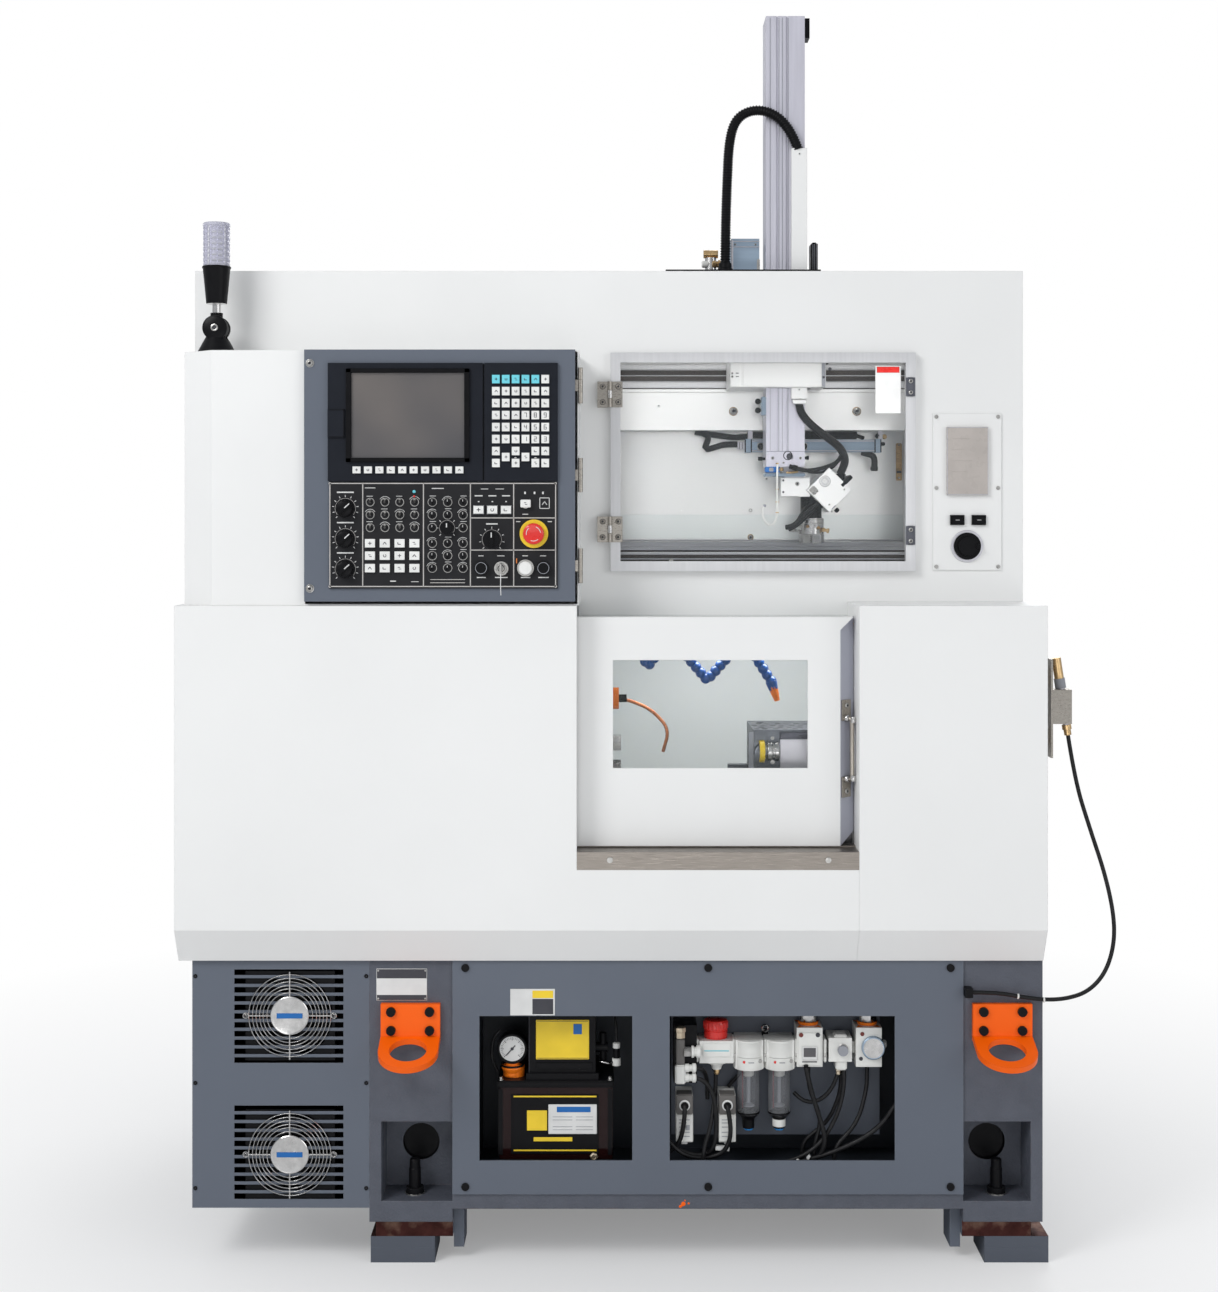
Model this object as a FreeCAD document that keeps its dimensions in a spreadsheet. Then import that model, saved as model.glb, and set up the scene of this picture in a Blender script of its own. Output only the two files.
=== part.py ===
# CNC turning lathe with a gantry loader, in millimetres.
# X points to the right, Y away from the viewer and Z up, from the floor under the machine's middle.
import FreeCAD, Part
import Sketcher
import math
import os

V = FreeCAD.Vector
os.makedirs("parts", exist_ok=True)
doc = FreeCAD.newDocument("Lathe")
dims = doc.addObject("Spreadsheet::Sheet", "Dims")
NAMED = {}
NODES = []
SCREWS = []


class Size:
    """A size with its value and the sheet expression that drives it."""

    def __init__(self, value, text):
        self.value = float(value)
        self.text = text

    def joined(self, other, sign, value):
        return Size(value, "(%s %s %s)" % (self.text, sign, sized(other).text))

    def __add__(self, other):
        return self.joined(other, "+", self.value + sized(other).value)

    def __radd__(self, other):
        return sized(other) + self

    def __sub__(self, other):
        return self.joined(other, "-", self.value - sized(other).value)

    def __rsub__(self, other):
        return sized(other) - self

    def __mul__(self, other):
        return self.joined(other, "*", self.value * sized(other).value)

    def __rmul__(self, other):
        return sized(other) * self

    def __truediv__(self, other):
        return self.joined(other, "/", self.value / sized(other).value)

    def __neg__(self):
        return Size(-self.value, "(-1 * %s)" % self.text)


def sized(item):
    """Any number as a Size."""
    if isinstance(item, Size):
        return item
    return Size(item, "%.6g" % item)


class Sheet:
    """Reads a named size."""

    def __getattr__(self, name):
        return Size(NAMED[name], "Dims." + name)


d = Sheet()


def sizes(group):
    """Writes a group of named sizes into the sheet."""
    for name, value in group.items():
        row = len(NAMED) + 1
        NAMED[name] = value
        dims.set("A%d" % row, name)
        dims.set("B%d" % row, "%.6g" % value)
        dims.setAlias("B%d" % row, name)


def bind(item, path, size):
    """Drives one property of an object from the sheet."""
    if "Dims." in sized(size).text:
        item.setExpression(path, sized(size).text)


def place(item, x, y, z, rotation=None):
    """Puts an object at a point and ties that point to the sheet."""
    spot = V(sized(x).value, sized(y).value, sized(z).value)
    item.Placement = FreeCAD.Placement(spot, rotation or FreeCAD.Rotation())
    for axis, size in (("x", x), ("y", y), ("z", z)):
        bind(item, "Placement.Base." + axis, size)
    return item


def turn(axis, angle):
    """A rotation about one of the three directions."""
    return FreeCAD.Rotation({"x": V(1, 0, 0), "y": V(0, 1, 0), "z": V(0, 0, 1)}[axis], angle)


def along(axis):
    """The rotation that lays a thing's own Z direction along an axis."""
    if isinstance(axis, V):
        return FreeCAD.Rotation(V(0, 0, 1), axis)
    return FreeCAD.Rotation(V(0, 0, 1), {"x": V(1, 0, 0), "y": V(0, 1, 0), "z": V(0, 0, 1)}[axis])


def block(x, y, z):
    """A box between its lower and upper limits."""
    item = doc.addObject("Part::Box", "Block")
    for name, limits in (("Length", x), ("Width", y), ("Height", z)):
        size = sized(limits[1]) - limits[0]
        setattr(item, name, size.value)
        bind(item, name, size)
    return place(item, x[0], y[0], z[0])


def rod(start, axis, radius, length):
    """A cylinder from its first end along an axis."""
    item = doc.addObject("Part::Cylinder", "Rod")
    item.Radius = sized(radius).value
    item.Height = sized(length).value
    bind(item, "Radius", radius)
    bind(item, "Height", length)
    return place(item, start[0], start[1], start[2], along(axis))


def taper(start, axis, first, last, length):
    """A cone between two radii."""
    item = doc.addObject("Part::Cone", "Taper")
    for name, size in (("Radius1", first), ("Radius2", last), ("Height", length)):
        setattr(item, name, sized(size).value)
        bind(item, name, size)
    return place(item, start[0], start[1], start[2], along(axis))


def ball(middle, radius):
    """A sphere about its middle."""
    item = doc.addObject("Part::Sphere", "Ball")
    item.Radius = sized(radius).value
    bind(item, "Radius", radius)
    return place(item, middle[0], middle[1], middle[2])


def join(items):
    """Several shapes as one solid."""
    if len(items) == 1:
        return items[0]
    item = doc.addObject("Part::MultiFuse", "Join")
    item.Shapes = items
    item.Refine = True
    return item


def cut(base, tools):
    """A shape with others taken out of it."""
    item = doc.addObject("Part::Cut", "Cut")
    item.Base = base
    item.Tool = join(tools)
    return item


def group(items):
    """Separate solids that share one node."""
    item = doc.addObject("Part::Compound", "Group")
    item.Links = items
    return item


def node(name, item):
    """Names a finished piece after its node."""
    item.Label = name
    NODES.append(item)
    return item


def held(sketch, index, corner, point):
    """Holds one sketch point at its two sizes."""
    for kind, size, axis in (("DistanceX", point[0], -2), ("DistanceY", point[1], -1)):
        size = sized(size)
        if abs(size.value) < 1e-9:
            sketch.addConstraint(Sketcher.Constraint("PointOnObject", index, corner, axis))
            continue
        held_at = sketch.addConstraint(Sketcher.Constraint(kind, index, corner, size.value))
        bind(sketch, "Constraints[%d]" % held_at, size)


def outline(sketch, points):
    """A closed outline whose corners are held by their sizes."""
    first = sketch.GeometryCount
    count = len(points)
    spots = [V(sized(x).value, sized(y).value, 0) for x, y in points]
    for index in range(count):
        sketch.addGeometry(Part.LineSegment(spots[index], spots[(index + 1) % count]), False)
    for index in range(count):
        following = first + (index + 1) % count
        sketch.addConstraint(Sketcher.Constraint("Coincident", first + index, 2, following, 1))
    for index in range(count):
        held(sketch, first + index, 1, points[index])


def circles(sketch, rounds):
    """Circles held by their middles and radii."""
    for middle, radius in rounds:
        spot = V(sized(middle[0]).value, sized(middle[1]).value, 0)
        index = sketch.addGeometry(Part.Circle(spot, V(0, 0, 1), sized(radius).value), False)
        held(sketch, index, 3, middle)
        held_at = sketch.addConstraint(Sketcher.Constraint("Radius", index, sized(radius).value))
        bind(sketch, "Constraints[%d]" % held_at, radius)


PLANES = {"xy": "XY_Plane", "xz": "XZ_Plane", "yz": "YZ_Plane"}


def drawn(body, plane, offset, outlines, rounds=()):
    """A sketch on one of the body's own planes, set off along the plane's normal."""
    sketch = body.newObject("Sketcher::SketchObject", "Sketch")
    origin = [item for item in body.Origin.OriginFeatures if item.Role == PLANES[plane]][0]
    sketch.AttachmentSupport = [(origin, "")]
    sketch.MapMode = "FlatFace"
    sketch.AttachmentOffset = FreeCAD.Placement(V(0, 0, sized(offset).value), FreeCAD.Rotation())
    bind(sketch, "AttachmentOffset.Base.z", offset)
    for points in outlines:
        outline(sketch, points)
    circles(sketch, rounds)
    return sketch


def padded(plane, limits, outlines, rounds=()):
    """A body padded from a sketch between two limits along the plane's axis."""
    body = doc.addObject("PartDesign::Body", "Body")
    low, high = sized(limits[0]), sized(limits[1])
    start = -high if plane == "xz" else low
    sketch = drawn(body, plane, start, outlines, rounds)
    pad = body.newObject("PartDesign::Pad", "Pad")
    pad.Profile = sketch
    pad.Length = high.value - low.value
    bind(pad, "Length", high - low)
    body.Tip = pad
    return body


def turned(profile, place_at):
    """A body revolved from its half section, given as radius and height pairs."""
    body = doc.addObject("PartDesign::Body", "Body")
    sketch = drawn(body, "xz", 0, [profile])
    spin = body.newObject("PartDesign::Revolution", "Revolution")
    spin.Profile = sketch
    spin.ReferenceAxis = (sketch, ["V_Axis"])
    spin.Angle = 360
    body.Tip = spin
    return place(body, place_at[0], place_at[1], place_at[2])


def rectangle(x, z):
    """The four corners of a rectangle between its limits."""
    return [(x[0], z[0]), (x[1], z[0]), (x[1], z[1]), (x[0], z[1])]


def screw(x, face, z, radius, height, grip):
    """A screw in a face that looks forward, and the cylinder its hole needs."""
    head = rod((x, face - height, z), "y", radius, height)
    shank = rod((x, face, z), "y", d.shank, grip)
    SCREWS.append(join([head, shank]))
    return rod((x, face, z), "y", d.shank, grip)


def route(points, radii):
    """Straight runs joined by tangent arcs of the given radii, one for each inner point."""
    edges = []
    last = points[0]
    for before, corner, after, radius in zip(points, points[1:], points[2:], radii):
        to_before = (before - corner).normalize()
        to_after = (after - corner).normalize()
        half_turn = (math.pi - to_before.getAngle(to_after)) / 2
        reach = radius * math.tan(half_turn)
        start = corner + to_before * reach
        end = corner + to_after * reach
        bisector = (to_before + to_after).normalize()
        middle = corner + bisector * (radius / math.cos(half_turn) - radius)
        edges.append(Part.LineSegment(last, start).toShape())
        edges.append(Part.Arc(start, middle, end).toShape())
        last = end
    edges.append(Part.LineSegment(last, points[-1]).toShape())
    return Part.Wire(edges)


def free_radii(points):
    """The largest even arcs that the runs of a loose route allow."""
    radii = []
    for before, corner, after in zip(points, points[1:], points[2:]):
        half_turn = (math.pi - (before - corner).getAngle(after - corner)) / 2
        shorter = min((before - corner).Length, (after - corner).Length)
        radii.append(0.45 * shorter / math.tan(half_turn))
    return radii


def tube(name, points, radius, radii=None, bore=0):
    """A round tube or cable along its route, with its volume checked against its length."""
    spots = [V(*[sized(size).value for size in point]) for point in points]
    bends = radii or free_radii(spots)
    wire = route(spots, bends)
    outer = sized(radius).value
    inner = sized(bore).value
    start = wire.Edges[0]
    direction = start.tangentAt(start.FirstParameter)
    profile = Part.Wire([Part.Circle(spots[0], direction, outer).toShape()])
    shape = wire.makePipeShell([profile], True, False)
    if inner:
        hollow = Part.Wire([Part.Circle(spots[0], direction, inner).toShape()])
        shape = shape.cut(wire.makePipeShell([hollow], True, False))
    expected = math.pi * (outer ** 2 - inner ** 2) * wire.Length
    print("%s length %.0f radii %s volume ratio %.4f" % (
        name, wire.Length, " ".join("%.0f" % bend for bend in bends), shape.Volume / expected))
    item = doc.addObject("Part::Feature", "Tube")
    item.Shape = shape
    return item


# Main sizes: the width of the lower housing, the depth from its front to the back of the machine,
# and the height of the column's top, with the housing's middle and the back as the places to start from
full_width = 1660
full_depth = 1240
full_height = 2474
housing_middle = -29
back_face = 650
left_side = housing_middle - full_width / 2
right_side = housing_middle + full_width / 2
front_face = back_face - full_depth

# Whole machine
sizes({
    "front": front_face, "upper_front": -408, "shell_back": 560, "cabinet_back": back_face,
    "shell_left": left_side, "shell_right": right_side, "upper_right": right_side - 8, "seam": 443,
    "sheet_t": 3, "shank": 3,
    "pad_z": 29, "wedge_z": 22, "shim_z": 32,
    "beam_gap": 25, "deck_top": 588, "deck_t": 28, "split_z": 1271, "roof_z": 1931,
    "fit_gap": 0.3,
})
leg_z = d.pad_z + d.wedge_z + d.shim_z
beam_z = leg_z + d.beam_gap

# Cast base: two legs, a beam, a deck and the service bay between them
sizes({
    "base_left": -494, "base_right": 802, "base_front": -542,
    "cover_left": -334, "cover_right": 649, "cover_bottom": 137, "cover_t": 4, "flange_w": 48,
    "bay_back": -380, "casting_wall": 40,
    "pocket_bottom": 123, "pocket_top": 276, "pocket_depth": 90, "pocket_side": 23,
    "core_r": 36, "core_z": 209, "left_core_x": -403, "right_core_x": 712,
    "leveller_r": 9.6, "leveller_top": 189, "left_leveller_x": -411, "right_leveller_x": 722,
    "leveller_y": -495, "leg_hollow_front": -400, "leg_hollow_back": 400,
})
deck_under = d.deck_top - d.deck_t
bay_x = (d.cover_left + d.flange_w, d.cover_right - d.flange_w)
bay_z = (beam_z + d.casting_wall * 1.6, deck_under)
left_pocket = (d.base_left + d.pocket_side, d.cover_left)
right_pocket = (d.cover_right, d.base_right - d.pocket_side)
pocket_y = (d.base_front, d.base_front + d.pocket_depth)
levellers = [(d.left_leveller_x, d.leveller_y), (d.right_leveller_x, d.leveller_y)]
base_cuts = [
    block((d.cover_left, d.cover_right), (d.base_front, d.shell_back), (leg_z, beam_z)),
    block(bay_x, (d.base_front, d.bay_back), bay_z),
    block(bay_x, (d.bay_back + d.casting_wall, d.shell_back - d.casting_wall), (beam_z, deck_under)),
]
for pocket, core_x in ((left_pocket, d.left_core_x), (right_pocket, d.right_core_x)):
    hollow_left = pocket[0] if pocket is left_pocket else pocket[0] + d.casting_wall
    hollow_right = pocket[1] - d.casting_wall if pocket is left_pocket else pocket[1]
    hollow_y = (d.leg_hollow_front, d.leg_hollow_back)
    base_cuts.append(block(pocket, pocket_y, (d.pocket_bottom, d.pocket_top)))
    base_cuts.append(block((hollow_left, hollow_right), hollow_y, (leg_z, deck_under)))
    core_length = d.leg_hollow_front - pocket_y[1]
    base_cuts.append(rod((core_x, pocket_y[1], d.core_z), "y", d.core_r, core_length))
for x, y in levellers:
    base_cuts.append(rod((x, y, leg_z), "z", d.leveller_r, d.pocket_bottom - leg_z))
    bolt = rod((x, y, leg_z), "z", d.leveller_r, d.leveller_top - leg_z)
    nut = cut(rod((x, y, d.pocket_bottom), "z", d.leveller_r * 1.8, d.leveller_r * 1.3),
              [rod((x, y, d.pocket_bottom), "z", d.leveller_r, d.leveller_r * 1.3)])
    SCREWS.extend([bolt, nut])

# Front cover with its two cut-outs
sizes({
    "cover_head_r": 7.6, "cover_head_t": 3, "cover_grip": 20,
    "window_left_x": -282, "window_left_end": 12, "window_right_x": 84, "window_right_end": 517,
    "window_bottom": 202, "window_top": 480, "screw_side": 25, "screw_drop": 15, "middle_screw_x": 158,
})
cover_front = d.base_front - d.cover_t
cover_screws = [(x, z) for z in (d.deck_top - d.screw_drop, d.cover_bottom + d.screw_drop)
                for x in (d.cover_left + d.screw_side, d.middle_screw_x, d.cover_right - d.screw_side)]
for x, z in cover_screws:
    base_cuts.append(screw(x, cover_front, z, d.cover_head_r, d.cover_head_t, d.cover_grip))
front_cover = padded(
    "xz", (cover_front, d.base_front),
    [rectangle((d.cover_left, d.cover_right), (d.cover_bottom, d.deck_top)),
     rectangle((d.window_left_x, d.window_left_end), (d.window_bottom, d.window_top)),
     rectangle((d.window_right_x, d.window_right_end), (d.window_bottom, d.window_top))],
    [((x, z), d.shank) for x, z in cover_screws])
node("front_cover", front_cover)

# Two lifting brackets, each a plate folded down to a ring
sizes({
    "bracket_t": 12, "bracket_w": 114, "bracket_low": 433, "bracket_high": 505, "bracket_tilt": 19.4,
    "left_bracket_x": -414, "right_bracket_x": 723, "ring_reach": 45, "lift_hole_r": 35.5,
    "bracket_head_r": 9, "bracket_head_t": 6, "bracket_grip": 40,
})
brackets = []
for middle_x in (d.left_bracket_x, d.right_bracket_x):
    side = d.bracket_w / 2
    spots = [(middle_x + d.bracket_w * across, d.bracket_high - d.bracket_t * down)
             for across in (-0.325, 0.325) for down in (1.2, 4.2)]
    face = d.base_front - d.bracket_t
    plate = padded("xz", (face, d.base_front),
                   [rectangle((middle_x - side, middle_x + side), (d.bracket_low, d.bracket_high))],
                   [((x, z), d.shank) for x, z in spots])
    for x, z in spots:
        base_cuts.append(screw(x, face, z, d.bracket_head_r, d.bracket_head_t, d.bracket_grip))
    tongue = join([block((-side, side), (-d.ring_reach, 0), (0, d.bracket_t)),
                   rod((0, -d.ring_reach, 0), "z", side, d.bracket_t)])
    eye = cut(tongue, [rod((0, -d.ring_reach, 0), "z", d.lift_hole_r, d.bracket_t)])
    place(eye, middle_x, face + d.bracket_t / 3, d.bracket_low - d.bracket_t * 0.05,
          turn("x", NAMED["bracket_tilt"]))
    trimmed = cut(eye, [block((middle_x - d.bracket_w, middle_x + d.bracket_w),
                              (d.base_front, d.base_front + d.bracket_w),
                              (d.bracket_low - d.bracket_w, d.bracket_high))])
    brackets.append(join([plate, trimmed]))
node("lifting_brackets", group(brackets))

cast_base = cut(block((d.base_left, d.base_right), (d.base_front, d.shell_back), (leg_z, d.deck_top)),
                base_cuts)
node("cast_base", cast_base)

# Levelling feet: a pad, a sliding wedge and a shim plate under each corner
sizes({
    "foot_w": 124, "foot_d": 110, "wedge_rise": 8, "foot_front": -530, "foot_back": 540,
    "left_foot_x": -431, "right_foot_x": 754, "left_shim_x": -483, "right_shim_x": 782,
    "tab_t": 20, "tab_drop": 6,
})
feet = []
left_tab = (d.cover_left, d.cover_left + d.tab_t)
right_tab = (d.cover_right - d.tab_t, d.cover_right)
for foot_x, shim_x, tab_x in ((d.left_foot_x, (d.left_shim_x, d.cover_left), left_tab),
                              (d.right_foot_x, (d.cover_right, d.right_shim_x), right_tab)):
    for foot_y in (d.foot_front, d.foot_back - d.foot_d):
        left, right = foot_x - d.foot_w / 2, foot_x + d.foot_w / 2
        feet.append(padded("yz", (left, right), [[
            (foot_y, 0), (foot_y + d.foot_d, 0),
            (foot_y + d.foot_d, d.pad_z + d.wedge_rise), (foot_y, d.pad_z)]]))
        feet.append(padded("yz", (left, right), [[
            (foot_y, d.pad_z), (foot_y + d.foot_d, d.pad_z + d.wedge_rise),
            (foot_y + d.foot_d, d.pad_z + d.wedge_z), (foot_y, d.pad_z + d.wedge_z)]]))
        shim = block(shim_x, (foot_y, foot_y + d.foot_d), (d.pad_z + d.wedge_z, leg_z))
        tab = block(tab_x, (foot_y + d.tab_t, foot_y + d.foot_d - d.tab_t), (d.pad_z - d.tab_drop, beam_z))
        feet.append(join([shim, tab]))
node("levelling_feet", group(feet))

# Fan cabinet on the left of the base, with two slotted grilles
sizes({
    "fan_left": -835, "fan_back": -242, "fan_bottom": 110, "fan_wall": 3,
    "slot_left": -754, "slot_right": -544, "slot_w": 10.8, "slot_pitch": 16.9, "slot_count": 11,
    "upper_slot_z": 389, "lower_slot_z": 127, "fan_screw_side": 5,
})
fan_inner_front = d.base_front + d.fan_wall
grille = padded("xz", (d.base_front, fan_inner_front),
                [rectangle((d.fan_left, d.base_left), (d.fan_bottom, d.deck_top))])
slots = grille.newObject("PartDesign::Pocket", "Slots")
slots.Profile = drawn(grille, "xz", -d.base_front, [
    rectangle((d.slot_left, d.slot_right), (bottom, bottom + d.slot_w))
    for bottom in (d.upper_slot_z, d.lower_slot_z)])
slots.Type = "ThroughAll"
slots.Midplane = True
grille.Tip = slots
rows = grille.newObject("PartDesign::LinearPattern", "Rows")
rows.Originals = [slots]
rows.Direction = (slots.Profile[0], ["V_Axis"])
rows.Length = NAMED["slot_pitch"] * (NAMED["slot_count"] - 1)
bind(rows, "Length", d.slot_pitch * (d.slot_count - 1))
rows.Occurrences = NAMED["slot_count"]
bind(rows, "Occurrences", d.slot_count)
grille.Tip = rows
fan_shell = cut(block((d.fan_left, d.base_left), (fan_inner_front, d.fan_back), (d.fan_bottom, d.deck_top)),
                [block((d.fan_left + d.fan_wall, d.base_left), (fan_inner_front, d.fan_back - d.fan_wall),
                       (d.fan_bottom + d.fan_wall, d.deck_top - d.fan_wall))])
node("fan_cabinet", join([grille, fan_shell]))

# Two cooling fans: a frame with its finger guard and stub shaft, and a rotor
sizes({
    "fan_x": -647, "upper_fan_z": 479, "lower_fan_z": 212, "fan_side": 172, "fan_depth": 42,
    "fan_bore_r": 82, "fan_tip_r": 77, "fan_hub_r": 37, "fan_shaft_r": 6, "guard_t": 3, "guard_wire": 1.6,
    "guard_rings": 5, "blade_t": 2.5, "blade_count": 7, "blade_tilt": 32, "blade_half": 16, "blade_root": 2,
    "rotor_depth": 26, "rotor_clear": 4, "hub_wall": 4, "shaft_gap": 8, "spoke_root": 1,
})
fan_frames = []
fan_start = fan_inner_front
fan_end = fan_start + d.fan_depth
rotor_start = fan_start + d.guard_t + d.rotor_clear
rotor_middle = rotor_start + d.rotor_depth / 2
for rotor_name, fan_z in (("fan_rotor_upper", d.upper_fan_z), ("fan_rotor_lower", d.lower_fan_z)):
    half = d.fan_side / 2
    pieces = [cut(block((d.fan_x - half, d.fan_x + half), (fan_start, fan_end), (fan_z - half, fan_z + half)),
                  [rod((d.fan_x, fan_start, fan_z), "y", d.fan_bore_r, d.fan_depth)])]
    guard_y = (fan_start, fan_start + d.guard_t)
    spoke_y = (fan_end - d.guard_t, fan_end)
    reach = d.fan_bore_r + d.spoke_root
    for x, z in ((reach, d.guard_wire), (d.guard_wire, reach)):
        pieces.append(block((d.fan_x - x, d.fan_x + x), guard_y, (fan_z - z, fan_z + z)))
        pieces.append(block((d.fan_x - x, d.fan_x + x), spoke_y, (fan_z - z, fan_z + z)))
    for index in range(NAMED["guard_rings"]):
        radius = d.fan_bore_r * (index + 1) / (d.guard_rings + 1)
        pieces.append(cut(rod((d.fan_x, fan_start, fan_z), "y", radius + d.guard_wire, d.guard_t),
                          [rod((d.fan_x, fan_start, fan_z), "y", radius - d.guard_wire, d.guard_t)]))
    shaft_start = rotor_start + d.shaft_gap
    pieces.append(rod((d.fan_x, shaft_start, fan_z), "y", d.fan_shaft_r, fan_end - shaft_start))
    fan_frames.append(join(pieces))
    blades = []
    for index in range(NAMED["blade_count"]):
        blade = block((-d.blade_half, d.blade_half), (-d.blade_t / 2, d.blade_t / 2),
                      (d.fan_hub_r - d.blade_root, d.fan_tip_r))
        tilted = place(group([blade]), 0, 0, 0, turn("z", NAMED["blade_tilt"]))
        blades.append(place(group([tilted]), 0, 0, 0, turn("y", 360 * index / NAMED["blade_count"])))
    hub = rod((0, -d.rotor_depth / 2, 0), "y", d.fan_hub_r, d.rotor_depth)
    shaft_bore = rod((0, d.hub_wall - d.rotor_depth / 2, 0), "y", d.fan_shaft_r + d.fit_gap, d.rotor_depth)
    rotor = cut(join([hub] + blades), [shaft_bore])
    node(rotor_name, place(rotor, d.fan_x, rotor_middle, fan_z))
node("fan_guards", group(fan_frames))


# Lower housing: a left sheet with the doorway cut out of it, and a right sheet beside the door
sizes({
    "toe_in": 38, "toe_h": 66, "ledge_flange": 24,
    "door_left": -94, "sill_z": 769, "jamb_x": 444, "jamb_return": 45,
    "sill_top": 803, "door_bottom": 806, "door_top": 1247, "lip_z": 1243,
    "door_face": -540, "door_depth": 40, "liner_front": -480, "liner_step_z": 1240,
})
split_under = d.split_z - d.sheet_t


def housing(left, right, walls):
    """A folded lower sheet with its toe-in, open below and behind."""
    outer = [(d.front + d.toe_in, d.deck_top), (d.front, d.deck_top + d.toe_h), (d.front, d.split_z),
             (d.shell_back, d.split_z), (d.shell_back, d.deck_top)]
    inner = [(d.front + d.toe_in + d.sheet_t, d.deck_top - 1), (d.front + d.toe_in + d.sheet_t, d.deck_top),
             (d.front + d.sheet_t, d.deck_top + d.toe_h), (d.front + d.sheet_t, split_under),
             (d.shell_back + 1, split_under), (d.shell_back + 1, d.deck_top - 1)]
    shell = padded("yz", (left, right), [outer])
    return cut(shell, [padded("yz", walls, [inner])])


top_hole = (d.upper_front + d.sheet_t, d.shell_back + 1)
flange_end = ((d.shell_back - d.sheet_t, d.shell_back + 1), (split_under - 1, d.split_z + 1))
left_housing = housing(d.shell_left, d.seam, (d.shell_left + d.sheet_t, d.seam + 1))
left_cuts = [
    block((d.shell_left + d.ledge_flange, d.seam + 1), top_hole, (split_under - 1, d.split_z + 1)),
    block((d.door_left, d.seam + 1), (d.front - 1, d.shell_back + 1), (d.sill_z, d.split_z + 1)),
    block((d.shell_left + d.sheet_t, d.seam + 1), flange_end[0], flange_end[1]),
]
jamb = block((d.door_left - d.sheet_t, d.door_left), (d.front + d.sheet_t, d.front + d.jamb_return),
             (d.door_bottom, split_under))
node("lower_housing_left", join([cut(left_housing, left_cuts), jamb]))

right_housing = housing(d.seam, d.shell_right, (d.seam + d.sheet_t, d.shell_right - d.sheet_t))
right_cuts = [
    block((d.seam - 1, d.shell_right - d.ledge_flange), top_hole, (split_under - 1, d.split_z + 1)),
    block((d.seam - 1, d.seam + d.sheet_t), (d.liner_front, d.shell_back + 1), (d.deck_top - 1, d.liner_step_z)),
    block((d.seam - 1, d.seam + d.sheet_t), (d.upper_front, d.shell_back + 1), (d.liner_step_z - 1, d.split_z + 1)),
    block((d.seam - 1, d.shell_right - d.sheet_t), flange_end[0], flange_end[1]),
]
node("lower_housing_right", cut(right_housing, right_cuts))

# Stainless sill under the main door, folded back into the rail that the door runs on
sizes({
    "sill_back": -495, "sill_lip": 20, "rail_left": -610, "runner_front": -534, "runner_back": -506,
    "sill_head_r": 5.5, "sill_head_t": 2.5, "sill_screw_left": -31, "sill_screw_right": 384, "sill_screw_z": 788,
})
sill_lip = (d.front + d.sheet_t, d.front + d.sheet_t * 2)
sill = join([
    block((d.door_left, d.seam), (d.front, sill_lip[0]), (d.sill_z, d.sill_top)),
    block((d.door_left, d.seam), sill_lip, (d.sill_z - d.sill_lip, d.sill_top)),
    block((d.rail_left, d.seam), (d.front + d.sheet_t, d.sill_back), (d.sill_top - d.sheet_t, d.sill_top)),
    block((d.rail_left, d.seam), (d.runner_front, d.runner_back), (d.sill_top, d.door_bottom - d.fit_gap)),
])
sill_holes = [screw(x, d.front, d.sill_screw_z, d.sill_head_r, d.sill_head_t, d.sheet_t * 2)
              for x in (d.sill_screw_left, d.sill_screw_right)]
node("door_sill", cut(sill, sill_holes))

# Main sliding door: a folded sheet with a bevelled closing edge
sizes({
    "door_start": -120, "door_end": 442, "bevel": 29, "bevel_top": 1222,
    "pane_left": -25, "pane_right": 350, "pane_bottom": 956, "pane_top": 1164,
    "pane_t": 6, "pane_margin": 12,
    "grip_x": 424, "grip_low": 919, "grip_high": 1067, "grip_plate_w": 26, "grip_plate_h": 40,
    "grip_plate_t": 3, "grip_r": 4.5, "grip_reach": 16, "grip_bend": 7, "corner": 0.85,
})
door_back = d.door_face + d.door_depth
bevel_x = d.door_end - d.bevel
door_shell = padded("xy", (d.door_bottom, d.door_top), [[
    (d.door_start, d.door_face), (d.door_end, d.door_face), (d.door_end, door_back), (d.door_start, door_back)]])
door_hollow = block((d.door_start + d.sheet_t, bevel_x - d.sheet_t), (d.door_face + d.sheet_t, door_back),
                    (d.door_bottom + d.sheet_t, d.door_top - d.sheet_t))
bevel_cut = padded("xy", (d.door_bottom, d.door_top), [[
    (bevel_x, d.door_face), (bevel_x, d.door_face - 5), (d.door_end + 5, d.door_face - 5),
    (d.door_end + 5, d.door_face + d.bevel + 5)]])
above_bevel = padded("xz", (d.door_face - 6, door_back), [[
    (bevel_x - 1, d.bevel_top - 1), (d.door_end + 6, d.bevel_top + d.bevel + 6),
    (d.door_end + 6, d.door_top + d.bevel * 2), (bevel_x - 1, d.door_top + d.bevel * 2)]])
corner_cut = padded("xz", (d.door_face - 6, door_back + 1), [[
    (bevel_x, d.door_bottom), (bevel_x, d.door_bottom - 5), (d.door_end + 5, d.door_bottom - 5),
    (d.door_end + 5, d.door_bottom + d.bevel * d.corner + 5)]])
pane_hole = block((d.pane_left, d.pane_right), (d.door_face - 1, door_back), (d.pane_bottom, d.pane_top))
main_door = cut(door_shell, [door_hollow, cut(bevel_cut, [above_bevel]), corner_cut, pane_hole])
node("main_door", main_door)
pane_y = (d.door_face + d.sheet_t, d.door_face + d.sheet_t + d.pane_t)
node("door_glass", block((d.pane_left - d.pane_margin, d.pane_right + d.pane_margin), pane_y,
                         (d.pane_bottom - d.pane_margin, d.pane_top + d.pane_margin)))

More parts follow.
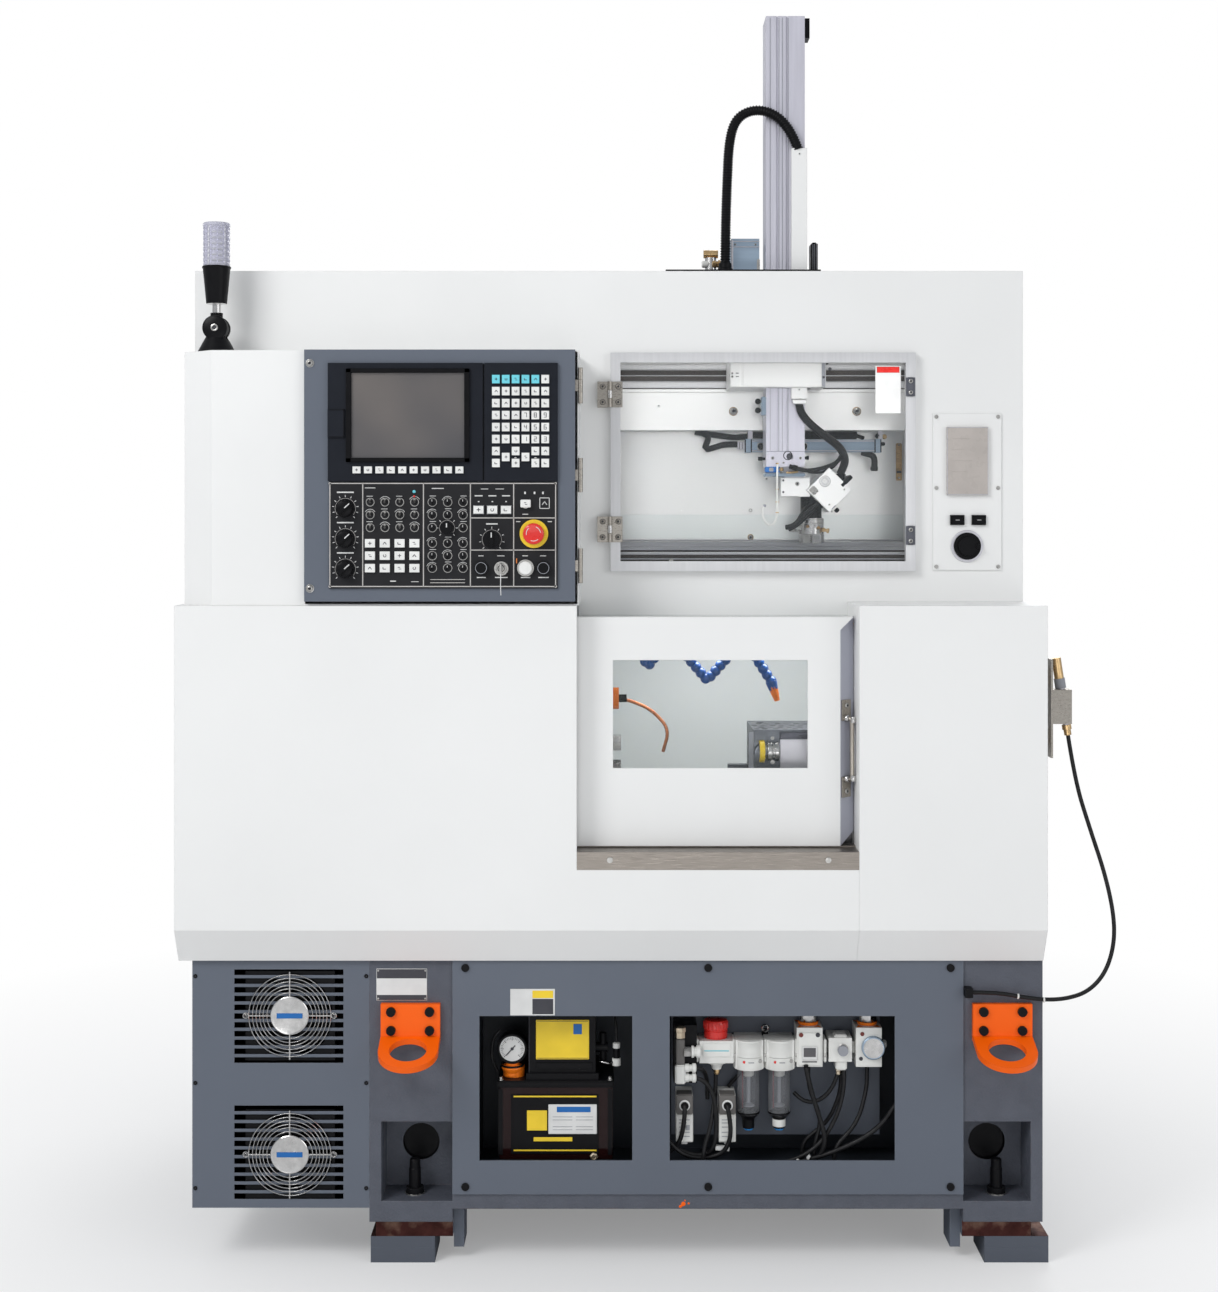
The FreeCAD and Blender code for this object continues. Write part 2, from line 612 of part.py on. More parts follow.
# Handle on the door's bevel: two plates and a bent bar
grip_side = d.grip_plate_w / 2
grip_half = d.grip_plate_h / 2
grip_parts = [block((-grip_side, grip_side), (-d.grip_plate_t, 0), (z - grip_half, z + grip_half))
              for z in (d.grip_low, d.grip_high)]
bar_low = d.grip_low + grip_half - d.grip_r
bar_high = d.grip_high - grip_half + d.grip_r
grip_parts.append(tube("door_handle", [
    (0, -d.grip_plate_t / 2, bar_low), (0, -d.grip_reach, bar_low),
    (0, -d.grip_reach, bar_high), (0, -d.grip_plate_t / 2, bar_high)],
    d.grip_r, [NAMED["grip_bend"]] * 2))
handle = join(grip_parts)
node("door_handle", place(handle, d.grip_x, d.door_face + (d.grip_x - bevel_x), 0, turn("z", 45)))

# Upper cabinet with the loader window opening and the slot in its roof
sizes({
    "upper_window_left": -15, "upper_window_right": 560, "upper_window_low": 1348, "upper_window_high": 1752,
    "roof_slot_left": 20, "roof_slot_right": 505, "roof_slot_front": -310, "roof_slot_back": -180,
})
cabinet_box = block((d.shell_left, d.upper_right), (d.upper_front, d.shell_back), (d.split_z, d.roof_z))
cabinet_inside = block((d.shell_left + d.sheet_t, d.upper_right - d.sheet_t),
                       (d.upper_front + d.sheet_t, d.shell_back + 1), (d.split_z - 1, d.roof_z - d.sheet_t))
window_hole = block((d.upper_window_left, d.upper_window_right),
                    (d.upper_front - 1, d.upper_front + d.sheet_t + 1), (d.upper_window_low, d.upper_window_high))
roof_hole = block((d.roof_slot_left, d.roof_slot_right), (d.roof_slot_front, d.roof_slot_back),
                  (d.roof_z - d.sheet_t - 1, d.roof_z + 1))
door_lip = block((d.door_left, d.seam), (d.upper_front, d.upper_front + d.sheet_t), (d.lip_z, d.split_z))
node("upper_cabinet", join([cut(cabinet_box, [cabinet_inside, window_hole, roof_hole]), door_lip]))

# Control box in front of the cabinet, with one splayed corner and an open face
sizes({
    "control_left": -853, "control_right": -90, "control_front": -578, "control_top": 1758,
    "splay_x": 63, "splay_y": 51, "control_strip": -612,
})
splay_x = d.control_left + d.splay_x
splay_y = d.control_front + d.splay_y
box_body = padded("xy", (d.split_z, d.control_top), [[
    (d.control_left, d.upper_front), (d.control_left, splay_y), (splay_x, d.control_front),
    (d.control_right, d.control_front), (d.control_right, d.upper_front)]])
box_inside = padded("xy", (d.split_z + d.sheet_t, d.control_top - d.sheet_t), [[
    (d.control_left + d.sheet_t, d.upper_front - d.sheet_t),
    (d.control_left + d.sheet_t, splay_y + d.sheet_t / 2), (splay_x + d.sheet_t / 2, d.control_front + d.sheet_t),
    (d.control_strip, d.control_front + d.sheet_t), (d.control_strip, d.control_front - 1),
    (d.control_right - d.sheet_t, d.control_front - 1), (d.control_right - d.sheet_t, d.upper_front - d.sheet_t)]])
node("control_box", cut(box_body, [box_inside]))

# Electrical cabinet closing the back
sizes({"rear_left": -800, "rear_right": 740, "rear_bottom": 620, "rear_top": 1870, "louvre_count": 9,
       "louvre_w": 160, "louvre_h": 8, "louvre_pitch": 22, "louvre_z": 700})
rear = block((d.rear_left, d.rear_right), (d.shell_back, d.cabinet_back), (d.rear_bottom, d.rear_top))
rear_inside = block((d.rear_left + d.sheet_t, d.rear_right - d.sheet_t),
                    (d.shell_back + d.sheet_t, d.cabinet_back - d.sheet_t),
                    (d.rear_bottom + d.sheet_t, d.rear_top - d.sheet_t))
louvres = [block((x, x + d.louvre_w), (d.cabinet_back - d.sheet_t - 1, d.cabinet_back + 1),
                 (d.louvre_z + d.louvre_pitch * index, d.louvre_z + d.louvre_pitch * index + d.louvre_h))
           for x in (d.rear_left + d.louvre_w, d.rear_right - d.louvre_w * 2)
           for index in range(NAMED["louvre_count"])]
closing_sheet = block((d.shell_left + d.sheet_t, d.upper_right - d.sheet_t * 2),
                      (d.shell_back - d.sheet_t, d.shell_back), (d.deck_top, d.roof_z - d.sheet_t))
node("rear_cabinet", join([cut(rear, [rear_inside] + louvres), closing_sheet]))


# Signal tower: a base cone, a tilting knuckle, and the lamp head on its stem
sizes({
    "tower_x": -801, "tower_y": -480, "tower_base_r": 36, "tower_neck_r": 20, "tower_base_h": 36,
    "knuckle_z": 1809, "knuckle_r": 24, "knuckle_half": 9, "stem_r": 12, "neck_r": 8, "stem_top": 1857,
    "cone_top": 1930, "cone_r": 27, "lens_r": 26, "lens_top": 2015, "ear_t": 8, "pivot_r": 5, "pivot_out": 3,
    "stem_low": 30, "lens_ribs": 8, "lens_rib": 5, "lens_groove": 1.2, "base_rim": 6, "fork_sink": 12,
})
base_profile = [(0, 0), (d.tower_base_r, 0), (d.tower_base_r, d.base_rim), (d.tower_neck_r, d.tower_base_h),
                (0, d.tower_base_h)]
tower_cone = turned(base_profile, (d.tower_x, d.tower_y, d.control_top))
ear_y = d.knuckle_half + d.fit_gap
fork = [rod((d.tower_x, d.tower_y + y, d.knuckle_z), "y", d.knuckle_r, d.ear_t) for y in (ear_y, -ear_y - d.ear_t)]
fork_feet = [block((d.tower_x - d.tower_neck_r * 0.8, d.tower_x + d.tower_neck_r * 0.8),
                   (d.tower_y + y, d.tower_y + y + d.ear_t),
                   (d.control_top + d.tower_base_h - d.fork_sink, d.knuckle_z)) for y in (ear_y, -ear_y - d.ear_t)]
slot_room = block((d.tower_x - d.tower_base_r, d.tower_x + d.tower_base_r),
                  (d.tower_y - ear_y, d.tower_y + ear_y),
                  (d.knuckle_z - d.knuckle_r - d.fit_gap, d.knuckle_z + d.knuckle_r))
pivot_reach = ear_y + d.ear_t + d.pivot_out
pivot = rod((d.tower_x, d.tower_y - pivot_reach, d.knuckle_z), "y", d.pivot_r, pivot_reach * 2)
node("tower_base", join([cut(join([tower_cone] + fork + fork_feet), [slot_room]), pivot]))
head_profile = [(0, d.knuckle_r * 0.75), (d.stem_r, d.knuckle_r * 0.75), (d.stem_r, d.stem_low), (d.neck_r, d.stem_low),
                (d.neck_r, d.stem_top - d.knuckle_z), (d.tower_neck_r, d.stem_top - d.knuckle_z),
                (d.cone_r, d.cone_top - d.knuckle_z), (0, d.cone_top - d.knuckle_z)]
head = turned(head_profile, (d.tower_x, d.tower_y, d.knuckle_z))
cheek = rod((d.tower_x, d.tower_y - d.knuckle_half, d.knuckle_z), "y", d.knuckle_r - 1, d.knuckle_half * 2)
pivot_bore = rod((d.tower_x, d.tower_y - d.knuckle_half - 1, d.knuckle_z), "y", d.pivot_r + d.fit_gap,
                 d.knuckle_half * 2 + 2)
ear_room = [rod((d.tower_x, d.tower_y + y, d.knuckle_z), "y", d.knuckle_r + d.fit_gap * 2, d.ear_t + 2)
            for y in (d.knuckle_half, -d.knuckle_half - d.ear_t - 2)]
node("tower_head", cut(join([cut(head, ear_room), cheek]), [pivot_bore]))
lens_h = d.lens_top - d.cone_top
lens_profile = [(0, 0)]
for index in range(NAMED["lens_ribs"]):
    low = lens_h * index / d.lens_ribs
    lens_profile.append((d.lens_r, low))
    lens_profile.append((d.lens_r, low + d.lens_rib))
    lens_profile.append((d.lens_r - d.lens_groove, low + d.lens_rib * 1.5))
lens_profile.append((d.lens_r - d.lens_groove, lens_h))
lens_profile.append((0, lens_h))
node("tower_lens", turned(lens_profile, (d.tower_x, d.tower_y, d.cone_top)))

# Loader window door: a frame, its pane, two catches and its hinges
sizes({
    "frame_left": -30, "frame_right": 577, "frame_low": 1332, "frame_high": 1767, "frame_bar": 20,
    "frame_front": -424, "window_axis_x": -31, "window_axis_y": -430, "barrel_r": 4.5, "pin_r": 2.2,
    "upper_hinge_low": 1658, "upper_hinge_high": 1709, "lower_hinge_low": 1390, "lower_hinge_high": 1441,
    "leaf_w": 25, "leaf_t": 3, "catch_left": 557, "catch_right": 575, "catch_h": 37, "catch_t": 4, "catch_head_r": 3.5,
    "catch_head_t": 2,
    "upper_catch_z": 1680, "lower_catch_z": 1385, "glass_t": 5, "glass_seat": 5,
})
frame_back = d.upper_front - d.fit_gap
frame_hole = ((d.frame_left + d.frame_bar, d.frame_right - d.frame_bar),
              (d.frame_low + d.frame_bar, d.frame_high - d.frame_bar))
glass_y = (d.frame_front + d.glass_seat, d.frame_front + d.glass_seat + d.glass_t)
glass_x = (frame_hole[0][0] - d.glass_seat, frame_hole[0][1] + d.glass_seat)
glass_z = (frame_hole[1][0] - d.glass_seat, frame_hole[1][1] + d.glass_seat)
frame = padded("xz", (d.frame_front, frame_back), [
    rectangle((d.frame_left, d.frame_right), (d.frame_low, d.frame_high)), rectangle(*frame_hole)])
window_frame_parts = [cut(frame, [block(glass_x, glass_y, glass_z)])]
hinge_parts = []
window_leaf_y = (d.frame_front - d.leaf_t, d.frame_front)
for low, high in ((d.upper_hinge_low, d.upper_hinge_high), (d.lower_hinge_low, d.lower_hinge_high)):
    third = (high - low) / 3
    barrel = (d.window_axis_x, d.window_axis_y)
    lower_barrel = rod((barrel[0], barrel[1], low), "z", d.barrel_r, third)
    upper_barrel = rod((barrel[0], barrel[1], high - third), "z", d.barrel_r, third)
    pin = rod((barrel[0], barrel[1], low), "z", d.pin_r, high - low)
    leaf_side = d.window_axis_x - d.barrel_r - d.fit_gap
    leaf = block((d.window_axis_x - d.leaf_w, leaf_side), (window_leaf_y[0], d.upper_front), (low, high))
    straps = [block((leaf_side - 1, d.window_axis_x), window_leaf_y, zone)
              for zone in ((low, low + third), (high - third, high))]
    hinge_parts.append(join([leaf, lower_barrel, upper_barrel, pin] + straps))
    moving_zone = (low + third + d.fit_gap, high - third - d.fit_gap)
    moving_barrel = rod((barrel[0], barrel[1], moving_zone[0]), "z", d.barrel_r, moving_zone[1] - moving_zone[0])
    moving_strap = block((d.window_axis_x, d.window_axis_x + d.leaf_w / 2), window_leaf_y, moving_zone)
    moving_leaf = block((d.window_axis_x + d.barrel_r + d.fit_gap, d.window_axis_x + d.leaf_w),
                        window_leaf_y, (low, high))
    bore = rod((barrel[0], barrel[1], low), "z", d.pin_r + d.fit_gap, high - low)
    window_frame_parts.append(cut(join([moving_barrel, moving_strap, moving_leaf]), [bore]))
node("window_frame", join(window_frame_parts))
node("window_glass", block(glass_x, glass_y, glass_z))
catches = []
for low in (d.upper_catch_z, d.lower_catch_z):
    plate = block((d.catch_left, d.catch_right), (d.frame_front - d.catch_t, d.frame_front), (low, low + d.catch_h))
    middle_x = (d.catch_left + d.catch_right) / 2
    heads = [rod((middle_x, d.frame_front - d.catch_t - d.catch_head_t, low + d.catch_h * part), "y",
                 d.catch_head_r, d.catch_head_t) for part in (0.2, 0.8)]
    catches.append(join([plate] + heads))
node("window_catches", group(catches))

# Operating panel door, hung on three hinges on its right
sizes({
    "panel_left": -612, "panel_right": -97, "panel_low": 1279, "panel_high": 1758, "panel_back": -579.5,
    "panel_axis_x": -87, "panel_axis_y": -584.5, "panel_barrel_r": 4.5,
    "hinge_a_low": 1656, "hinge_a_high": 1724, "hinge_b_low": 1487, "hinge_b_high": 1552,
    "hinge_c_low": 1314, "hinge_c_high": 1380, "panel_head_r": 4, "panel_head_t": 1.5,
    "panel_screw_x": -601, "panel_screw_high": 1732, "panel_screw_low": 1304,
})
panel_shell = cut(block((d.panel_left, d.panel_right), (d.front, d.panel_back), (d.panel_low, d.panel_high)), [
    block((d.panel_left + d.sheet_t, d.panel_right - d.sheet_t), (d.front + d.sheet_t, d.panel_back),
          (d.panel_low + d.sheet_t, d.panel_high - d.sheet_t))])
panel_parts = [panel_shell]
panel_leaf_y = (d.panel_axis_y - d.leaf_t / 2, d.panel_axis_y + d.leaf_t / 2)
for low, high in ((d.hinge_a_low, d.hinge_a_high), (d.hinge_b_low, d.hinge_b_high),
                  (d.hinge_c_low, d.hinge_c_high)):
    third = (high - low) / 3
    spot = (d.panel_axis_x, d.panel_axis_y)
    pin = rod((spot[0], spot[1], low), "z", d.pin_r, high - low)
    barrels = [rod((spot[0], spot[1], z), "z", d.panel_barrel_r, third) for z in (low, high - third)]
    strap_x = (d.control_right, d.control_right + d.leaf_t)
    ties = [block(strap_x, (spot[1], d.control_front + d.leaf_w), zone)
            for zone in ((low, low + third), (high - third, high))]
    back_leaf = block(strap_x, (d.control_front, d.control_front + d.leaf_w), (low, high))
    hinge_parts.append(join([pin, back_leaf] + barrels + ties))
    zone = (low + third + d.fit_gap, high - third - d.fit_gap)
    barrel = rod((spot[0], spot[1], zone[0]), "z", d.panel_barrel_r, zone[1] - zone[0])
    strap = block((d.panel_right, spot[0]), panel_leaf_y, zone)
    bore = rod((spot[0], spot[1], low), "z", d.pin_r + d.fit_gap, high - low)
    panel_parts.append(cut(join([barrel, strap]), [bore]))
node("door_hinges", group(hinge_parts))
panel_parts.extend([rod((d.panel_screw_x, d.front - d.panel_head_t, z), "y", d.panel_head_r, d.panel_head_t)
                    for z in (d.panel_screw_high, d.panel_screw_low)])
node("panel_door", join(panel_parts))

# Display unit with its bezel, screen, card cover and soft keys, and the keypad beside it
sizes({
    "unit_left": -566, "unit_right": -272, "unit_low": 1508, "unit_high": 1732, "unit_t": 7,
    "bezel_left": -531, "bezel_right": -297, "bezel_low": 1544, "bezel_high": 1721, "bezel_t": 4,
    "screen_left": -521, "screen_right": -307, "screen_low": 1552, "screen_high": 1713,
    "softkey_x": -511, "softkey_pitch": 21.65, "softkey_w": 15, "softkey_h": 13, "softkey_z": 1529, "key_t": 4,
    "keypad_left": -269, "keypad_right": -130, "key_x": -247, "key_pitch_x": 18.7, "key_z": 1701,
    "key_pitch_z": 22.7, "key_w": 14.6, "key_h": 16, "card_w": 32, "card_low": 1590, "card_high": 1644, "card_t": 3,
})
unit_y = (d.front - d.unit_t, d.front)
key_y = (d.front - d.unit_t - d.key_t, d.front - d.unit_t)
bezel = block((d.bezel_left, d.bezel_right), (unit_y[0] - d.bezel_t, unit_y[0]), (d.bezel_low, d.bezel_high))
screen_room = block((d.screen_left, d.screen_right), (unit_y[0] - d.bezel_t, unit_y[0]), (d.screen_low, d.screen_high))
display = [block((d.unit_left, d.unit_right), unit_y, (d.unit_low, d.unit_high)), cut(bezel, [screen_room])]
display.append(block((d.unit_left, d.unit_left + d.card_w), (unit_y[0] - d.card_t, unit_y[0]),
                     (d.card_low, d.card_high)))
for index in range(10):
    x = d.softkey_x + d.softkey_pitch * index
    display.append(block((x - d.softkey_w / 2, x + d.softkey_w / 2), key_y,
                         (d.softkey_z - d.softkey_h / 2, d.softkey_z + d.softkey_h / 2)))
keypad = [block((d.keypad_left, d.keypad_right), unit_y, (d.unit_low, d.unit_high))]
for row in range(8):
    for column in range(6):
        lowered = row >= 6 and column in (1, 3)
        if lowered and row == 7:
            continue
        x = d.key_x + d.key_pitch_x * column
        z = d.key_z - d.key_pitch_z * row - (d.key_pitch_z / 2 if lowered else 0)
        keypad.append(block((x - d.key_w / 2, x + d.key_w / 2), key_y, (z - d.key_h / 2, z + d.key_h / 2)))
node("display_unit", group([join(display), join(keypad)]))

# Operator plate with its fixed keys and switches
sizes({
    "plate_left": -564, "plate_right": -130, "plate_low": 1304, "plate_high": 1507, "plate_t": 4,
    "knob_x": -533, "knob_top_z": 1456, "knob_pitch": 57.5, "knob_r": 17, "knob_t": 16,
    "mode_x": -255, "mode_z": 1397, "mode_r": 16,
    "stop_x": -175, "stop_z": 1408, "stop_ring_r": 27, "stop_r": 19.5, "stop_ring_t": 8, "stop_out": 26,
    "start_x": -191, "start_z": 1343, "start_r": 13, "start_ring_r": 16, "button_t": 9, "push": 3,
    "lock_x": -237, "lock_z": 1342, "lock_r": 9.5, "lock_rim": 4, "lock_out": 1, "bow_t": 3, "bow_side": 9,
    "bow_reach": 21, "stop_stem": 6,
    "key_left_x": -486, "key_left_pitch": 28.1, "key_left_z": 1390, "key_left_drop": 23.6,
    "key_left_w": 19, "key_left_h": 16, "switch_z": 1468, "switch_pitch": 24.2, "switch_r": 5,
    "column_x": -368, "column_pitch": 29.1, "upper_key_x": -280, "upper_key_pitch": 26, "upper_key_w": 21,
    "upper_key_low": 1445, "upper_key_high": 1462, "lamp_key_z": 1464, "lamp_key_r": 8,
    "left_button_x": -275, "right_button_x": -157, "small_knob_x": -340, "small_knob_z": 1419, "small_knob_r": 12,
})
plate_face = d.front - d.plate_t
plate_parts = [block((d.plate_left, d.plate_right), (plate_face, d.front), (d.plate_low, d.plate_high))]


def button(x, z, radius, height):
    """A round button or switch fixed to the operator plate."""
    return rod((x, plate_face - height, z), "y", radius, height)


for column in range(4):
    x = d.key_left_x + d.key_left_pitch * column
    for row in range(3):
        z = d.key_left_z - d.key_left_drop * row
        plate_parts.append(block((x - d.key_left_w / 2, x + d.key_left_w / 2),
                                 (plate_face - d.key_t, plate_face), (z - d.key_left_h / 2, z + d.key_left_h / 2)))
        plate_parts.append(button(x, d.switch_z - d.switch_pitch * row, d.switch_r, d.key_t))
for column in range(3):
    x = d.column_x + d.column_pitch * column
    for row in range(3):
        plate_parts.append(button(x, d.switch_z - d.switch_pitch * row, d.switch_r * 1.2, d.key_t))
        plate_parts.append(button(x, d.key_left_z - d.key_left_drop * row, d.switch_r * 1.2, d.key_t))
for index in range(3):
    x = d.upper_key_x + d.upper_key_pitch * index
    plate_parts.append(block((x - d.upper_key_w / 2, x + d.upper_key_w / 2), (plate_face - d.key_t, plate_face),
                             (d.upper_key_low, d.upper_key_high)))
plate_parts.append(button(d.start_x, d.lamp_key_z, d.lamp_key_r, d.key_t))
plate_parts.append(button(d.mode_x, d.mode_z, d.mode_r, d.knob_t))
for x in (d.right_button_x, d.left_button_x):
    plate_parts.append(button(x, d.start_z, d.start_r, d.button_t))
plate_parts.append(button(d.small_knob_x, d.small_knob_z, d.small_knob_r, d.knob_t * 0.8))
start_ring = cut(button(d.start_x, d.start_z, d.start_ring_r, d.key_t), [
    button(d.start_x, d.start_z, d.start_r + d.fit_gap, d.key_t)])
stop_collar = cut(button(d.stop_x, d.stop_z, d.stop_ring_r, d.stop_ring_t), [
    button(d.stop_x, d.stop_z, d.stop_r * 0.6 + d.fit_gap, d.stop_ring_t)])
lock_collar = cut(button(d.lock_x, d.lock_z, d.lock_r + d.lock_rim, d.key_t), [
    button(d.lock_x, d.lock_z, d.lock_r + d.fit_gap, d.key_t)])
plate_parts.extend([start_ring, stop_collar, lock_collar])
node("operator_plate", join(plate_parts))

for index in range(3):
    z = d.knob_top_z - d.knob_pitch * index
    skirt = rod((0, -d.knob_t * 0.35, 0), "y", d.knob_r, d.knob_t * 0.35)
    grip = block((-d.knob_r * 0.28, d.knob_r * 0.28), (-d.knob_t, 0), (-d.knob_r * 0.9, d.knob_r * 0.9))
    dome = taper((0, -d.knob_t * 0.6, 0), "y", d.knob_r * 0.6, d.knob_r * 0.95, d.knob_t * 0.25)
    knob = join([skirt, grip, dome])
    node("override_knob_%d" % (index + 1), place(knob, d.knob_x, plate_face - d.fit_gap, z))
stop_front = plate_face - d.stop_out
mushroom = join([
    rod((d.stop_x, stop_front, d.stop_z), "y", d.stop_r,
        d.stop_out - d.stop_ring_t - d.stop_stem),
    rod((d.stop_x, stop_front, d.stop_z), "y", d.stop_r * 0.6, d.stop_out - d.stop_stem + 1)])
node("e_stop_button", mushroom)
node("cycle_start_button", rod((d.start_x, plate_face - d.button_t, d.start_z), "y", d.start_r,
                               d.button_t - d.push - d.fit_gap))
lock_front = -d.key_t - d.lock_out
lock_barrel = rod((0, lock_front, 0), "y", d.lock_r, d.key_t + d.lock_out - d.fit_gap)
lock_bow = block((-d.bow_t / 2, d.bow_t / 2), (lock_front - d.bow_reach, lock_front), (-d.bow_side, d.bow_side))
node("key_switch", place(join([lock_barrel, lock_bow]), d.lock_x, plate_face, d.lock_z))

# Loader panel with its display, two buttons and the pulse dial
sizes({
    "loader_left": 613, "loader_right": 750, "loader_low": 1334, "loader_high": 1647,
    "readout_left": 640, "readout_right": 722, "readout_low": 1484, "readout_high": 1619, "readout_t": 8,
    "dial_x": 681, "dial_z": 1382, "dial_r": 32, "dial_inner_r": 19, "dial_t": 9,
    "loader_button_w": 28, "loader_button_h": 20, "loader_button_z": 1434, "loader_button_t": 6,
    "loader_button_left": 661, "loader_button_right": 704, "loader_screw_side": 7, "loader_screw_z": 1498,
    "dial_plate_t": 3, "dial_rim": 5, "crank_r": 4,
})
loader_face = d.upper_front - d.sheet_t
loader_parts = [
    block((d.loader_left, d.loader_right), (loader_face, d.upper_front), (d.loader_low, d.loader_high)),
    block((d.readout_left, d.readout_right), (loader_face - d.readout_t, loader_face),
          (d.readout_low, d.readout_high))]
for x in (d.loader_button_left, d.loader_button_right):
    loader_parts.append(block((x - d.loader_button_w / 2, x + d.loader_button_w / 2),
                              (loader_face - d.loader_button_t, loader_face),
                              (d.loader_button_z - d.loader_button_h / 2, d.loader_button_z + d.loader_button_h / 2)))
loader_holes = [screw(x, loader_face, z, d.panel_head_r, d.panel_head_t, d.sheet_t)
                for x in (d.loader_left + d.loader_screw_side, d.loader_right - d.loader_screw_side)
                for z in (d.loader_high - d.loader_screw_side, d.loader_screw_z, d.loader_low + d.loader_screw_side)]
dial_face = loader_face - d.dial_plate_t
loader_parts.append(rod((d.dial_x, dial_face, d.dial_z), "y", d.dial_r, d.dial_plate_t))
node("loader_panel", cut(join(loader_parts), loader_holes))
dial = join([rod((0, -d.dial_plate_t, 0), "y", d.dial_r - d.dial_rim, d.dial_plate_t),
             rod((0, -d.dial_t, 0), "y", d.dial_inner_r, d.dial_t),
             rod((d.dial_r * 0.62, -d.dial_t - d.crank_r, 0), "y", d.crank_r, d.dial_t + d.crank_r)])
node("pulse_dial", place(dial, d.dial_x, dial_face - d.fit_gap, d.dial_z))


# Way lubricator in the left half of the service bay
sizes({
    "lube_front": -510, "tank_left": -245, "tank_right": -26, "tank_low": 193, "tank_high": 344,
    "tank_t": 4, "pump_left": -188, "pump_right": -59, "pump_high": 470, "pump_front": -500,
    "lid_side": 6, "lid_t": 14, "gauge_x": -222, "gauge_z": 401, "gauge_r": 29, "gauge_y": -488, "gauge_t": 30,
    "gauge_rim": 4, "gauge_stem_r": 8, "cap_x": -219, "cap_r": 21, "cap_h": 20, "cap_gap": 8,
    "outlet_z": 400, "outlet_r": 10, "outlet_reach": 24, "outlet_pipe_r": 7, "outlet_pipe_h": 56,
})
tank = cut(block((d.tank_left, d.tank_right), (d.lube_front, d.bay_back), (d.tank_low, d.tank_high)), [
    block((d.tank_left + d.tank_t, d.tank_right - d.tank_t), (d.lube_front + d.tank_t, d.bay_back - d.tank_t),
          (d.tank_low + d.tank_t, d.tank_high - d.tank_t))])
pump = block((d.pump_left, d.pump_right), (d.pump_front, d.bay_back), (d.tank_high, d.pump_high))
pump_lid = block((d.pump_left - d.lid_side, d.pump_right + d.lid_side), (d.pump_front - d.lid_side, d.bay_back),
                 (d.tank_high, d.tank_high + d.lid_t))
cap = rod((d.cap_x, d.pump_front + d.cap_r + d.cap_gap, d.tank_high), "z", d.cap_r, d.cap_h)
stem_y = d.gauge_y + d.gauge_t * 0.7
gauge_stem = rod((d.gauge_x, stem_y, d.gauge_z), "x", d.gauge_stem_r, d.pump_left - d.gauge_x + d.tank_t)
gauge = cut(rod((d.gauge_x, d.gauge_y, d.gauge_z), "y", d.gauge_r, d.gauge_t),
            [rod((d.gauge_x, d.gauge_y, d.gauge_z), "y", d.gauge_r - d.gauge_rim, d.gauge_rim)])
outlet_y = d.pump_front + d.gauge_t
outlet = join([
    rod((d.pump_right, outlet_y, d.outlet_z), "x", d.outlet_r, d.outlet_reach),
    rod((d.pump_right + d.outlet_reach * 0.6, outlet_y, d.outlet_z - d.outlet_pipe_h / 2), "z",
        d.outlet_pipe_r, d.outlet_pipe_h)])
node("lubricator", join([tank, pump_lid, pump, cap, gauge_stem, gauge, outlet]))

# Air preparation set on its plate in the right half of the bay
sizes({
    "air_left": 90, "air_right": 501, "air_low": 222, "air_high": 466, "air_plate_y": -452, "air_plate_t": 4,
    "air_front": -510, "post_r": 9, "post_side": 20, "manifold_left": 93, "manifold_right": 138,
    "manifold_low": 341, "manifold_high": 453, "valve_x": 176, "valve_half": 33, "valve_low": 379,
    "valve_high": 422, "outlet_stub_r": 7, "outlet_stub_h": 20, "filter_x": 240, "filter_pitch": 60,
    "filter_r": 27, "bowl_r": 21.5, "filter_low": 368, "filter_high": 424, "bowl_low": 274, "bowl_end_h": 12,
    "drain_r": 6, "drain_h": 20, "drain_low": 244,
    "regulator_x": 357, "regulator_pitch": 115, "regulator_half": 25, "regulator_low": 372, "regulator_high": 448,
    "cap_ring_r": 19, "cap_ring_h": 5, "cap_knob_r": 17, "cap_knob_h": 20,
    "air_gauge_x": 480, "air_gauge_z": 410, "air_gauge_r": 20, "air_gauge_t": 10,
    "readout_block_left": 343, "readout_block_right": 369, "readout_block_low": 390, "readout_block_t": 3,
    "tee_left": 394, "tee_right": 439, "tee_low": 382, "tee_high": 428, "tee_x": 421, "tee_knob_z": 405,
    "tee_knob_r": 10, "tee_knob_t": 12, "tee_stub_r": 8, "tee_stub_low": 364, "link_half": 8,
    "valve_box_a": 98, "valve_box_b": 181, "valve_box_w": 32, "valve_box_low": 226, "valve_box_high": 317,
    "plug_z": 298, "plug_r": 7, "plug_t": 6, "shutoff_h": 35, "shutoff_r": 22, "shutoff_half": 6, "tube_r": 4,
})
air_mid_y = (d.air_front + d.air_plate_y) / 2
plate_y = (d.air_plate_y, d.air_plate_y + d.air_plate_t)
unit_depth = (d.air_front, d.air_plate_y)
link_y = (air_mid_y - d.link_half, air_mid_y + d.link_half)
second_regulator = d.regulator_x + d.regulator_pitch
air_parts = [block((d.air_left, d.air_right), plate_y, (d.air_low, d.air_high))]
for x in (d.air_left + d.post_side, d.air_right - d.post_side):
    for z in (d.air_low + d.post_side, d.air_high - d.post_side):
        air_parts.append(rod((x, plate_y[1], z), "y", d.post_r, d.bay_back - plate_y[1]))
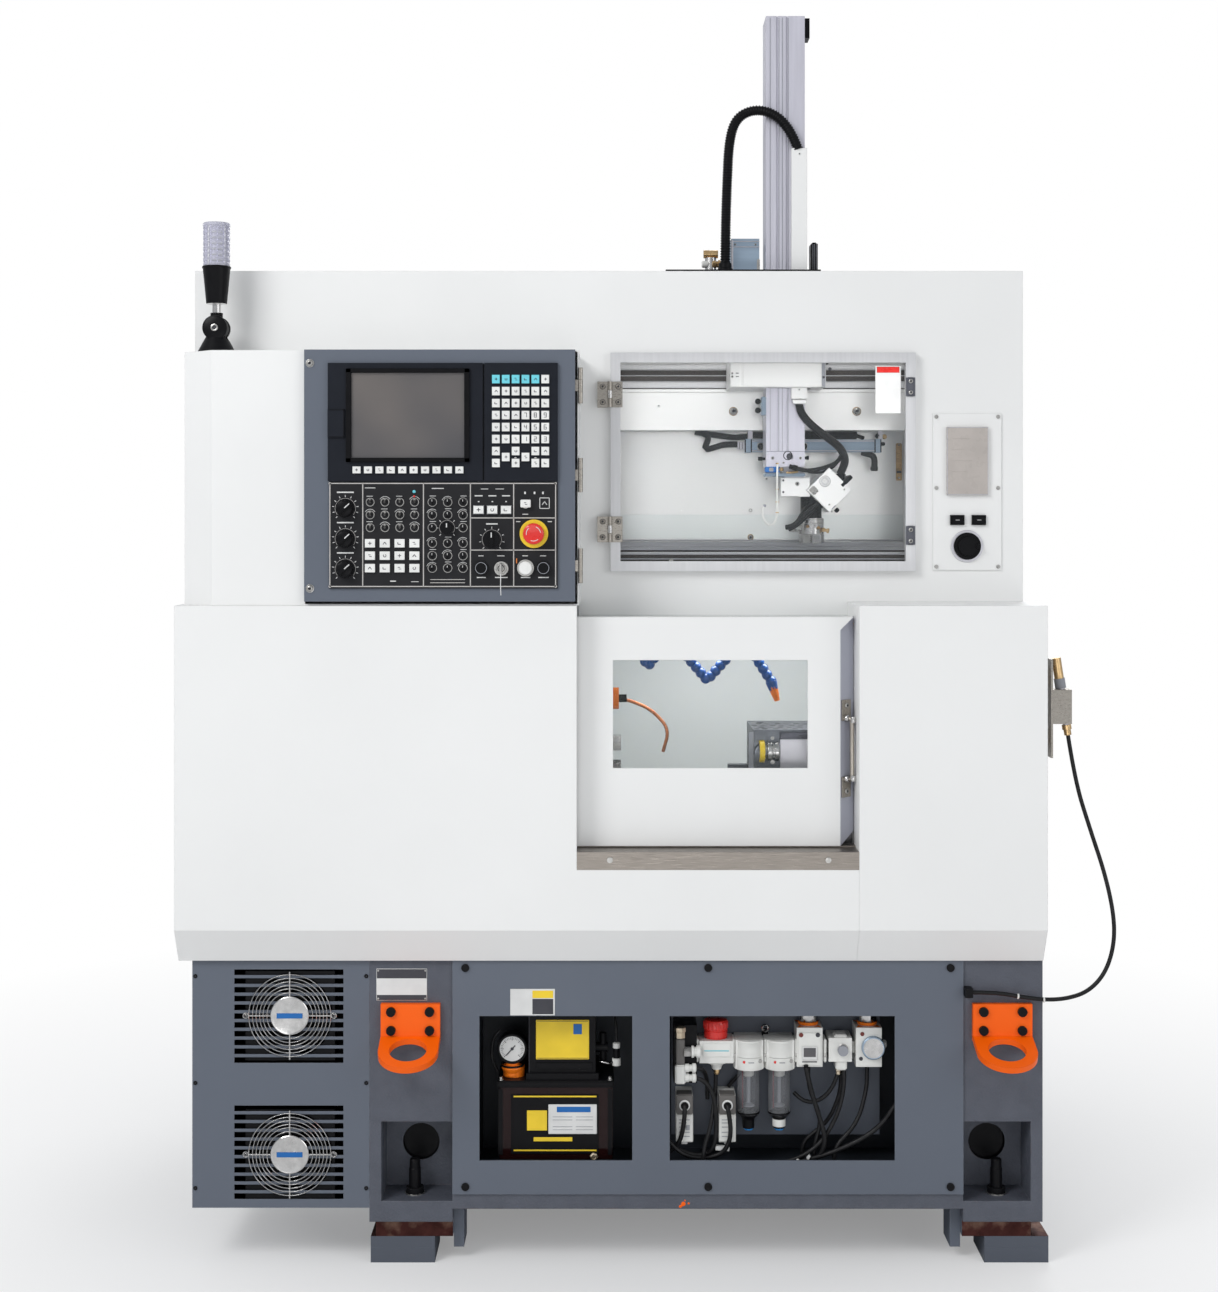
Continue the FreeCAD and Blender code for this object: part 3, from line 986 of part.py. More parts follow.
air_parts.extend([
    block((d.manifold_left, d.manifold_right), unit_depth, (d.manifold_low, d.manifold_high)),
    block((d.valve_x - d.valve_half, d.valve_x + d.valve_half), unit_depth, (d.valve_low, d.valve_high)),
    rod((d.valve_x, air_mid_y, d.valve_low - d.outlet_stub_h), "z", d.outlet_stub_r, d.outlet_stub_h),
    block((d.valve_x + d.valve_half - 4, d.regulator_x - d.filter_r + 10), link_y,
          (d.valve_low + d.bowl_end_h, d.valve_low + d.filter_r)),
    block((d.tee_left - d.bowl_end_h, d.tee_right + d.bowl_end_h), link_y,
          (d.tee_low + d.bowl_end_h, d.tee_high - d.bowl_end_h)),
    block((d.tee_left, d.tee_right), unit_depth, (d.tee_low, d.tee_high)),
    rod((d.tee_x, air_mid_y, d.tee_stub_low), "z", d.tee_stub_r, d.tee_low - d.tee_stub_low + 1),
    rod((d.tee_x, d.air_front - d.tee_knob_t + 2, d.tee_knob_z), "y", d.tee_knob_r, d.tee_knob_t),
    rod((d.air_gauge_x, d.air_front - d.air_gauge_t + 2, d.air_gauge_z), "y", d.air_gauge_r, d.air_gauge_t),
    block((d.readout_block_left, d.readout_block_right), (d.air_front - d.readout_block_t, d.air_front),
          (d.readout_block_low, d.readout_block_low + d.tee_knob_r * 2)),
])
for index in range(2):
    x = d.filter_x + d.filter_pitch * index
    bowl_end = d.bowl_low - d.bowl_end_h
    air_parts.extend([
        block((x - d.filter_r, x + d.filter_r), unit_depth, (d.filter_low, d.filter_high)),
        rod((x, air_mid_y, d.bowl_low), "z", d.bowl_r, d.filter_low - d.bowl_low),
        taper((x, air_mid_y, bowl_end), "z", d.bowl_r * 0.45, d.bowl_r * 0.9, d.bowl_end_h),
        rod((x, air_mid_y, d.drain_low), "z", d.drain_r, d.drain_h)])
for x in (d.regulator_x, second_regulator):
    air_parts.extend([
        block((x - d.regulator_half, x + d.regulator_half), unit_depth, (d.regulator_low, d.regulator_high)),
        rod((x, air_mid_y, d.regulator_high), "z", d.cap_knob_r, d.cap_knob_h),
        rod((x, air_mid_y, d.regulator_high), "z", d.cap_ring_r, d.cap_ring_h)])
for x in (d.valve_box_a, d.valve_box_b):
    air_parts.append(block((x, x + d.valve_box_w), unit_depth, (d.valve_box_low, d.valve_box_high)))
    air_parts.append(rod((x + d.valve_box_w / 2, d.air_front - d.plug_t + 1, d.plug_z), "y", d.plug_r, d.plug_t))
node("air_prep_unit", join(air_parts))
dial_skirt = rod((0, 0, 0), "z", d.shutoff_r, d.shutoff_h * 0.45)
dial_grip = block((-d.shutoff_r, d.shutoff_r), (-d.shutoff_half, d.shutoff_half), (0, d.shutoff_h))
node("shutoff_knob", place(join([dial_skirt, dial_grip]), d.valve_x, air_mid_y, d.valve_high + d.fit_gap))

# Small air lines of the bay, from their fittings down to the floor of the bay
line_y = air_mid_y
bay_floor = bay_z[0]
lines = [
    [(d.valve_x, line_y, d.valve_low - d.outlet_stub_h), (d.valve_x, line_y, 325), (d.valve_x - 9, line_y - 30, 266),
     (d.valve_x - 26, line_y - 40, 214), (d.valve_x - 26, line_y - 40, bay_floor)],
    [(d.regulator_x, line_y, d.regulator_low), (d.regulator_x, line_y, 326), (382, line_y - 16, 266),
     (366, line_y - 22, 214), (366, line_y - 22, bay_floor)],
    [(d.tee_x, line_y, d.tee_stub_low), (d.tee_x, line_y, 318), (400, line_y + 6, 258), (346, line_y + 8, 214),
     (346, line_y + 8, bay_floor)],
    [(second_regulator, line_y, d.regulator_low), (second_regulator, line_y, 324), (452, line_y - 20, 262),
     (404, line_y - 32, 216), (404, line_y - 32, bay_floor)],
]
node("air_tubes", group([tube("air_tube_%d" % index, points, d.tube_r) for index, points in enumerate(lines)]))


# Machine bed with its headstock: one casting on the deck, with the ways on top
sizes({
    "bed_front": -440, "bed_back": -150, "way_left": 60, "way_right": 630, "way_z": 760, "bed_left": -480,
    "head_left": -480, "head_right": -110, "head_top": 1060, "bed_low_z": 680,
    "spindle_y": -240, "spindle_z": 933, "spindle_bore_r": 25, "nose_r": 60, "nose_t": 7, "way_w": 45,
    "way_groove": 24, "head_bolster": 40, "spindle_reach": 90,
})
bed = join([
    block((d.bed_left, d.way_right), (d.bed_front, d.bed_back), (d.deck_top, d.bed_low_z)),
    block((d.way_left, d.way_right), (d.bed_front, d.bed_back), (d.bed_low_z, d.way_z)),
    block((d.head_left, d.head_right), (d.bed_front, d.bed_back + d.head_bolster), (d.deck_top, d.head_top)),
    rod((d.head_right, d.spindle_y, d.spindle_z), "x", d.nose_r, d.nose_t),
])
bed_cuts = [
    rod((d.head_right - d.spindle_reach, d.spindle_y, d.spindle_z), "x", d.spindle_bore_r + d.fit_gap,
        d.spindle_reach + d.nose_t),
    block((d.way_left - 1, d.way_right + 1), (d.bed_front + d.way_w, d.bed_back - d.way_w),
          (d.way_z - d.way_groove, d.way_z + 1)),
]
node("machine_bed", cut(bed, bed_cuts))

# Chamber liner: one welded sheet round the machining chamber, with the loader chamber on top of it
sizes({
    "liner_left": -110, "liner_right": 640, "liner_back": 60, "liner_low": 700, "slab_z": 1338,
    "spindle_hole_r": 75,
    "slab_left": -10, "slab_right": 580, "slab_front": -304, "slab_back": -180,
    "cell_left": -40, "cell_right": 610, "cell_back": -60,
})
cell_front = d.upper_front + d.sheet_t
slab_top = d.slab_z + d.sheet_t
chamber = padded("yz", (d.liner_left, d.liner_right), [[
    (d.liner_front, d.liner_low), (d.liner_back, d.liner_low), (d.liner_back, slab_top),
    (cell_front, slab_top), (cell_front, d.liner_step_z), (d.liner_front, d.liner_step_z)]])
chamber_inside = padded("yz", (d.liner_left + d.sheet_t, d.liner_right - d.sheet_t), [[
    (d.liner_front - 1, d.liner_low + d.sheet_t), (d.liner_back - d.sheet_t, d.liner_low + d.sheet_t),
    (d.liner_back - d.sheet_t, d.slab_z), (cell_front + d.sheet_t, d.slab_z),
    (cell_front + d.sheet_t, d.liner_step_z - d.sheet_t), (d.liner_front - 1, d.liner_step_z - d.sheet_t)]])
cell = cut(
    block((d.cell_left, d.cell_right), (cell_front, d.cell_back), (slab_top, d.roof_z - d.sheet_t)),
    [block((d.cell_left + d.sheet_t, d.cell_right - d.sheet_t), (cell_front - 1, d.cell_back - d.sheet_t),
           (slab_top, d.roof_z))])
liner_cuts = [
    rod((d.liner_left - 1, d.spindle_y, d.spindle_z), "x", d.spindle_hole_r, d.sheet_t + 2),
    block((d.way_left, d.way_right), (d.bed_front, d.bed_back), (d.liner_low - 1, d.way_z)),
    block((d.slab_left, d.slab_right), (d.slab_front, d.slab_back), (d.slab_z - 1, slab_top + 1)),
]
liner = join([cut(chamber, [chamber_inside]), cell])
node("chamber_liner", cut(liner, liner_cuts))

# Chuck with three fixed jaws, on its own spindle
sizes({"chuck_r": 57, "chuck_end": -30, "chuck_jaw_end": -8, "chuck_bore_r": 18, "chuck_jaw_w": 22,
       "chuck_jaw_inset": 4, "stub_length": 85})
chuck_start = d.head_right + d.nose_t + d.fit_gap
chuck_parts = [
    rod((chuck_start - d.stub_length, d.spindle_y, d.spindle_z), "x", d.spindle_bore_r, d.stub_length + 1),
    rod((chuck_start, d.spindle_y, d.spindle_z), "x", d.chuck_r, d.chuck_end - chuck_start),
]
for index in range(3):
    jaw = block((d.chuck_end, d.chuck_jaw_end), (-d.chuck_jaw_w / 2, d.chuck_jaw_w / 2),
                (d.chuck_bore_r + d.chuck_jaw_inset, d.chuck_r - d.chuck_jaw_inset))
    jaw_at = group([jaw])
    chuck_parts.append(place(jaw_at, 0, d.spindle_y, d.spindle_z, turn("x", 120 * index)))
node("chuck", cut(join(chuck_parts), [
    rod((chuck_start + 10, d.spindle_y, d.spindle_z), "x", d.chuck_bore_r, d.chuck_jaw_end - chuck_start)]))

# Tool slide on the ways, and the tool block that crosses it
sizes({
    "saddle_left": 200, "saddle_right": 470, "saddle_front": -470, "saddle_back": -120, "saddle_top": 845,
    "block_left": 250, "block_right": 420, "block_front": -470, "block_back": -300, "block_top": 1022,
    "cross_h": 35, "cross_side": 10, "key_side": 40, "key_depth": 14, "key_clear": 4, "block_bolt_r": 7,
    "block_bolt_x": 25, "block_bolt_y": 30, "block_bolt_depth": 20,
    "tool_x": 267, "tool_z": 980, "tool_r": 15, "tool_out": 16, "tool_tip": 6, "tool_tip_t": 8,
    "front_plate_left": 303, "front_plate_right": 358, "front_plate_low": 947, "front_plate_high": 1004,
    "front_plate_t": 6, "bar_reach": 45, "bar_front": -400, "bar_w": 20, "bar_drop": 8,
})
saddle_low = d.way_z + d.fit_gap
key_y = (d.bed_front + d.way_w + d.fit_gap, d.bed_back - d.way_w - d.fit_gap)
block_y = (d.block_front, d.block_back)
key_room = (d.block_left + d.key_side, d.block_right - d.key_side)
saddle = join([
    block((d.saddle_left, d.saddle_right), (d.saddle_front, d.saddle_back), (saddle_low, d.saddle_top)),
    block((d.saddle_left, d.saddle_right), key_y, (d.way_z - d.way_groove + d.key_clear, saddle_low))])
cross_groove = block(key_room, (d.saddle_front - 1, d.saddle_back + 1),
                     (d.saddle_top - d.key_depth, d.saddle_top + 1))
node("tool_slide", cut(saddle, [cross_groove]))
cross_low = d.saddle_top + d.fit_gap
cross_top = cross_low + d.cross_h
block_holes = [rod((x, y, d.block_top - d.block_bolt_depth), "z", d.block_bolt_r, d.block_bolt_depth + 1)
               for x in (d.block_left + d.block_bolt_x, d.block_right - d.block_bolt_x)
               for y in (d.block_front + d.block_bolt_y, d.block_back - d.block_bolt_y)]
tool_tip_y = d.block_front - d.tool_out - d.tool_tip
tool_parts = [
    block((d.block_left - d.cross_side, d.block_right + d.cross_side), block_y, (cross_low, cross_top)),
    block((key_room[0] + d.fit_gap, key_room[1] - d.fit_gap), block_y,
          (d.saddle_top - d.key_depth + d.key_clear, cross_low)),
    cut(block((d.block_left, d.block_right), block_y, (cross_top, d.block_top)), block_holes),
    rod((d.tool_x, d.block_front - d.tool_out, d.tool_z), "y", d.tool_r, d.tool_out + 2),
    rod((d.tool_x, tool_tip_y, d.tool_z), "y", d.tool_r * 0.6, d.tool_tip_t),
    block((d.front_plate_left, d.front_plate_right), (d.block_front - d.front_plate_t, d.block_front),
          (d.front_plate_low, d.front_plate_high)),
    block((d.block_left - d.bar_reach, d.block_left), (d.bar_front, d.bar_front + d.bar_w),
          (d.spindle_z - d.bar_drop, d.spindle_z - d.bar_drop + d.bar_w)),
]
node("tool_block", join(tool_parts))

# Coolant hoses: beaded links hanging from a manifold, and a bent pipe aimed at the chuck
sizes({
    "bead_r": 11, "link_r": 8, "bead_pitch": 15, "hose_y": -330, "manifold_z": 1245, "manifold_h": 20,
    "pipe_r": 3.5, "pipe_z": 1071, "manifold_end": 340, "manifold_back": 12, "nozzle_r": 12.3, "nozzle_tip_r": 5.5,
    "nozzle_h": 42, "fitting_x": -25, "fitting_r": 22, "fitting_w": 12, "pipe_nut_r": 8, "pipe_nut_w": 16,
})


def beads(corners):
    """Beaded links at an even pitch along a line of corners."""
    spots = []
    left_over = 0.0
    for start, end in zip(corners, corners[1:]):
        run = end - start
        at = left_over
        while at < run.Length:
            spots.append(start + run * (at / run.Length))
            at += NAMED["bead_pitch"]
        left_over = at - run.Length
    pieces = [ball((spot.x, spot.y, spot.z), d.bead_r) for spot in spots]
    for first, second in zip(spots, spots[1:]):
        reach = second - first
        pieces.append(rod((first.x, first.y, first.z), reach, d.link_r, reach.Length))
    return pieces, spots[-1]


hose_level = NAMED["hose_y"]
manifold_low = NAMED["manifold_z"]
manifold = block((0, d.manifold_end), (cell_front + d.sheet_t, d.hose_y + d.manifold_back),
                 (d.manifold_z, d.manifold_z + d.manifold_h))
arch_a, _ = beads([V(10, hose_level, manifold_low), V(28, hose_level, 1165), V(47, hose_level, 1137),
                   V(68, hose_level, 1165), V(84, hose_level, manifold_low)])
arch_b, _ = beads([V(110, hose_level, manifold_low), V(122, hose_level, 1160), V(167, hose_level, 1108),
                   V(214, hose_level, 1160), V(228, hose_level, manifold_low)])
drop_c, end_c = beads([V(252, hose_level, manifold_low), V(262, hose_level, 1160), V(301, hose_level, 1100)])
nozzle = taper((end_c.x, end_c.y, end_c.z), V(12, 0, -38), d.nozzle_r, d.nozzle_tip_r, d.nozzle_h)
pipe = tube("coolant_pipe", [(d.liner_left + d.sheet_t, hose_level, d.pipe_z), (-2, hose_level, d.pipe_z),
                             (53, hose_level, 1049), (90, hose_level, 1008), (77, hose_level, 962)], d.pipe_r)
pipe_parts = [
    pipe,
    rod((d.fitting_x, hose_level, d.pipe_z), "x", d.fitting_r, d.fitting_w),
    rod((d.fitting_x + d.fitting_w, hose_level, d.pipe_z), "x", d.pipe_nut_r, d.pipe_nut_w),
]
node("coolant_hoses", group([join([manifold] + arch_a + arch_b + drop_c + [nozzle]), join(pipe_parts)]))


# Gantry rail across the loader chamber
sizes({
    "beam_low": 1624, "beam_high": 1704, "beam_front": -180, "beam_back": -120,
    "module_front": -175, "module_back": -125, "module_top": 1762, "band_low": 1719, "band_high": 1745,
    "rail_out": 3, "rail_h": 9, "rail_inset": 2,
    "beam_bolt_left": 230, "beam_bolt_right": 491, "beam_bolt_r": 8, "beam_bolt_t": 5,
})
beam_x = (d.cell_left + d.sheet_t, d.cell_right - d.sheet_t)
rails = [block(beam_x, (d.module_front - d.rail_out, d.module_front), zone)
         for zone in ((d.band_low + d.rail_inset, d.band_low + d.rail_inset + d.rail_h),
                      (d.band_high - d.rail_inset - d.rail_h, d.band_high - d.rail_inset))]
beam_bolts = [rod((x, d.beam_front - d.beam_bolt_t, (d.beam_low + d.beam_high) / 2), "y",
                  d.beam_bolt_r, d.beam_bolt_t + 1) for x in (d.beam_bolt_left, d.beam_bolt_right)]
node("gantry_rail", join([
    block(beam_x, (d.beam_front, d.beam_back), (d.beam_low, d.beam_high)),
    block(beam_x, (d.module_front, d.module_back), (d.beam_high, d.module_top))] + rails + beam_bolts))

# Gantry carriage: a block on the rail, uprights through the roof, and a top plate with its drive
sizes({
    "carriage_left": 215, "carriage_right": 410, "carriage_front": -318, "carriage_back": -182,
    "carriage_low": 1706, "carriage_high": 1765, "top_plate_z": 1940, "top_plate_t": 6, "top_plate_left": 83,
    "column_left": 291, "column_right": 371, "column_front": -280, "column_back": -200,
    "column_low": 1576, "column_top": full_height, "well_right": 384, "well_front": -302, "upright_t": 7,
    "upright_gap": 3, "upright_front": -285, "upright_back": -195,
    "channel_left": 342, "channel_right": 374, "channel_front": -298, "channel_low": 1683, "channel_high": 2198,
    "motor_left": 220, "motor_right": 278, "motor_front": -270, "motor_back": -210, "motor_h": 70,
    "stop_left": 386, "stop_right": 400, "stop_front": -260, "stop_back": -220, "stop_h": 61,
    "elbow_x": 179, "elbow_y": -240, "elbow_r": 12, "elbow_h": 34, "elbow_neck_r": 6, "elbow_pipe_x": 164,
    "elbow_pipe_z": 42, "elbow_pipe_r": 8.5, "elbow_pipe_w": 30,
})
well = ((d.column_left - d.fit_gap, d.well_right), (d.well_front, d.column_back + d.fit_gap))
plate_top = d.top_plate_z + d.top_plate_t
left_upright = d.column_left - d.upright_gap - d.upright_t
right_upright = d.well_right + d.upright_gap
uprights = [block((x, x + d.upright_t), (d.upright_front, d.upright_back), (d.carriage_high, d.top_plate_z))
            for x in (left_upright, right_upright)]
carriage_parts = [
    cut(block((d.carriage_left, d.carriage_right), (d.carriage_front, d.carriage_back),
              (d.carriage_low, d.carriage_high)),
        [block(well[0], well[1], (d.carriage_low, d.carriage_high))]),
    block((d.carriage_left, d.carriage_right), (d.carriage_back, d.module_front - d.rail_out - d.fit_gap),
          (d.band_low, d.band_high)),
    cut(block((d.top_plate_left, d.stop_right), (d.carriage_front, d.carriage_back), (d.top_plate_z, plate_top)),
        [block(well[0], well[1], (d.top_plate_z, plate_top))]),
    block((d.motor_left, d.motor_right), (d.motor_front, d.motor_back), (plate_top, plate_top + d.motor_h)),
    block((d.stop_left, d.stop_right), (d.stop_front, d.stop_back), (plate_top, plate_top + d.stop_h)),
    rod((d.elbow_x, d.elbow_y, plate_top), "z", d.elbow_r, d.elbow_h),
    rod((d.elbow_pipe_x, d.elbow_y, plate_top + d.elbow_pipe_z), "x", d.elbow_pipe_r, d.elbow_pipe_w),
    rod((d.elbow_x, d.elbow_y, plate_top + d.elbow_h - 1), "z", d.elbow_neck_r, d.elbow_pipe_z - d.elbow_h + 2),
] + uprights
node("gantry_carriage", join(carriage_parts))

# Loader column with its cable channel, a clip near its top and its end block
sizes({
    "groove_a": 312, "groove_b": 332, "groove_w": 4, "groove_t": 3, "clip_right": 382, "clip_front": -270,
    "clip_back": -230, "clip_low": 43, "clip_high": 2, "end_low": 1544, "end_hole_x": 340, "end_hole_z": 1565,
    "end_hole_r": 7, "end_hole_depth": 12,
})
channel_y = (d.channel_front, d.column_front)
channel_mid = (d.channel_left + d.channel_right) / 2
column_x = (d.column_left, d.column_right)
column_y = (d.column_front, d.column_back)
grooves = [block((x, x + d.groove_w), (d.column_front, d.column_front + d.groove_t), (d.column_low, d.column_top))
           for x in (d.groove_a, d.groove_b)]
end_hole = rod((d.end_hole_x, d.column_front, d.end_hole_z), "y", d.end_hole_r, d.end_hole_depth)
column_parts = [
    cut(block(column_x, column_y, (d.column_low, d.column_top)), grooves),
    block((d.channel_left, d.channel_right), channel_y, (d.channel_low, d.channel_high)),
    block((d.column_right, d.clip_right), (d.clip_front, d.clip_back),
          (d.column_top - d.clip_low, d.column_top - d.clip_high)),
    cut(block(column_x, column_y, (d.end_low, d.column_low)), [end_hole]),
]
node("loader_column", join(column_parts))

# Rotary head: a bracket under the column and a housing set at 45 degrees
sizes({
    "head_x": 421, "head_z": 1496, "head_side": 65, "head_half_y": 45, "column_y": -240,
    "swivel_x": 388, "swivel_r": 10, "swivel_gap": 0.4,
    "swivel_depth": 20, "swivel_clear": 1.6, "grip_body_r": 22, "grip_body_h": 50, "grip_head_r": 27,
    "grip_head_top": 1438, "grip_face": 1405, "wedge_reach": 200, "jaw_low": 1386, "jaw_w": 10, "jaw_slot": 8,
    "jaw_in": 3, "jaw_root_in": 6, "jaw_root_out": 24, "jaw_out": 26, "finger_half": 8,
    "gland_x": 449, "gland_z": 1530, "gland_h": 26, "gland_rim": 3, "hose_r": 8.5,
    "cover_ring_r": 16, "cover_ring_t": 5, "bracket_y": 22, "arm_left": 326, "arm_right": 385,
    "arm_low": 1497, "arm_high": 1521, "hanger_left": 330,
})
tilt = turn("y", 45)
half_side = d.head_side / 2
housing_45 = block((-half_side, half_side), (-d.head_half_y, d.head_half_y), (-half_side, half_side))
swivel_bore = rod((0, 0, -half_side), "z", d.swivel_r + d.fit_gap, d.swivel_depth)
ring_cover = rod((half_side - 1, 0, 0), "x", d.cover_ring_r, d.cover_ring_t)
head_45 = place(cut(join([housing_45, ring_cover]), [swivel_bore]), d.head_x, d.column_y, d.head_z, tilt)
bracket_y = (d.column_y - d.bracket_y, d.column_y + d.bracket_y)
node("rotary_head", join([
    head_45,
    block((d.arm_left, d.arm_right), bracket_y, (d.arm_low, d.arm_high)),
    block((d.hanger_left, d.column_right), bracket_y, (d.arm_low, d.end_low)),
    rod((d.gland_x, d.column_y, d.gland_z - d.gland_h), "z", d.hose_r + d.gland_rim, d.gland_h)]))

# Gripper body: it turns on the housing's sloping face, and holds three sliding jaws
face_line = d.head_x + d.head_z - d.head_side * math.sqrt(0.5) - d.swivel_gap
grip_cylinder = join([
    rod((d.swivel_x, d.column_y, d.grip_head_top), "z", d.grip_body_r, d.grip_body_h),
    rod((d.swivel_x, d.column_y, d.grip_face), "z", d.grip_head_r, d.grip_head_top - d.grip_face)])
low_z = d.grip_face - d.wedge_reach
high_z = d.grip_face + d.wedge_reach
above_face = padded("xz", (d.column_y - d.head_side, d.column_y + d.head_side), [[
    (face_line - low_z, low_z), (face_line - high_z, high_z), (face_line - low_z, high_z)]])
jaw_turns = [turn("z", 90 + 120 * index) for index in range(3)]
jaw_slots = [place(group([block((d.jaw_in, d.grip_head_r + 1), (-d.jaw_w / 2, d.jaw_w / 2), (0, d.jaw_slot))]),
                   d.swivel_x, d.column_y, d.grip_face, jaw_turn) for jaw_turn in jaw_turns]
pin_start = ((face_line - d.head_z + d.head_x) / 2, d.column_y, (face_line + d.head_z - d.head_x) / 2)
swivel = rod(pin_start, V(1, 0, 1), d.swivel_r, d.swivel_depth - d.swivel_clear + d.swivel_gap)
node("gripper_body", join([cut(grip_cylinder, [above_face] + jaw_slots), swivel]))
for index, jaw_turn in enumerate(jaw_turns):
    root = block((d.jaw_root_in, d.jaw_root_out), (-d.jaw_w / 2 + d.fit_gap, d.jaw_w / 2 - d.fit_gap),
                 (-1, d.jaw_slot - d.fit_gap))
    finger = block((d.jaw_root_in, d.jaw_out), (-d.finger_half, d.finger_half), (d.jaw_low - d.grip_face, -d.fit_gap))
    node("gripper_jaw_%d" % (index + 1),
         place(join([root, finger]), d.swivel_x, d.column_y, d.grip_face, jaw_turn))

# Air cylinder hung under the rail
sizes({"cylinder_left": 256, "cylinder_right": 544, "cylinder_low": 1577, "cylinder_high": 1606,
       "cylinder_front": -172, "cylinder_back": -143, "barrel_in": 1.5, "cylinder_cap": 12, "ear_in": 6, "ear_w": 10})
cylinder_y = (d.cylinder_front, d.cylinder_back)
cylinder_z = (d.cylinder_low, d.cylinder_high)
barrel_y = (d.cylinder_front + d.barrel_in, d.cylinder_back - d.barrel_in)
barrel_z = (d.cylinder_low + d.barrel_in, d.cylinder_high - d.barrel_in)
cylinder_parts = [block((d.cylinder_left, d.cylinder_right), barrel_y, barrel_z)]
for x in (d.cylinder_left, d.cylinder_right - d.cylinder_cap):
    cylinder_parts.append(block((x, x + d.cylinder_cap), cylinder_y, cylinder_z))
    cylinder_parts.append(block((x + d.ear_in, x + d.ear_in + d.ear_w),
                                (d.cylinder_front + d.ear_in, d.cylinder_back - d.ear_in),
                                (d.cylinder_high, d.beam_low)))
node("air_cylinder", join(cylinder_parts))

# Black hose from the channel to the rotary head
node("loader_hose", tube("loader_hose", [
    (channel_mid, d.column_front - 10, d.channel_low), (channel_mid, d.column_front - 10, 1650),
    (398, -290, 1630), (438, -272, 1606), (d.gland_x, d.column_y, 1570),
    (d.gland_x, d.column_y, d.gland_z)], d.hose_r))

# Ribbed conduit from the top plate over to the channel
sizes({"conduit_x": 208, "conduit_r": 11, "conduit_rib": 1.8, "conduit_pitch": 10,
       "conduit_bore": 7.5, "conduit_top": 2282, "conduit_bend": 58})


def ribbed_hose(name, points, radii):
    """A ribbed hose with its bore: four circles to each rib, all turned the same way."""
    wire = route(points, radii)
    length = wire.Length
    flat = points[-1] - points[0]
    sideways = V(-flat.y, flat.x, 0).normalize()
    crest = NAMED["conduit_r"]
    valley = crest - NAMED["conduit_rib"]
    straight = crest * 2
    count = int((length - 2 * straight) / NAMED["conduit_pitch"])
    pitch = (length - 2 * straight) / count
    stations = [(0.0, valley)]
    for index in range(count):
        start = straight + pitch * index
        for part, radius in ((0.15, valley), (0.35, crest), (0.65, crest), (0.85, valley)):
            stations.append((start + pitch * part, radius))
    stations.append((length, valley))

    def circle_at(distance, radius):
        passed = 0.0
        for edge in wire.Edges:
            if distance <= passed + edge.Length + 1e-6:
                where = edge.getParameterByLength(min(distance - passed, edge.Length))
                spot, heading = edge.valueAt(where), edge.tangentAt(where)
                break
            passed += edge.Length
        shape = Part.Circle(V(0, 0, 0), V(0, 0, 1), radius).toShape()
        shape.Placement = FreeCAD.Placement(spot, FreeCAD.Rotation(sideways, heading.cross(sideways), heading, "ZXY"))
        return Part.Wire([shape])

    outer = Part.makeLoft([circle_at(at, radius) for at, radius in stations], True, True)
    hollow = wire.makePipeShell([circle_at(0.0, NAMED["conduit_bore"])], True, False)
    shape = outer.cut(hollow)
    print("%s length %.0f ribs %d valid %s volume %.0f" % (name, length, count, shape.isValid(), shape.Volume))
    item = doc.addObject("Part::Feature", "RibbedHose")
    item.Shape = shape
    return item


channel_x = channel_mid.value
hose_plane = (d.column_front - d.conduit_r - 1).value
top_z = NAMED["conduit_top"]
node("conduit_hose", ribbed_hose("conduit_hose", [
    V(NAMED["conduit_x"], hose_plane, plate_top.value), V(NAMED["conduit_x"], hose_plane, top_z),
    V(channel_x, hose_plane, top_z), V(channel_x, hose_plane, NAMED["channel_high"])],
    [NAMED["conduit_bend"]] * 2))

# Blow gun in its holder on the right side, and its hose
sizes({
    "holder_plate_x": right_side + 13, "holder_plate_t": 4, "holder_right": right_side + 58, "holder_low": 1041,
    "holder_high": 1107, "holder_half": 20, "holder_plate_low": 978, "holder_plate_high": 1167,
    "holder_plate_half": 40, "magnet_half": 16, "magnet_h": 30, "low_magnet_z": 1000, "high_magnet_z": 1115,
    "gun_y": -520, "gun_top_x": right_side + 32, "gun_top_z": 1167, "gun_low_x": right_side + 55,
    "gun_low_z": 1018, "gun_tube_r": 7, "gun_head_r": 9, "gun_head_h": 42, "gun_nut_r": 10.5, "gun_nut_h": 19,
    "gun_end_h": 14, "air_hose_r": 4, "gland_left": 650, "gland_w": 14, "hose_gland_half": 8,
    "hose_gland_h": 18, "hose_front_y": -556, "hose_low_z": 528,
})
gun_axis = V(NAMED["gun_low_x"] - NAMED["gun_top_x"], 0, NAMED["gun_low_z"] - NAMED["gun_top_z"])
gun_length = gun_axis.Length
gun_axis.normalize()


def gun_spot(distance):
    """A point of the blow gun's axis, measured from its top."""
    return (d.gun_top_x + gun_axis.x * distance, d.gun_y, d.gun_top_z + gun_axis.z * distance)


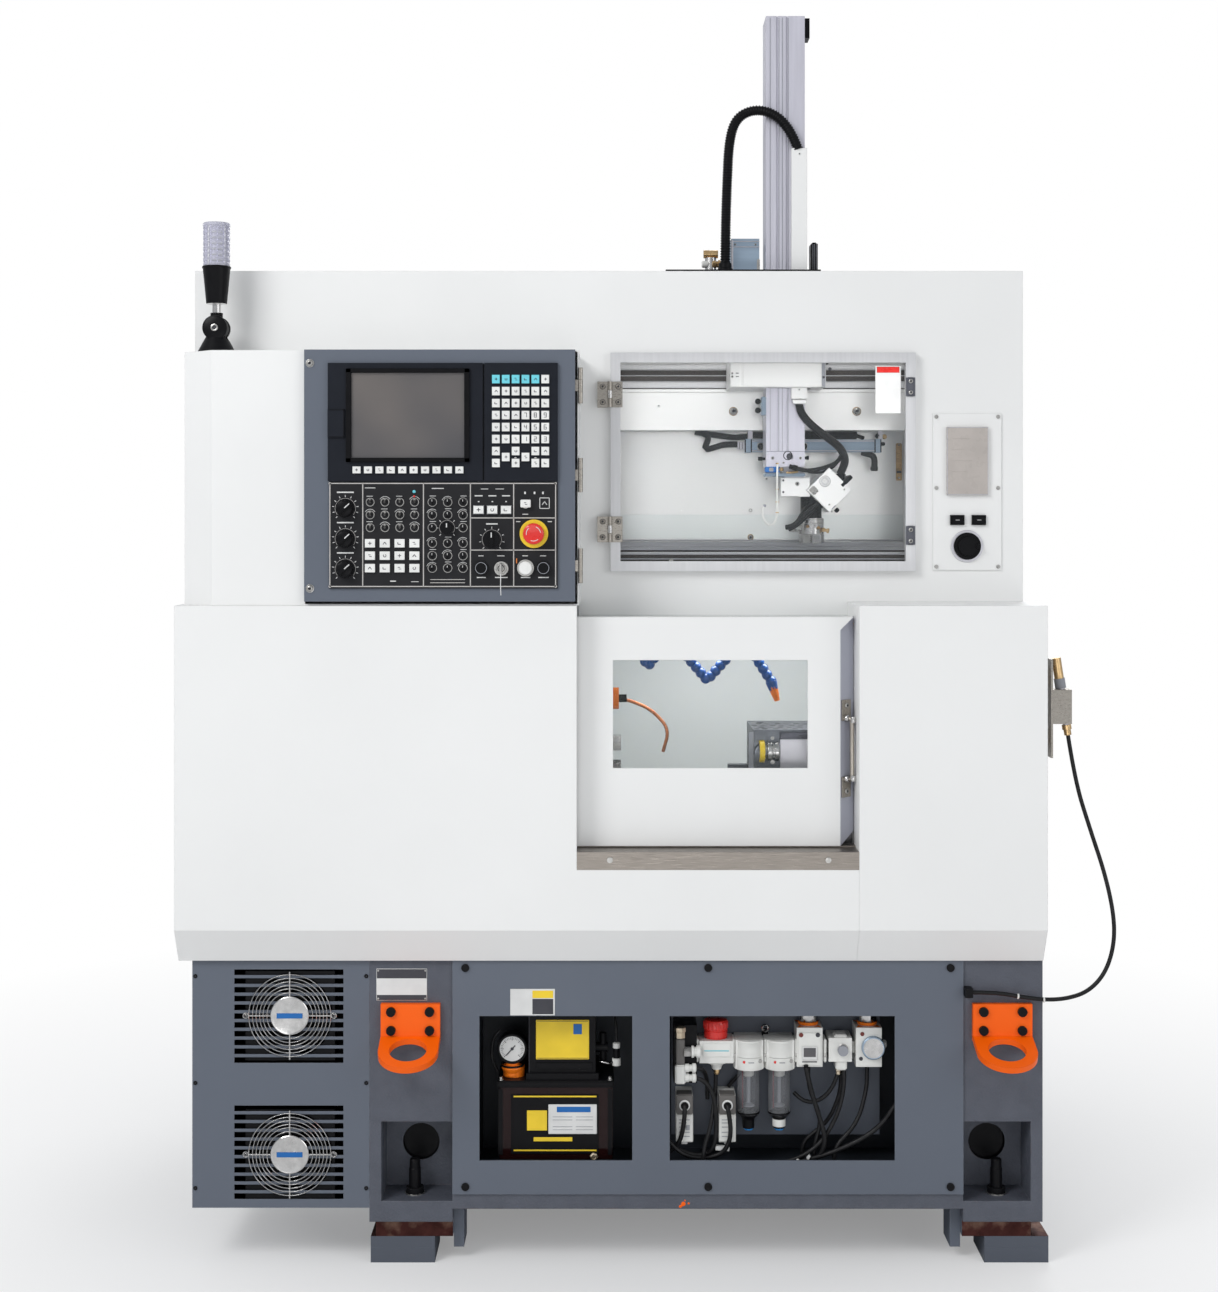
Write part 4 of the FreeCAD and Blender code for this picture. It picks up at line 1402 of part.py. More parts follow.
gun_bore = rod(gun_spot(10), gun_axis, d.gun_tube_r + d.fit_gap, gun_length)
holder_x = d.holder_plate_x + d.holder_plate_t
holder = cut(block((holder_x, d.holder_right), (d.gun_y - d.holder_half, d.gun_y + d.holder_half),
                   (d.holder_low, d.holder_high)), [gun_bore])
magnets = [block((d.shell_right, d.holder_plate_x), (d.gun_y - d.magnet_half, d.gun_y + d.magnet_half),
                 (z, z + d.magnet_h)) for z in (d.low_magnet_z, d.high_magnet_z)]
holder_plate = block((d.holder_plate_x, holder_x), (d.gun_y - d.holder_plate_half, d.gun_y + d.holder_plate_half),
                     (d.holder_plate_low, d.holder_plate_high))
gland = block((d.gland_left, d.gland_left + d.gland_w), (d.hose_front_y - d.hose_gland_half, d.base_front),
              (d.hose_low_z - d.hose_gland_h / 2, d.hose_low_z + d.hose_gland_h / 2))
node("gun_holder", group([join([holder, holder_plate] + magnets), gland]))
node("air_gun", join([
    rod(gun_spot(0), gun_axis, d.gun_head_r, d.gun_head_h),
    rod(gun_spot(NAMED["gun_head_h"] - 2), gun_axis, d.gun_nut_r, d.gun_nut_h),
    rod(gun_spot(NAMED["gun_head_h"]), gun_axis, d.gun_tube_r, gun_length - NAMED["gun_head_h"] - NAMED["gun_end_h"]),
    rod(gun_spot(gun_length - NAMED["gun_end_h"] - 6), gun_axis, d.gun_head_r, 9),
    rod(gun_spot(gun_length - NAMED["gun_end_h"]), gun_axis, d.gun_tube_r, d.gun_end_h)]))
hose_start = gun_spot(gun_length)
first_run = 90
node("air_hose", tube("air_hose", [
    hose_start,
    (hose_start[0] + gun_axis.x * first_run, d.gun_y, hose_start[2] + gun_axis.z * first_run),
    (right_side + 96, d.gun_y - 5, 838), (right_side + 125, d.gun_y - 11, 748),
    (right_side + 140, d.gun_y - 19, 668), (right_side + 137, d.gun_y - 26, 612),
    (right_side + 118, d.gun_y - 32, 562), (right_side + 85, d.hose_front_y + 1, 529),
    (right_side + 44, d.hose_front_y, 516), (right_side + 1, d.hose_front_y - 1, 514),
    (756, d.hose_front_y - 1, 520), (710, d.hose_front_y, d.hose_low_z),
    (d.gland_left + d.gland_w, d.hose_front_y, d.hose_low_z)], d.air_hose_r))

# Every piece is checked and written to its own file
node("fasteners", group(SCREWS))
doc.recompute()
faults = []
for item in doc.Objects:
    if "Invalid" in item.State or "Error" in item.State:
        faults.append("%s %s %s" % (item.Name, item.Label, item.State))
for item in NODES:
    if item.Shape.isNull() or not item.Shape.isValid():
        faults.append("%s has no sound shape" % item.Label)
if faults:
    raise RuntimeError("; ".join(faults))
for item in NODES:
    item.Shape.exportStep("parts/%s.step" % item.Label)
print("%d nodes written" % len(NODES))
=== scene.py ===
"""The turning lathe with its gantry loader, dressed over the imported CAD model."""

import math

import bmesh
import bpy
from mathutils import Matrix, Vector


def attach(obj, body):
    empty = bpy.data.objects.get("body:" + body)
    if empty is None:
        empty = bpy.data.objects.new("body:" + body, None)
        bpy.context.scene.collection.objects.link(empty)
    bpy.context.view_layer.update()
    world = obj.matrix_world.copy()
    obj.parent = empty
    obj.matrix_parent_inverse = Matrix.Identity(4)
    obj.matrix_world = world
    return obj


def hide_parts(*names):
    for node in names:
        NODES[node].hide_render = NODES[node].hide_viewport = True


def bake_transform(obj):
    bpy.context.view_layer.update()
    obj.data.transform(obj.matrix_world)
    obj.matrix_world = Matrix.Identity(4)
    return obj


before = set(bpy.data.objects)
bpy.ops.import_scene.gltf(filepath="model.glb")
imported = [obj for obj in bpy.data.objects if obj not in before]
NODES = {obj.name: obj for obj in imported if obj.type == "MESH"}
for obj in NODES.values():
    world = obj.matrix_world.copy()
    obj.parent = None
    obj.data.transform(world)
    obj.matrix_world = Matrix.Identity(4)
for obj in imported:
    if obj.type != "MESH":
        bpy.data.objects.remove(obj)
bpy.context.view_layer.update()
MM = 0.001


def mm(*values):
    """A point or size given in millimetres, in metres."""
    return tuple(value * MM for value in values)


# ---------------------------------------------------------------- camera, lamps and stage

CAMERA_AT = mm(-29, -4190, 1434)
LENS = 52.8
FRAME_SHIFT = (-0.0015, -0.0975)


def set_camera():
    """A camera straight in front of the machine, shifted so that the whole of it is in the frame."""
    data = bpy.data.cameras.new("camera")
    data.lens = LENS
    data.shift_x, data.shift_y = FRAME_SHIFT
    camera = bpy.data.objects.new("camera", data)
    camera.location = CAMERA_AT
    camera.rotation_euler = (math.radians(90), 0, 0)
    bpy.context.scene.collection.objects.link(camera)
    bpy.context.scene.camera = camera


def lamp(name, at, towards, size, watts):
    """A rectangular soft lamp."""
    data = bpy.data.lights.new(name, "AREA")
    data.shape = "RECTANGLE"
    data.size, data.size_y = size
    data.energy = watts
    item = bpy.data.objects.new(name, data)
    item.location = at
    item.rotation_euler = (Vector(towards) - Vector(at)).to_track_quat("-Z", "Y").to_euler()
    item.visible_camera = False
    bpy.context.scene.collection.objects.link(item)
    return item


def set_lamps():
    """Studio lamps round the machine, and small ones in its chamber and its loader cell."""
    lamp("key", (-2.7, -3.4, 3.9), (0.0, -0.4, 1.1), (1.8, 1.8), 104)
    lamp("fill", (3.6, -3.8, 2.2), (0.2, -0.4, 1.1), (2.4, 2.4), 36)
    lamp("front", (0.0, -4.6, 0.5), (0.0, -0.5, 0.6), (2.4, 1.0), 14)
    lamp("back", (1.2, 3.6, 3.6), (0.0, 0.5, 1.2), (2.4, 2.4), 90)
    lamp("chamber_lamp", mm(265, -300, 1236), mm(265, -260, 800), (0.42, 0.10), 2.4)
    lamp("cell_lamp", mm(285, -330, 1915), mm(285, -250, 1350), (0.50, 0.06), 0.6)
    window_lamp = lamp("window_lamp", mm(285, -750, 1550), mm(285, 0, 1550), (0.56, 0.38), 0.36)
    window_lamp.data.spread = math.radians(14)
    window_lamp.visible_glossy = False


def add_node(tree, kind, inputs=(), **settings):
    """A new node with the values of its inputs and settings."""
    item = tree.nodes.new(kind)
    for key, value in settings.items():
        setattr(item, key, value)
    for key, value in dict(inputs).items():
        item.inputs[key].default_value = value
    return item


def mixed(tree, factor, first, second, output):
    """Mixes two shaders by a factor into a material's or the world's output."""
    mix = add_node(tree, "ShaderNodeMixShader")
    tree.links.new(factor, mix.inputs["Fac"])
    tree.links.new(first.outputs[0], mix.inputs[1])
    tree.links.new(second.outputs[0], mix.inputs[2])
    tree.links.new(mix.outputs[0], output.inputs["Surface"])


def set_world():
    """A grey-white room that the camera sees as white paper."""
    world = bpy.data.worlds.new("studio")
    world.use_nodes = True
    tree = world.node_tree
    tree.nodes.clear()
    rays = add_node(tree, "ShaderNodeLightPath")
    seen = add_node(tree, "ShaderNodeMath", operation="MAXIMUM")
    tree.links.new(rays.outputs["Is Camera Ray"], seen.inputs[0])
    tree.links.new(rays.outputs["Is Transmission Ray"], seen.inputs[1])
    room = add_node(tree, "ShaderNodeBackground", {"Color": (0.93, 0.96, 1.0, 1), "Strength": 0.56})
    paper = add_node(tree, "ShaderNodeBackground", {"Color": (1, 1, 1, 1), "Strength": 1.0})
    mixed(tree, seen.outputs[0], room, paper, add_node(tree, "ShaderNodeOutputWorld"))
    bpy.context.scene.world = world
    bpy.context.scene.view_settings.view_transform = "Standard"


def set_floor():
    """A pale floor that keeps the shadow near the machine and fades into the backdrop."""
    mesh = bpy.data.meshes.new("studio_floor")
    reach = 14.0
    mesh.from_pydata(
        [(-reach, -reach, 0), (reach, -reach, 0), (reach, reach, 0), (-reach, reach, 0)], [], [(0, 1, 2, 3)]
    )
    floor = bpy.data.objects.new("studio_floor", mesh)
    bpy.context.scene.collection.objects.link(floor)
    material = bpy.data.materials.new("studio_paper")
    material.use_nodes = True
    tree = material.node_tree
    shader = tree.nodes["Principled BSDF"]
    shader.inputs["Base Color"].default_value = (0.86, 0.86, 0.86, 1)
    shader.inputs["Roughness"].default_value = 0.9
    shader.inputs["Specular IOR Level"].default_value = 0.0
    glow = add_node(tree, "ShaderNodeEmission", {"Color": (1, 1, 1, 1), "Strength": 1.0})
    rays = add_node(tree, "ShaderNodeLightPath")
    place = add_node(tree, "ShaderNodeTexCoord")
    distance = add_node(tree, "ShaderNodeVectorMath", operation="LENGTH")
    fade = add_node(
        tree, "ShaderNodeMapRange", {"From Min": 0.7, "From Max": 2.6, "To Min": 0.25, "To Max": 1.0}
    )
    share = add_node(tree, "ShaderNodeMath", operation="MULTIPLY")
    tree.links.new(place.outputs["Object"], distance.inputs[0])
    tree.links.new(distance.outputs["Value"], fade.inputs["Value"])
    tree.links.new(fade.outputs["Result"], share.inputs[0])
    tree.links.new(rays.outputs["Is Camera Ray"], share.inputs[1])
    mixed(tree, share.outputs[0], shader, glow, tree.nodes["Material Output"])
    mesh.materials.append(material)


set_camera()
set_lamps()
set_world()
set_floor()


# ---------------------------------------------------------------- materials


class Look:
    """A procedural material: its shader and the texture nodes that feed it."""

    def __init__(self, name, colour, rough, metal=0.0):
        self.material = bpy.data.materials.new(name)
        self.material.use_nodes = True
        self.tree = self.material.node_tree
        self.shader = self.tree.nodes["Principled BSDF"]
        self.place = self.add("ShaderNodeTexCoord").outputs["Object"]
        self.colour = (*colour, 1.0)
        self.rough = rough
        self.normal = None
        self.shader.inputs["Base Color"].default_value = self.colour
        self.shader.inputs["Roughness"].default_value = rough
        self.shader.inputs["Metallic"].default_value = metal

    def add(self, kind, inputs=(), **settings):
        """A new node in this material."""
        return add_node(self.tree, kind, inputs, **settings)

    def link(self, output, socket):
        """Joins an output to a socket."""
        self.tree.links.new(output, socket)

    def set(self, **values):
        """Sets values on the shader's own sockets."""
        for key, value in values.items():
            self.shader.inputs[key.replace("_", " ")].default_value = value
        return self

    def noise(self, scale, detail=3.0, stretch=(1, 1, 1), low=0.35, high=0.65):
        """Noise in the machine's own metres, spread over 0 to 1."""
        mapping = self.add("ShaderNodeMapping", {"Scale": stretch})
        self.link(self.place, mapping.inputs["Vector"])
        texture = self.add("ShaderNodeTexNoise", {"Scale": scale, "Detail": detail})
        self.link(mapping.outputs[0], texture.inputs["Vector"])
        spread = self.add("ShaderNodeMapRange", {"From Min": low, "From Max": high})
        self.link(texture.outputs["Fac"], spread.inputs["Value"])
        return spread.outputs["Result"]

    def tint(self, factor, colour):
        """Mixes another colour in where the factor is high."""
        mix = self.add("ShaderNodeMix", data_type="RGBA")
        self.link(factor, mix.inputs["Factor"])
        base = self.shader.inputs["Base Color"]
        if base.is_linked:
            self.link(base.links[0].from_socket, mix.inputs[6])
        else:
            mix.inputs[6].default_value = self.colour
        mix.inputs[7].default_value = (*colour, 1.0)
        self.link(mix.outputs[2], base)
        return self

    def vary(self, amount, scale, stretch=(1, 1, 1)):
        """Lighter and darker patches of the same colour."""
        darker = tuple(value * (1 - amount) for value in self.colour[:3])
        return self.tint(self.noise(scale, stretch=stretch), darker)

    def sheen_changes(self, amount, scale, stretch=(1, 1, 1)):
        """Roughness that changes from patch to patch."""
        low, high = max(self.rough - amount, 0.02), min(self.rough + amount, 1.0)
        spread = self.add("ShaderNodeMapRange", {"To Min": low, "To Max": high})
        self.link(self.noise(scale, stretch=stretch), spread.inputs["Value"])
        self.link(spread.outputs["Result"], self.shader.inputs["Roughness"])
        return self

    def bump(self, height, depth, strength=1.0):
        """Relief from a texture, depth in metres."""
        item = self.add("ShaderNodeBump", {"Strength": strength, "Distance": depth})
        self.link(height, item.inputs["Height"])
        if self.normal is not None:
            self.link(self.normal, item.inputs["Normal"])
        self.normal = item.outputs["Normal"]
        self.link(self.normal, self.shader.inputs["Normal"])
        return self

    def soft_edges(self, radius):
        """Edges that catch the light as rounded ones do."""
        item = self.add("ShaderNodeBevel", {"Radius": radius}, samples=3)
        self.normal = item.outputs["Normal"]
        self.link(self.normal, self.shader.inputs["Normal"])
        return self

    def edge_wear(self, radius, colour, amount=0.6, scale=60, low=0.35):
        """Another colour along the edges, broken up as rubbing leaves it."""
        bevel = self.add("ShaderNodeBevel", {"Radius": radius}, samples=3)
        geometry = self.add("ShaderNodeNewGeometry")
        dot = self.add("ShaderNodeVectorMath", operation="DOT_PRODUCT")
        self.link(bevel.outputs["Normal"], dot.inputs[0])
        self.link(geometry.outputs["Normal"], dot.inputs[1])
        edge = self.add("ShaderNodeMapRange", {"From Min": 0.995, "From Max": 0.88, "To Max": amount})
        self.link(dot.outputs["Value"], edge.inputs["Value"])
        broken = self.add("ShaderNodeMath", operation="MULTIPLY")
        self.link(edge.outputs["Result"], broken.inputs[0])
        self.link(self.noise(scale, detail=5, low=low, high=low + 0.3), broken.inputs[1])
        return self.tint(broken.outputs[0], colour)


def powder_coat(name, colour, rough=0.42, wear=None, shine=0.45):
    """Stoved enamel on sheet steel: orange peel, faint cloudiness and soft folded edges."""
    look = Look(name, colour, rough)
    look.soft_edges(0.0016)
    look.vary(0.05, 1.3)
    look.sheen_changes(0.06, 9)
    look.bump(look.noise(520, detail=1), 0.00006, 0.35)
    if wear:
        look.edge_wear(0.0022, wear, 0.7)
    return look.set(Specular_IOR_Level=shine).material


def rough_cast(name, colour):
    """Painted casting: sand texture under the paint, with pale and rusty chips along its edges."""
    look = Look(name, colour, 0.55)
    look.soft_edges(0.003)
    look.vary(0.10, 26)
    look.sheen_changes(0.10, 40)
    look.bump(look.noise(240, detail=3), 0.0007, 0.5)
    look.bump(look.noise(24, detail=2), 0.0012, 0.2)
    look.edge_wear(0.003, (0.21, 0.22, 0.25), 0.7, 45)
    look.edge_wear(0.0035, (0.13, 0.055, 0.03), 0.9, 24, low=0.52)
    return look.set(Specular_IOR_Level=0.35).material


def steel(name, colour, rough, stretch=(1, 1, 1), grain=260, dark=0.18, stain=None):
    """Ground or brushed metal, its grain drawn out along one axis."""
    look = Look(name, colour, rough, metal=1.0)
    look.soft_edges(0.0008)
    look.vary(dark, grain * 0.5, stretch)
    look.sheen_changes(0.09, grain * 0.3, stretch)
    look.bump(look.noise(grain, detail=2, stretch=stretch), 0.00004, 0.5)
    if stain:
        look.tint(look.noise(30, detail=6, low=0.5, high=0.7), stain)
    return look.material


def moulded(name, colour, rough=0.45, depth=0.00005, coat=0.0, shine=0.35):
    """Moulded plastic: fine spark texture and soft edges."""
    look = Look(name, colour, rough)
    look.soft_edges(0.0007)
    look.vary(0.10, 22)
    look.sheen_changes(0.07, 70)
    look.bump(look.noise(900, detail=2), depth, 0.5)
    return look.set(Coat_Weight=coat, Specular_IOR_Level=shine).material


def rubber(name):
    """Black rubber, dusty in places."""
    look = Look(name, (0.009, 0.009, 0.010), 0.42)
    look.vary(0.25, 60)
    look.tint(look.noise(25, detail=5, low=0.55, high=0.85), (0.022, 0.022, 0.024))
    look.sheen_changes(0.10, 120)
    look.bump(look.noise(700, detail=2), 0.00008, 0.5)
    return look.set(Specular_IOR_Level=0.25).material


def see_through(name, colour, facing, edge, rough=0.06, smear=0.04, shine=0.6):
    """Clear sheet: thin haze seen squarely, more reflection seen along it."""
    look = Look(name, colour, rough)
    weight = look.add("ShaderNodeLayerWeight", {"Blend": 0.35})
    haze = look.add("ShaderNodeMapRange", {"To Min": facing, "To Max": edge})
    look.link(weight.outputs["Fresnel"], haze.inputs["Value"])
    smears = look.add("ShaderNodeMath", {1: smear}, operation="MULTIPLY_ADD")
    look.link(look.noise(7, detail=4), smears.inputs[0])
    look.link(haze.outputs["Result"], smears.inputs[2])
    look.link(smears.outputs[0], look.shader.inputs["Alpha"])
    look.sheen_changes(0.03, 12)
    return look.set(Specular_IOR_Level=shine).material


def anodised(name, colour):
    """Anodised aluminium section: pale, only half metallic, with a fine drawn grain."""
    look = Look(name, colour, 0.38, metal=0.35)
    look.soft_edges(0.0008)
    look.vary(0.06, 160, (1, 1, 0.04))
    look.sheen_changes(0.06, 90, (1, 1, 0.04))
    look.bump(look.noise(300, detail=1, stretch=(1, 1, 0.04)), 0.00003, 0.4)
    return look.material


# Relief of printed marks, in metres, which is shallower than that of mouldings
PRINT_GRAIN = 0.00002
WHITE = powder_coat("white_enamel", (0.80, 0.80, 0.79))
WHITE_INSIDE = powder_coat("chamber_enamel", (0.70, 0.73, 0.72), 0.35)
# Grey-blue for the door's right bevel: painted shade of a face that points away from the light
BEVEL_SHADE = powder_coat("door_edge_painted_shade", (0.44, 0.45, 0.52))
SLATE = powder_coat("slate_enamel", (0.105, 0.122, 0.155), 0.5, wear=(0.22, 0.24, 0.28))
SLATE_DARK = powder_coat("dark_slate_enamel", (0.075, 0.086, 0.11), 0.55)
CAST = rough_cast("slate_casting", (0.088, 0.096, 0.120))
ORANGE = powder_coat("orange_enamel", (0.95, 0.125, 0.0), 0.42, wear=(0.80, 0.10, 0.01), shine=0.25)
SILL_STEEL = steel("sill_steel", (0.30, 0.27, 0.24), 0.36, (1, 30, 30), 90)
HINGE_STEEL = steel("hinge_steel", (0.40, 0.37, 0.33), 0.33, (1, 1, 6), 420, dark=0.12)
POLISHED = steel("polished_steel", (0.62, 0.61, 0.60), 0.22, grain=150)
HANDLE_STEEL = steel("handle_steel", (0.46, 0.42, 0.37), 0.26, (1, 1, 0.1), 220)
SCREW_STEEL = steel("screw_steel", (0.50, 0.49, 0.47), 0.34, grain=400)
ALUMINIUM = steel("satin_aluminium", (0.64, 0.63, 0.67), 0.42, (1, 1, 40), 120, dark=0.10)
RAIL_ALUMINIUM = steel("rail_aluminium", (0.55, 0.55, 0.57), 0.36, (0.03, 1, 1), 160, dark=0.14)
IRON = steel("machined_iron", (0.30, 0.30, 0.31), 0.42, grain=120, dark=0.25)
TOOL_STEEL = steel("tool_steel", (0.16, 0.17, 0.19), 0.40, grain=200, dark=0.25)
BROWN_STEEL = steel("primed_plates", (0.085, 0.032, 0.028), 0.62,
                    grain=90, dark=0.35, stain=(0.20, 0.12, 0.09))
BRASS = steel("brass", (0.74, 0.52, 0.27), 0.30, grain=200, stain=(0.52, 0.34, 0.16))
COPPER = steel("copper_tube", (0.55, 0.20, 0.09), 0.32, grain=180, stain=(0.28, 0.10, 0.05))
BLACK = moulded("black_moulding", (0.005, 0.005, 0.006), 0.36, shine=0.12)
BLACK_METAL = powder_coat("blackened_steel", (0.006, 0.006, 0.007), 0.40, wear=(0.03, 0.03, 0.03), shine=0.12)
UNIT = moulded("unit_moulding", (0.011, 0.013, 0.019), 0.46, shine=0.14)
PLATE = moulded("operator_plate_moulding", (0.020, 0.020, 0.022), 0.55, shine=0.12)
KEY_WHITE = moulded("white_keys", (0.80, 0.80, 0.78), 0.35)
KEY_CYAN = moulded("cyan_keys", (0.16, 0.62, 0.72), 0.35)
KEY_GREY = moulded("grey_keys", (0.30, 0.31, 0.33), 0.4)
MARK_WHITE = moulded("white_print", (0.70, 0.70, 0.69), 0.5, depth=PRINT_GRAIN)
MARK_ORANGE = moulded("orange_print", (0.75, 0.22, 0.04), 0.5, depth=PRINT_GRAIN)
INK = moulded("key_print", (0.050, 0.050, 0.060), 0.55, depth=PRINT_GRAIN)
LINE_SILVER = moulded("silver_print", (0.52, 0.50, 0.48), 0.40, depth=PRINT_GRAIN)
GOLD = steel("gilded_strip", (0.50, 0.33, 0.16), 0.36, (1, 1, 6), 160, dark=0.35)
# Dark bands for the slots in the rails and the gap under the rail's cover: painted shade
RAIL_SLOT_SHADE = steel("rail_slot_painted_shade", (0.080, 0.068, 0.062), 0.45, (0.04, 1, 1), 200, dark=0.3)
SATIN_BLUE = moulded("blue_sensor", (0.010, 0.13, 0.42), 0.35)
LINE_GREY = moulded("grey_print", (0.36, 0.37, 0.39), 0.5, depth=PRINT_GRAIN)
BRASS_LIGHT = steel("pale_brass", (0.68, 0.58, 0.44), 0.34, grain=200)
TAUPE = moulded("taupe_moulding", (0.125, 0.118, 0.112))
GREY_LIGHT = moulded("light_grey_moulding", (0.50, 0.50, 0.50), 0.42)
FACE_BLUE = moulded("gauge_face", (0.52, 0.57, 0.68), 0.35, depth=PRINT_GRAIN)
DARK_RED = moulded("dark_red_moulding", (0.16, 0.030, 0.024), 0.4)
RED_SHADE = moulded("tube_print", (0.30, 0.08, 0.09), 0.4, depth=PRINT_GRAIN)
KEY_CYAN_DEEP = moulded("blue_tip", (0.02, 0.28, 0.75), 0.35)
# Near-black for the inside of the service bays: painted shade of the recess
BAY_SHADE = powder_coat("bay_painted_shade", (0.020, 0.024, 0.031), 0.5, shine=0.3)
CATCH_GREY = moulded("catch_moulding", (0.085, 0.088, 0.105), 0.42)
# Dark steel for a strip on the tool block's front, and for dark bars of painted reflection on its top
DARK_STEEL_AND_REFLECTION = steel("dark_steel_and_painted_reflection", (0.10, 0.10, 0.12), 0.40, grain=180)
LENS_SHADE = moulded("lens_core", (0.56, 0.55, 0.70), 0.30)
RED = moulded("red_moulding", (0.72, 0.028, 0.022), 0.30, coat=0.3)
YELLOW = moulded("yellow_moulding", (0.85, 0.60, 0.03), 0.38)
WHITE_PLASTIC = moulded("white_moulding", (0.74, 0.74, 0.71), 0.38)
GREY_PLASTIC = moulded("grey_moulding", (0.30, 0.31, 0.34))
BLUE_BEADS = moulded("blue_moulding", (0.008, 0.075, 0.30), 0.28, coat=0.3)
ORANGE_PLASTIC = moulded("orange_moulding", (0.95, 0.21, 0.012), 0.35)
CYLINDER = steel("cylinder_aluminium", (0.36, 0.45, 0.55), 0.40, (0.05, 1, 1), 160, dark=0.10)
DISPLAY = moulded("display_film", (0.46, 0.42, 0.39), 0.30, depth=PRINT_GRAIN)
RUBBER = rubber("black_rubber")
SMOKE = see_through("smoked_tank", (0.014, 0.004, 0.004), 0.92, 0.97, rough=0.10, shine=0.25)
BOWL = see_through("clear_bowl", (0.30, 0.31, 0.33), 0.24, 0.90)
GLASS = see_through("clear_pane", (0.35, 0.40, 0.39), 0.012, 0.35, smear=0.012)
CELL_GLASS = see_through("cell_pane", (0.36, 0.39, 0.40), 0.014, 0.35, smear=0.012)
LENS = see_through("ribbed_lens", (0.80, 0.80, 0.90), 0.32, 0.85, rough=0.18, smear=0.1)
FRAME_ALUMINIUM = anodised("frame_aluminium", (0.62, 0.62, 0.63))
COLUMN_ALUMINIUM = anodised("column_aluminium", (0.60, 0.59, 0.66))


def screen_look():
    """A switched-off display: dark glass whose colour has broad lighter, warmer patches of painted sheen, and
    dust.
    """
    look = Look("screen_glass", (0.060, 0.060, 0.068), 0.12)
    # Broad lighter, warmer patches in the base colour: painted sheen, with some dust
    look.tint(look.noise(3.2, detail=2, low=0.42, high=0.66), (0.135, 0.120, 0.112))
    look.sheen_changes(0.04, 30)
    look.bump(look.noise(1400, detail=1), 0.00001, 0.2)
    return look.set(Coat_Weight=0.6, Coat_Roughness=0.05).material


SCREEN = screen_look()


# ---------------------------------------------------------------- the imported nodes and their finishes


def within(x, y, z):
    """A test for faces whose middle is inside a box, in millimetres."""
    low = mm(x[0], y[0], z[0])
    high = mm(x[1], y[1], z[1])
    return lambda face: all(low[axis] <= face.center[axis] <= high[axis] for axis in range(3))


def near_axis(x, z, radius, y):
    """A test for faces near a line that runs from front to back."""
    return lambda face: (
        math.hypot(face.center.x - x * MM, face.center.z - z * MM) <= radius * MM
        and y[0] * MM <= face.center.y <= y[1] * MM
    )


def finish(name, material, *zones):
    """Gives a node its material, and its differently finished parts theirs."""
    mesh = NODES[name].data
    mesh.materials.clear()
    mesh.materials.append(material)
    for other, _ in zones:
        mesh.materials.append(other)
    for face in mesh.polygons:
        face.material_index = 0
        for number, (_, inside) in enumerate(zones):
            if inside(face):
                face.material_index = number + 1


ANYWHERE = (-3000, 3000)
PLAIN_FINISHES = (
    (WHITE, "lower_housing_left lower_housing_right upper_cabinet control_box rear_cabinet"),
    (BLACK, "tower_base fan_guards fan_rotor_upper fan_rotor_lower pulse_dial"),
    (BLACK, "override_knob_1 override_knob_2 override_knob_3"),
    (POLISHED, "gripper_jaw_1 gripper_jaw_2 gripper_jaw_3 chuck"),
    (SLATE, "front_cover"),
    (ORANGE, "lifting_brackets"),
    (RED, "shutoff_knob e_stop_button"),
    (RUBBER, "air_tubes"),
    (SILL_STEEL, "door_sill"),
    (HINGE_STEEL, "door_hinges"),
    (HANDLE_STEEL, "door_handle"),
    (SCREW_STEEL, "key_switch"),
    (LENS, "tower_lens"),
    (GLASS, "door_glass"),
    (CELL_GLASS, "window_glass"),
    (CATCH_GREY, "window_catches"),
    (KEY_WHITE, "cycle_start_button"),
    (IRON, "tool_slide"),
)
for material, names in PLAIN_FINISHES:
    for name in names.split():
        finish(name, material)

# The casting's faces inside the service bays get the near-black painted shade
finish("cast_base", CAST, (BAY_SHADE, within((-288, 603), (-541, -378), (171, 560))))
finish("fan_cabinet", SLATE, (BLACK, within((-832, -497), (-541.6, -244), (112, 586))))
finish(
    "fasteners",
    BLACK_METAL,
    (SCREW_STEEL, within((-45, 400), (-600, -575), (780, 796))),
    (SCREW_STEEL, within((610, 752), (-416, -400), (1330, 1650))),
)
finish(
    "levelling_feet",
    SLATE_DARK,
    (BROWN_STEEL, within(ANYWHERE, ANYWHERE, (50.5, 84))),
    (BLACK, within(ANYWHERE, (-514, -476), (122, 190))),
    (SLATE, within((-334.5, -313.5), ANYWHERE, (22, 109))),
    (SLATE, within((628.5, 649.5), ANYWHERE, (22, 109))),
)
finish(
    "lubricator",
    BLACK,
    (SMOKE, within((-246, -25), (-511, -379), (192, 344.5))),
    (ORANGE_PLASTIC, within((-241, -197), (-494, -448), (344.2, 366))),
    (WHITE_PLASTIC, near_axis(-222, 401, 24, (-486, -483))),
)
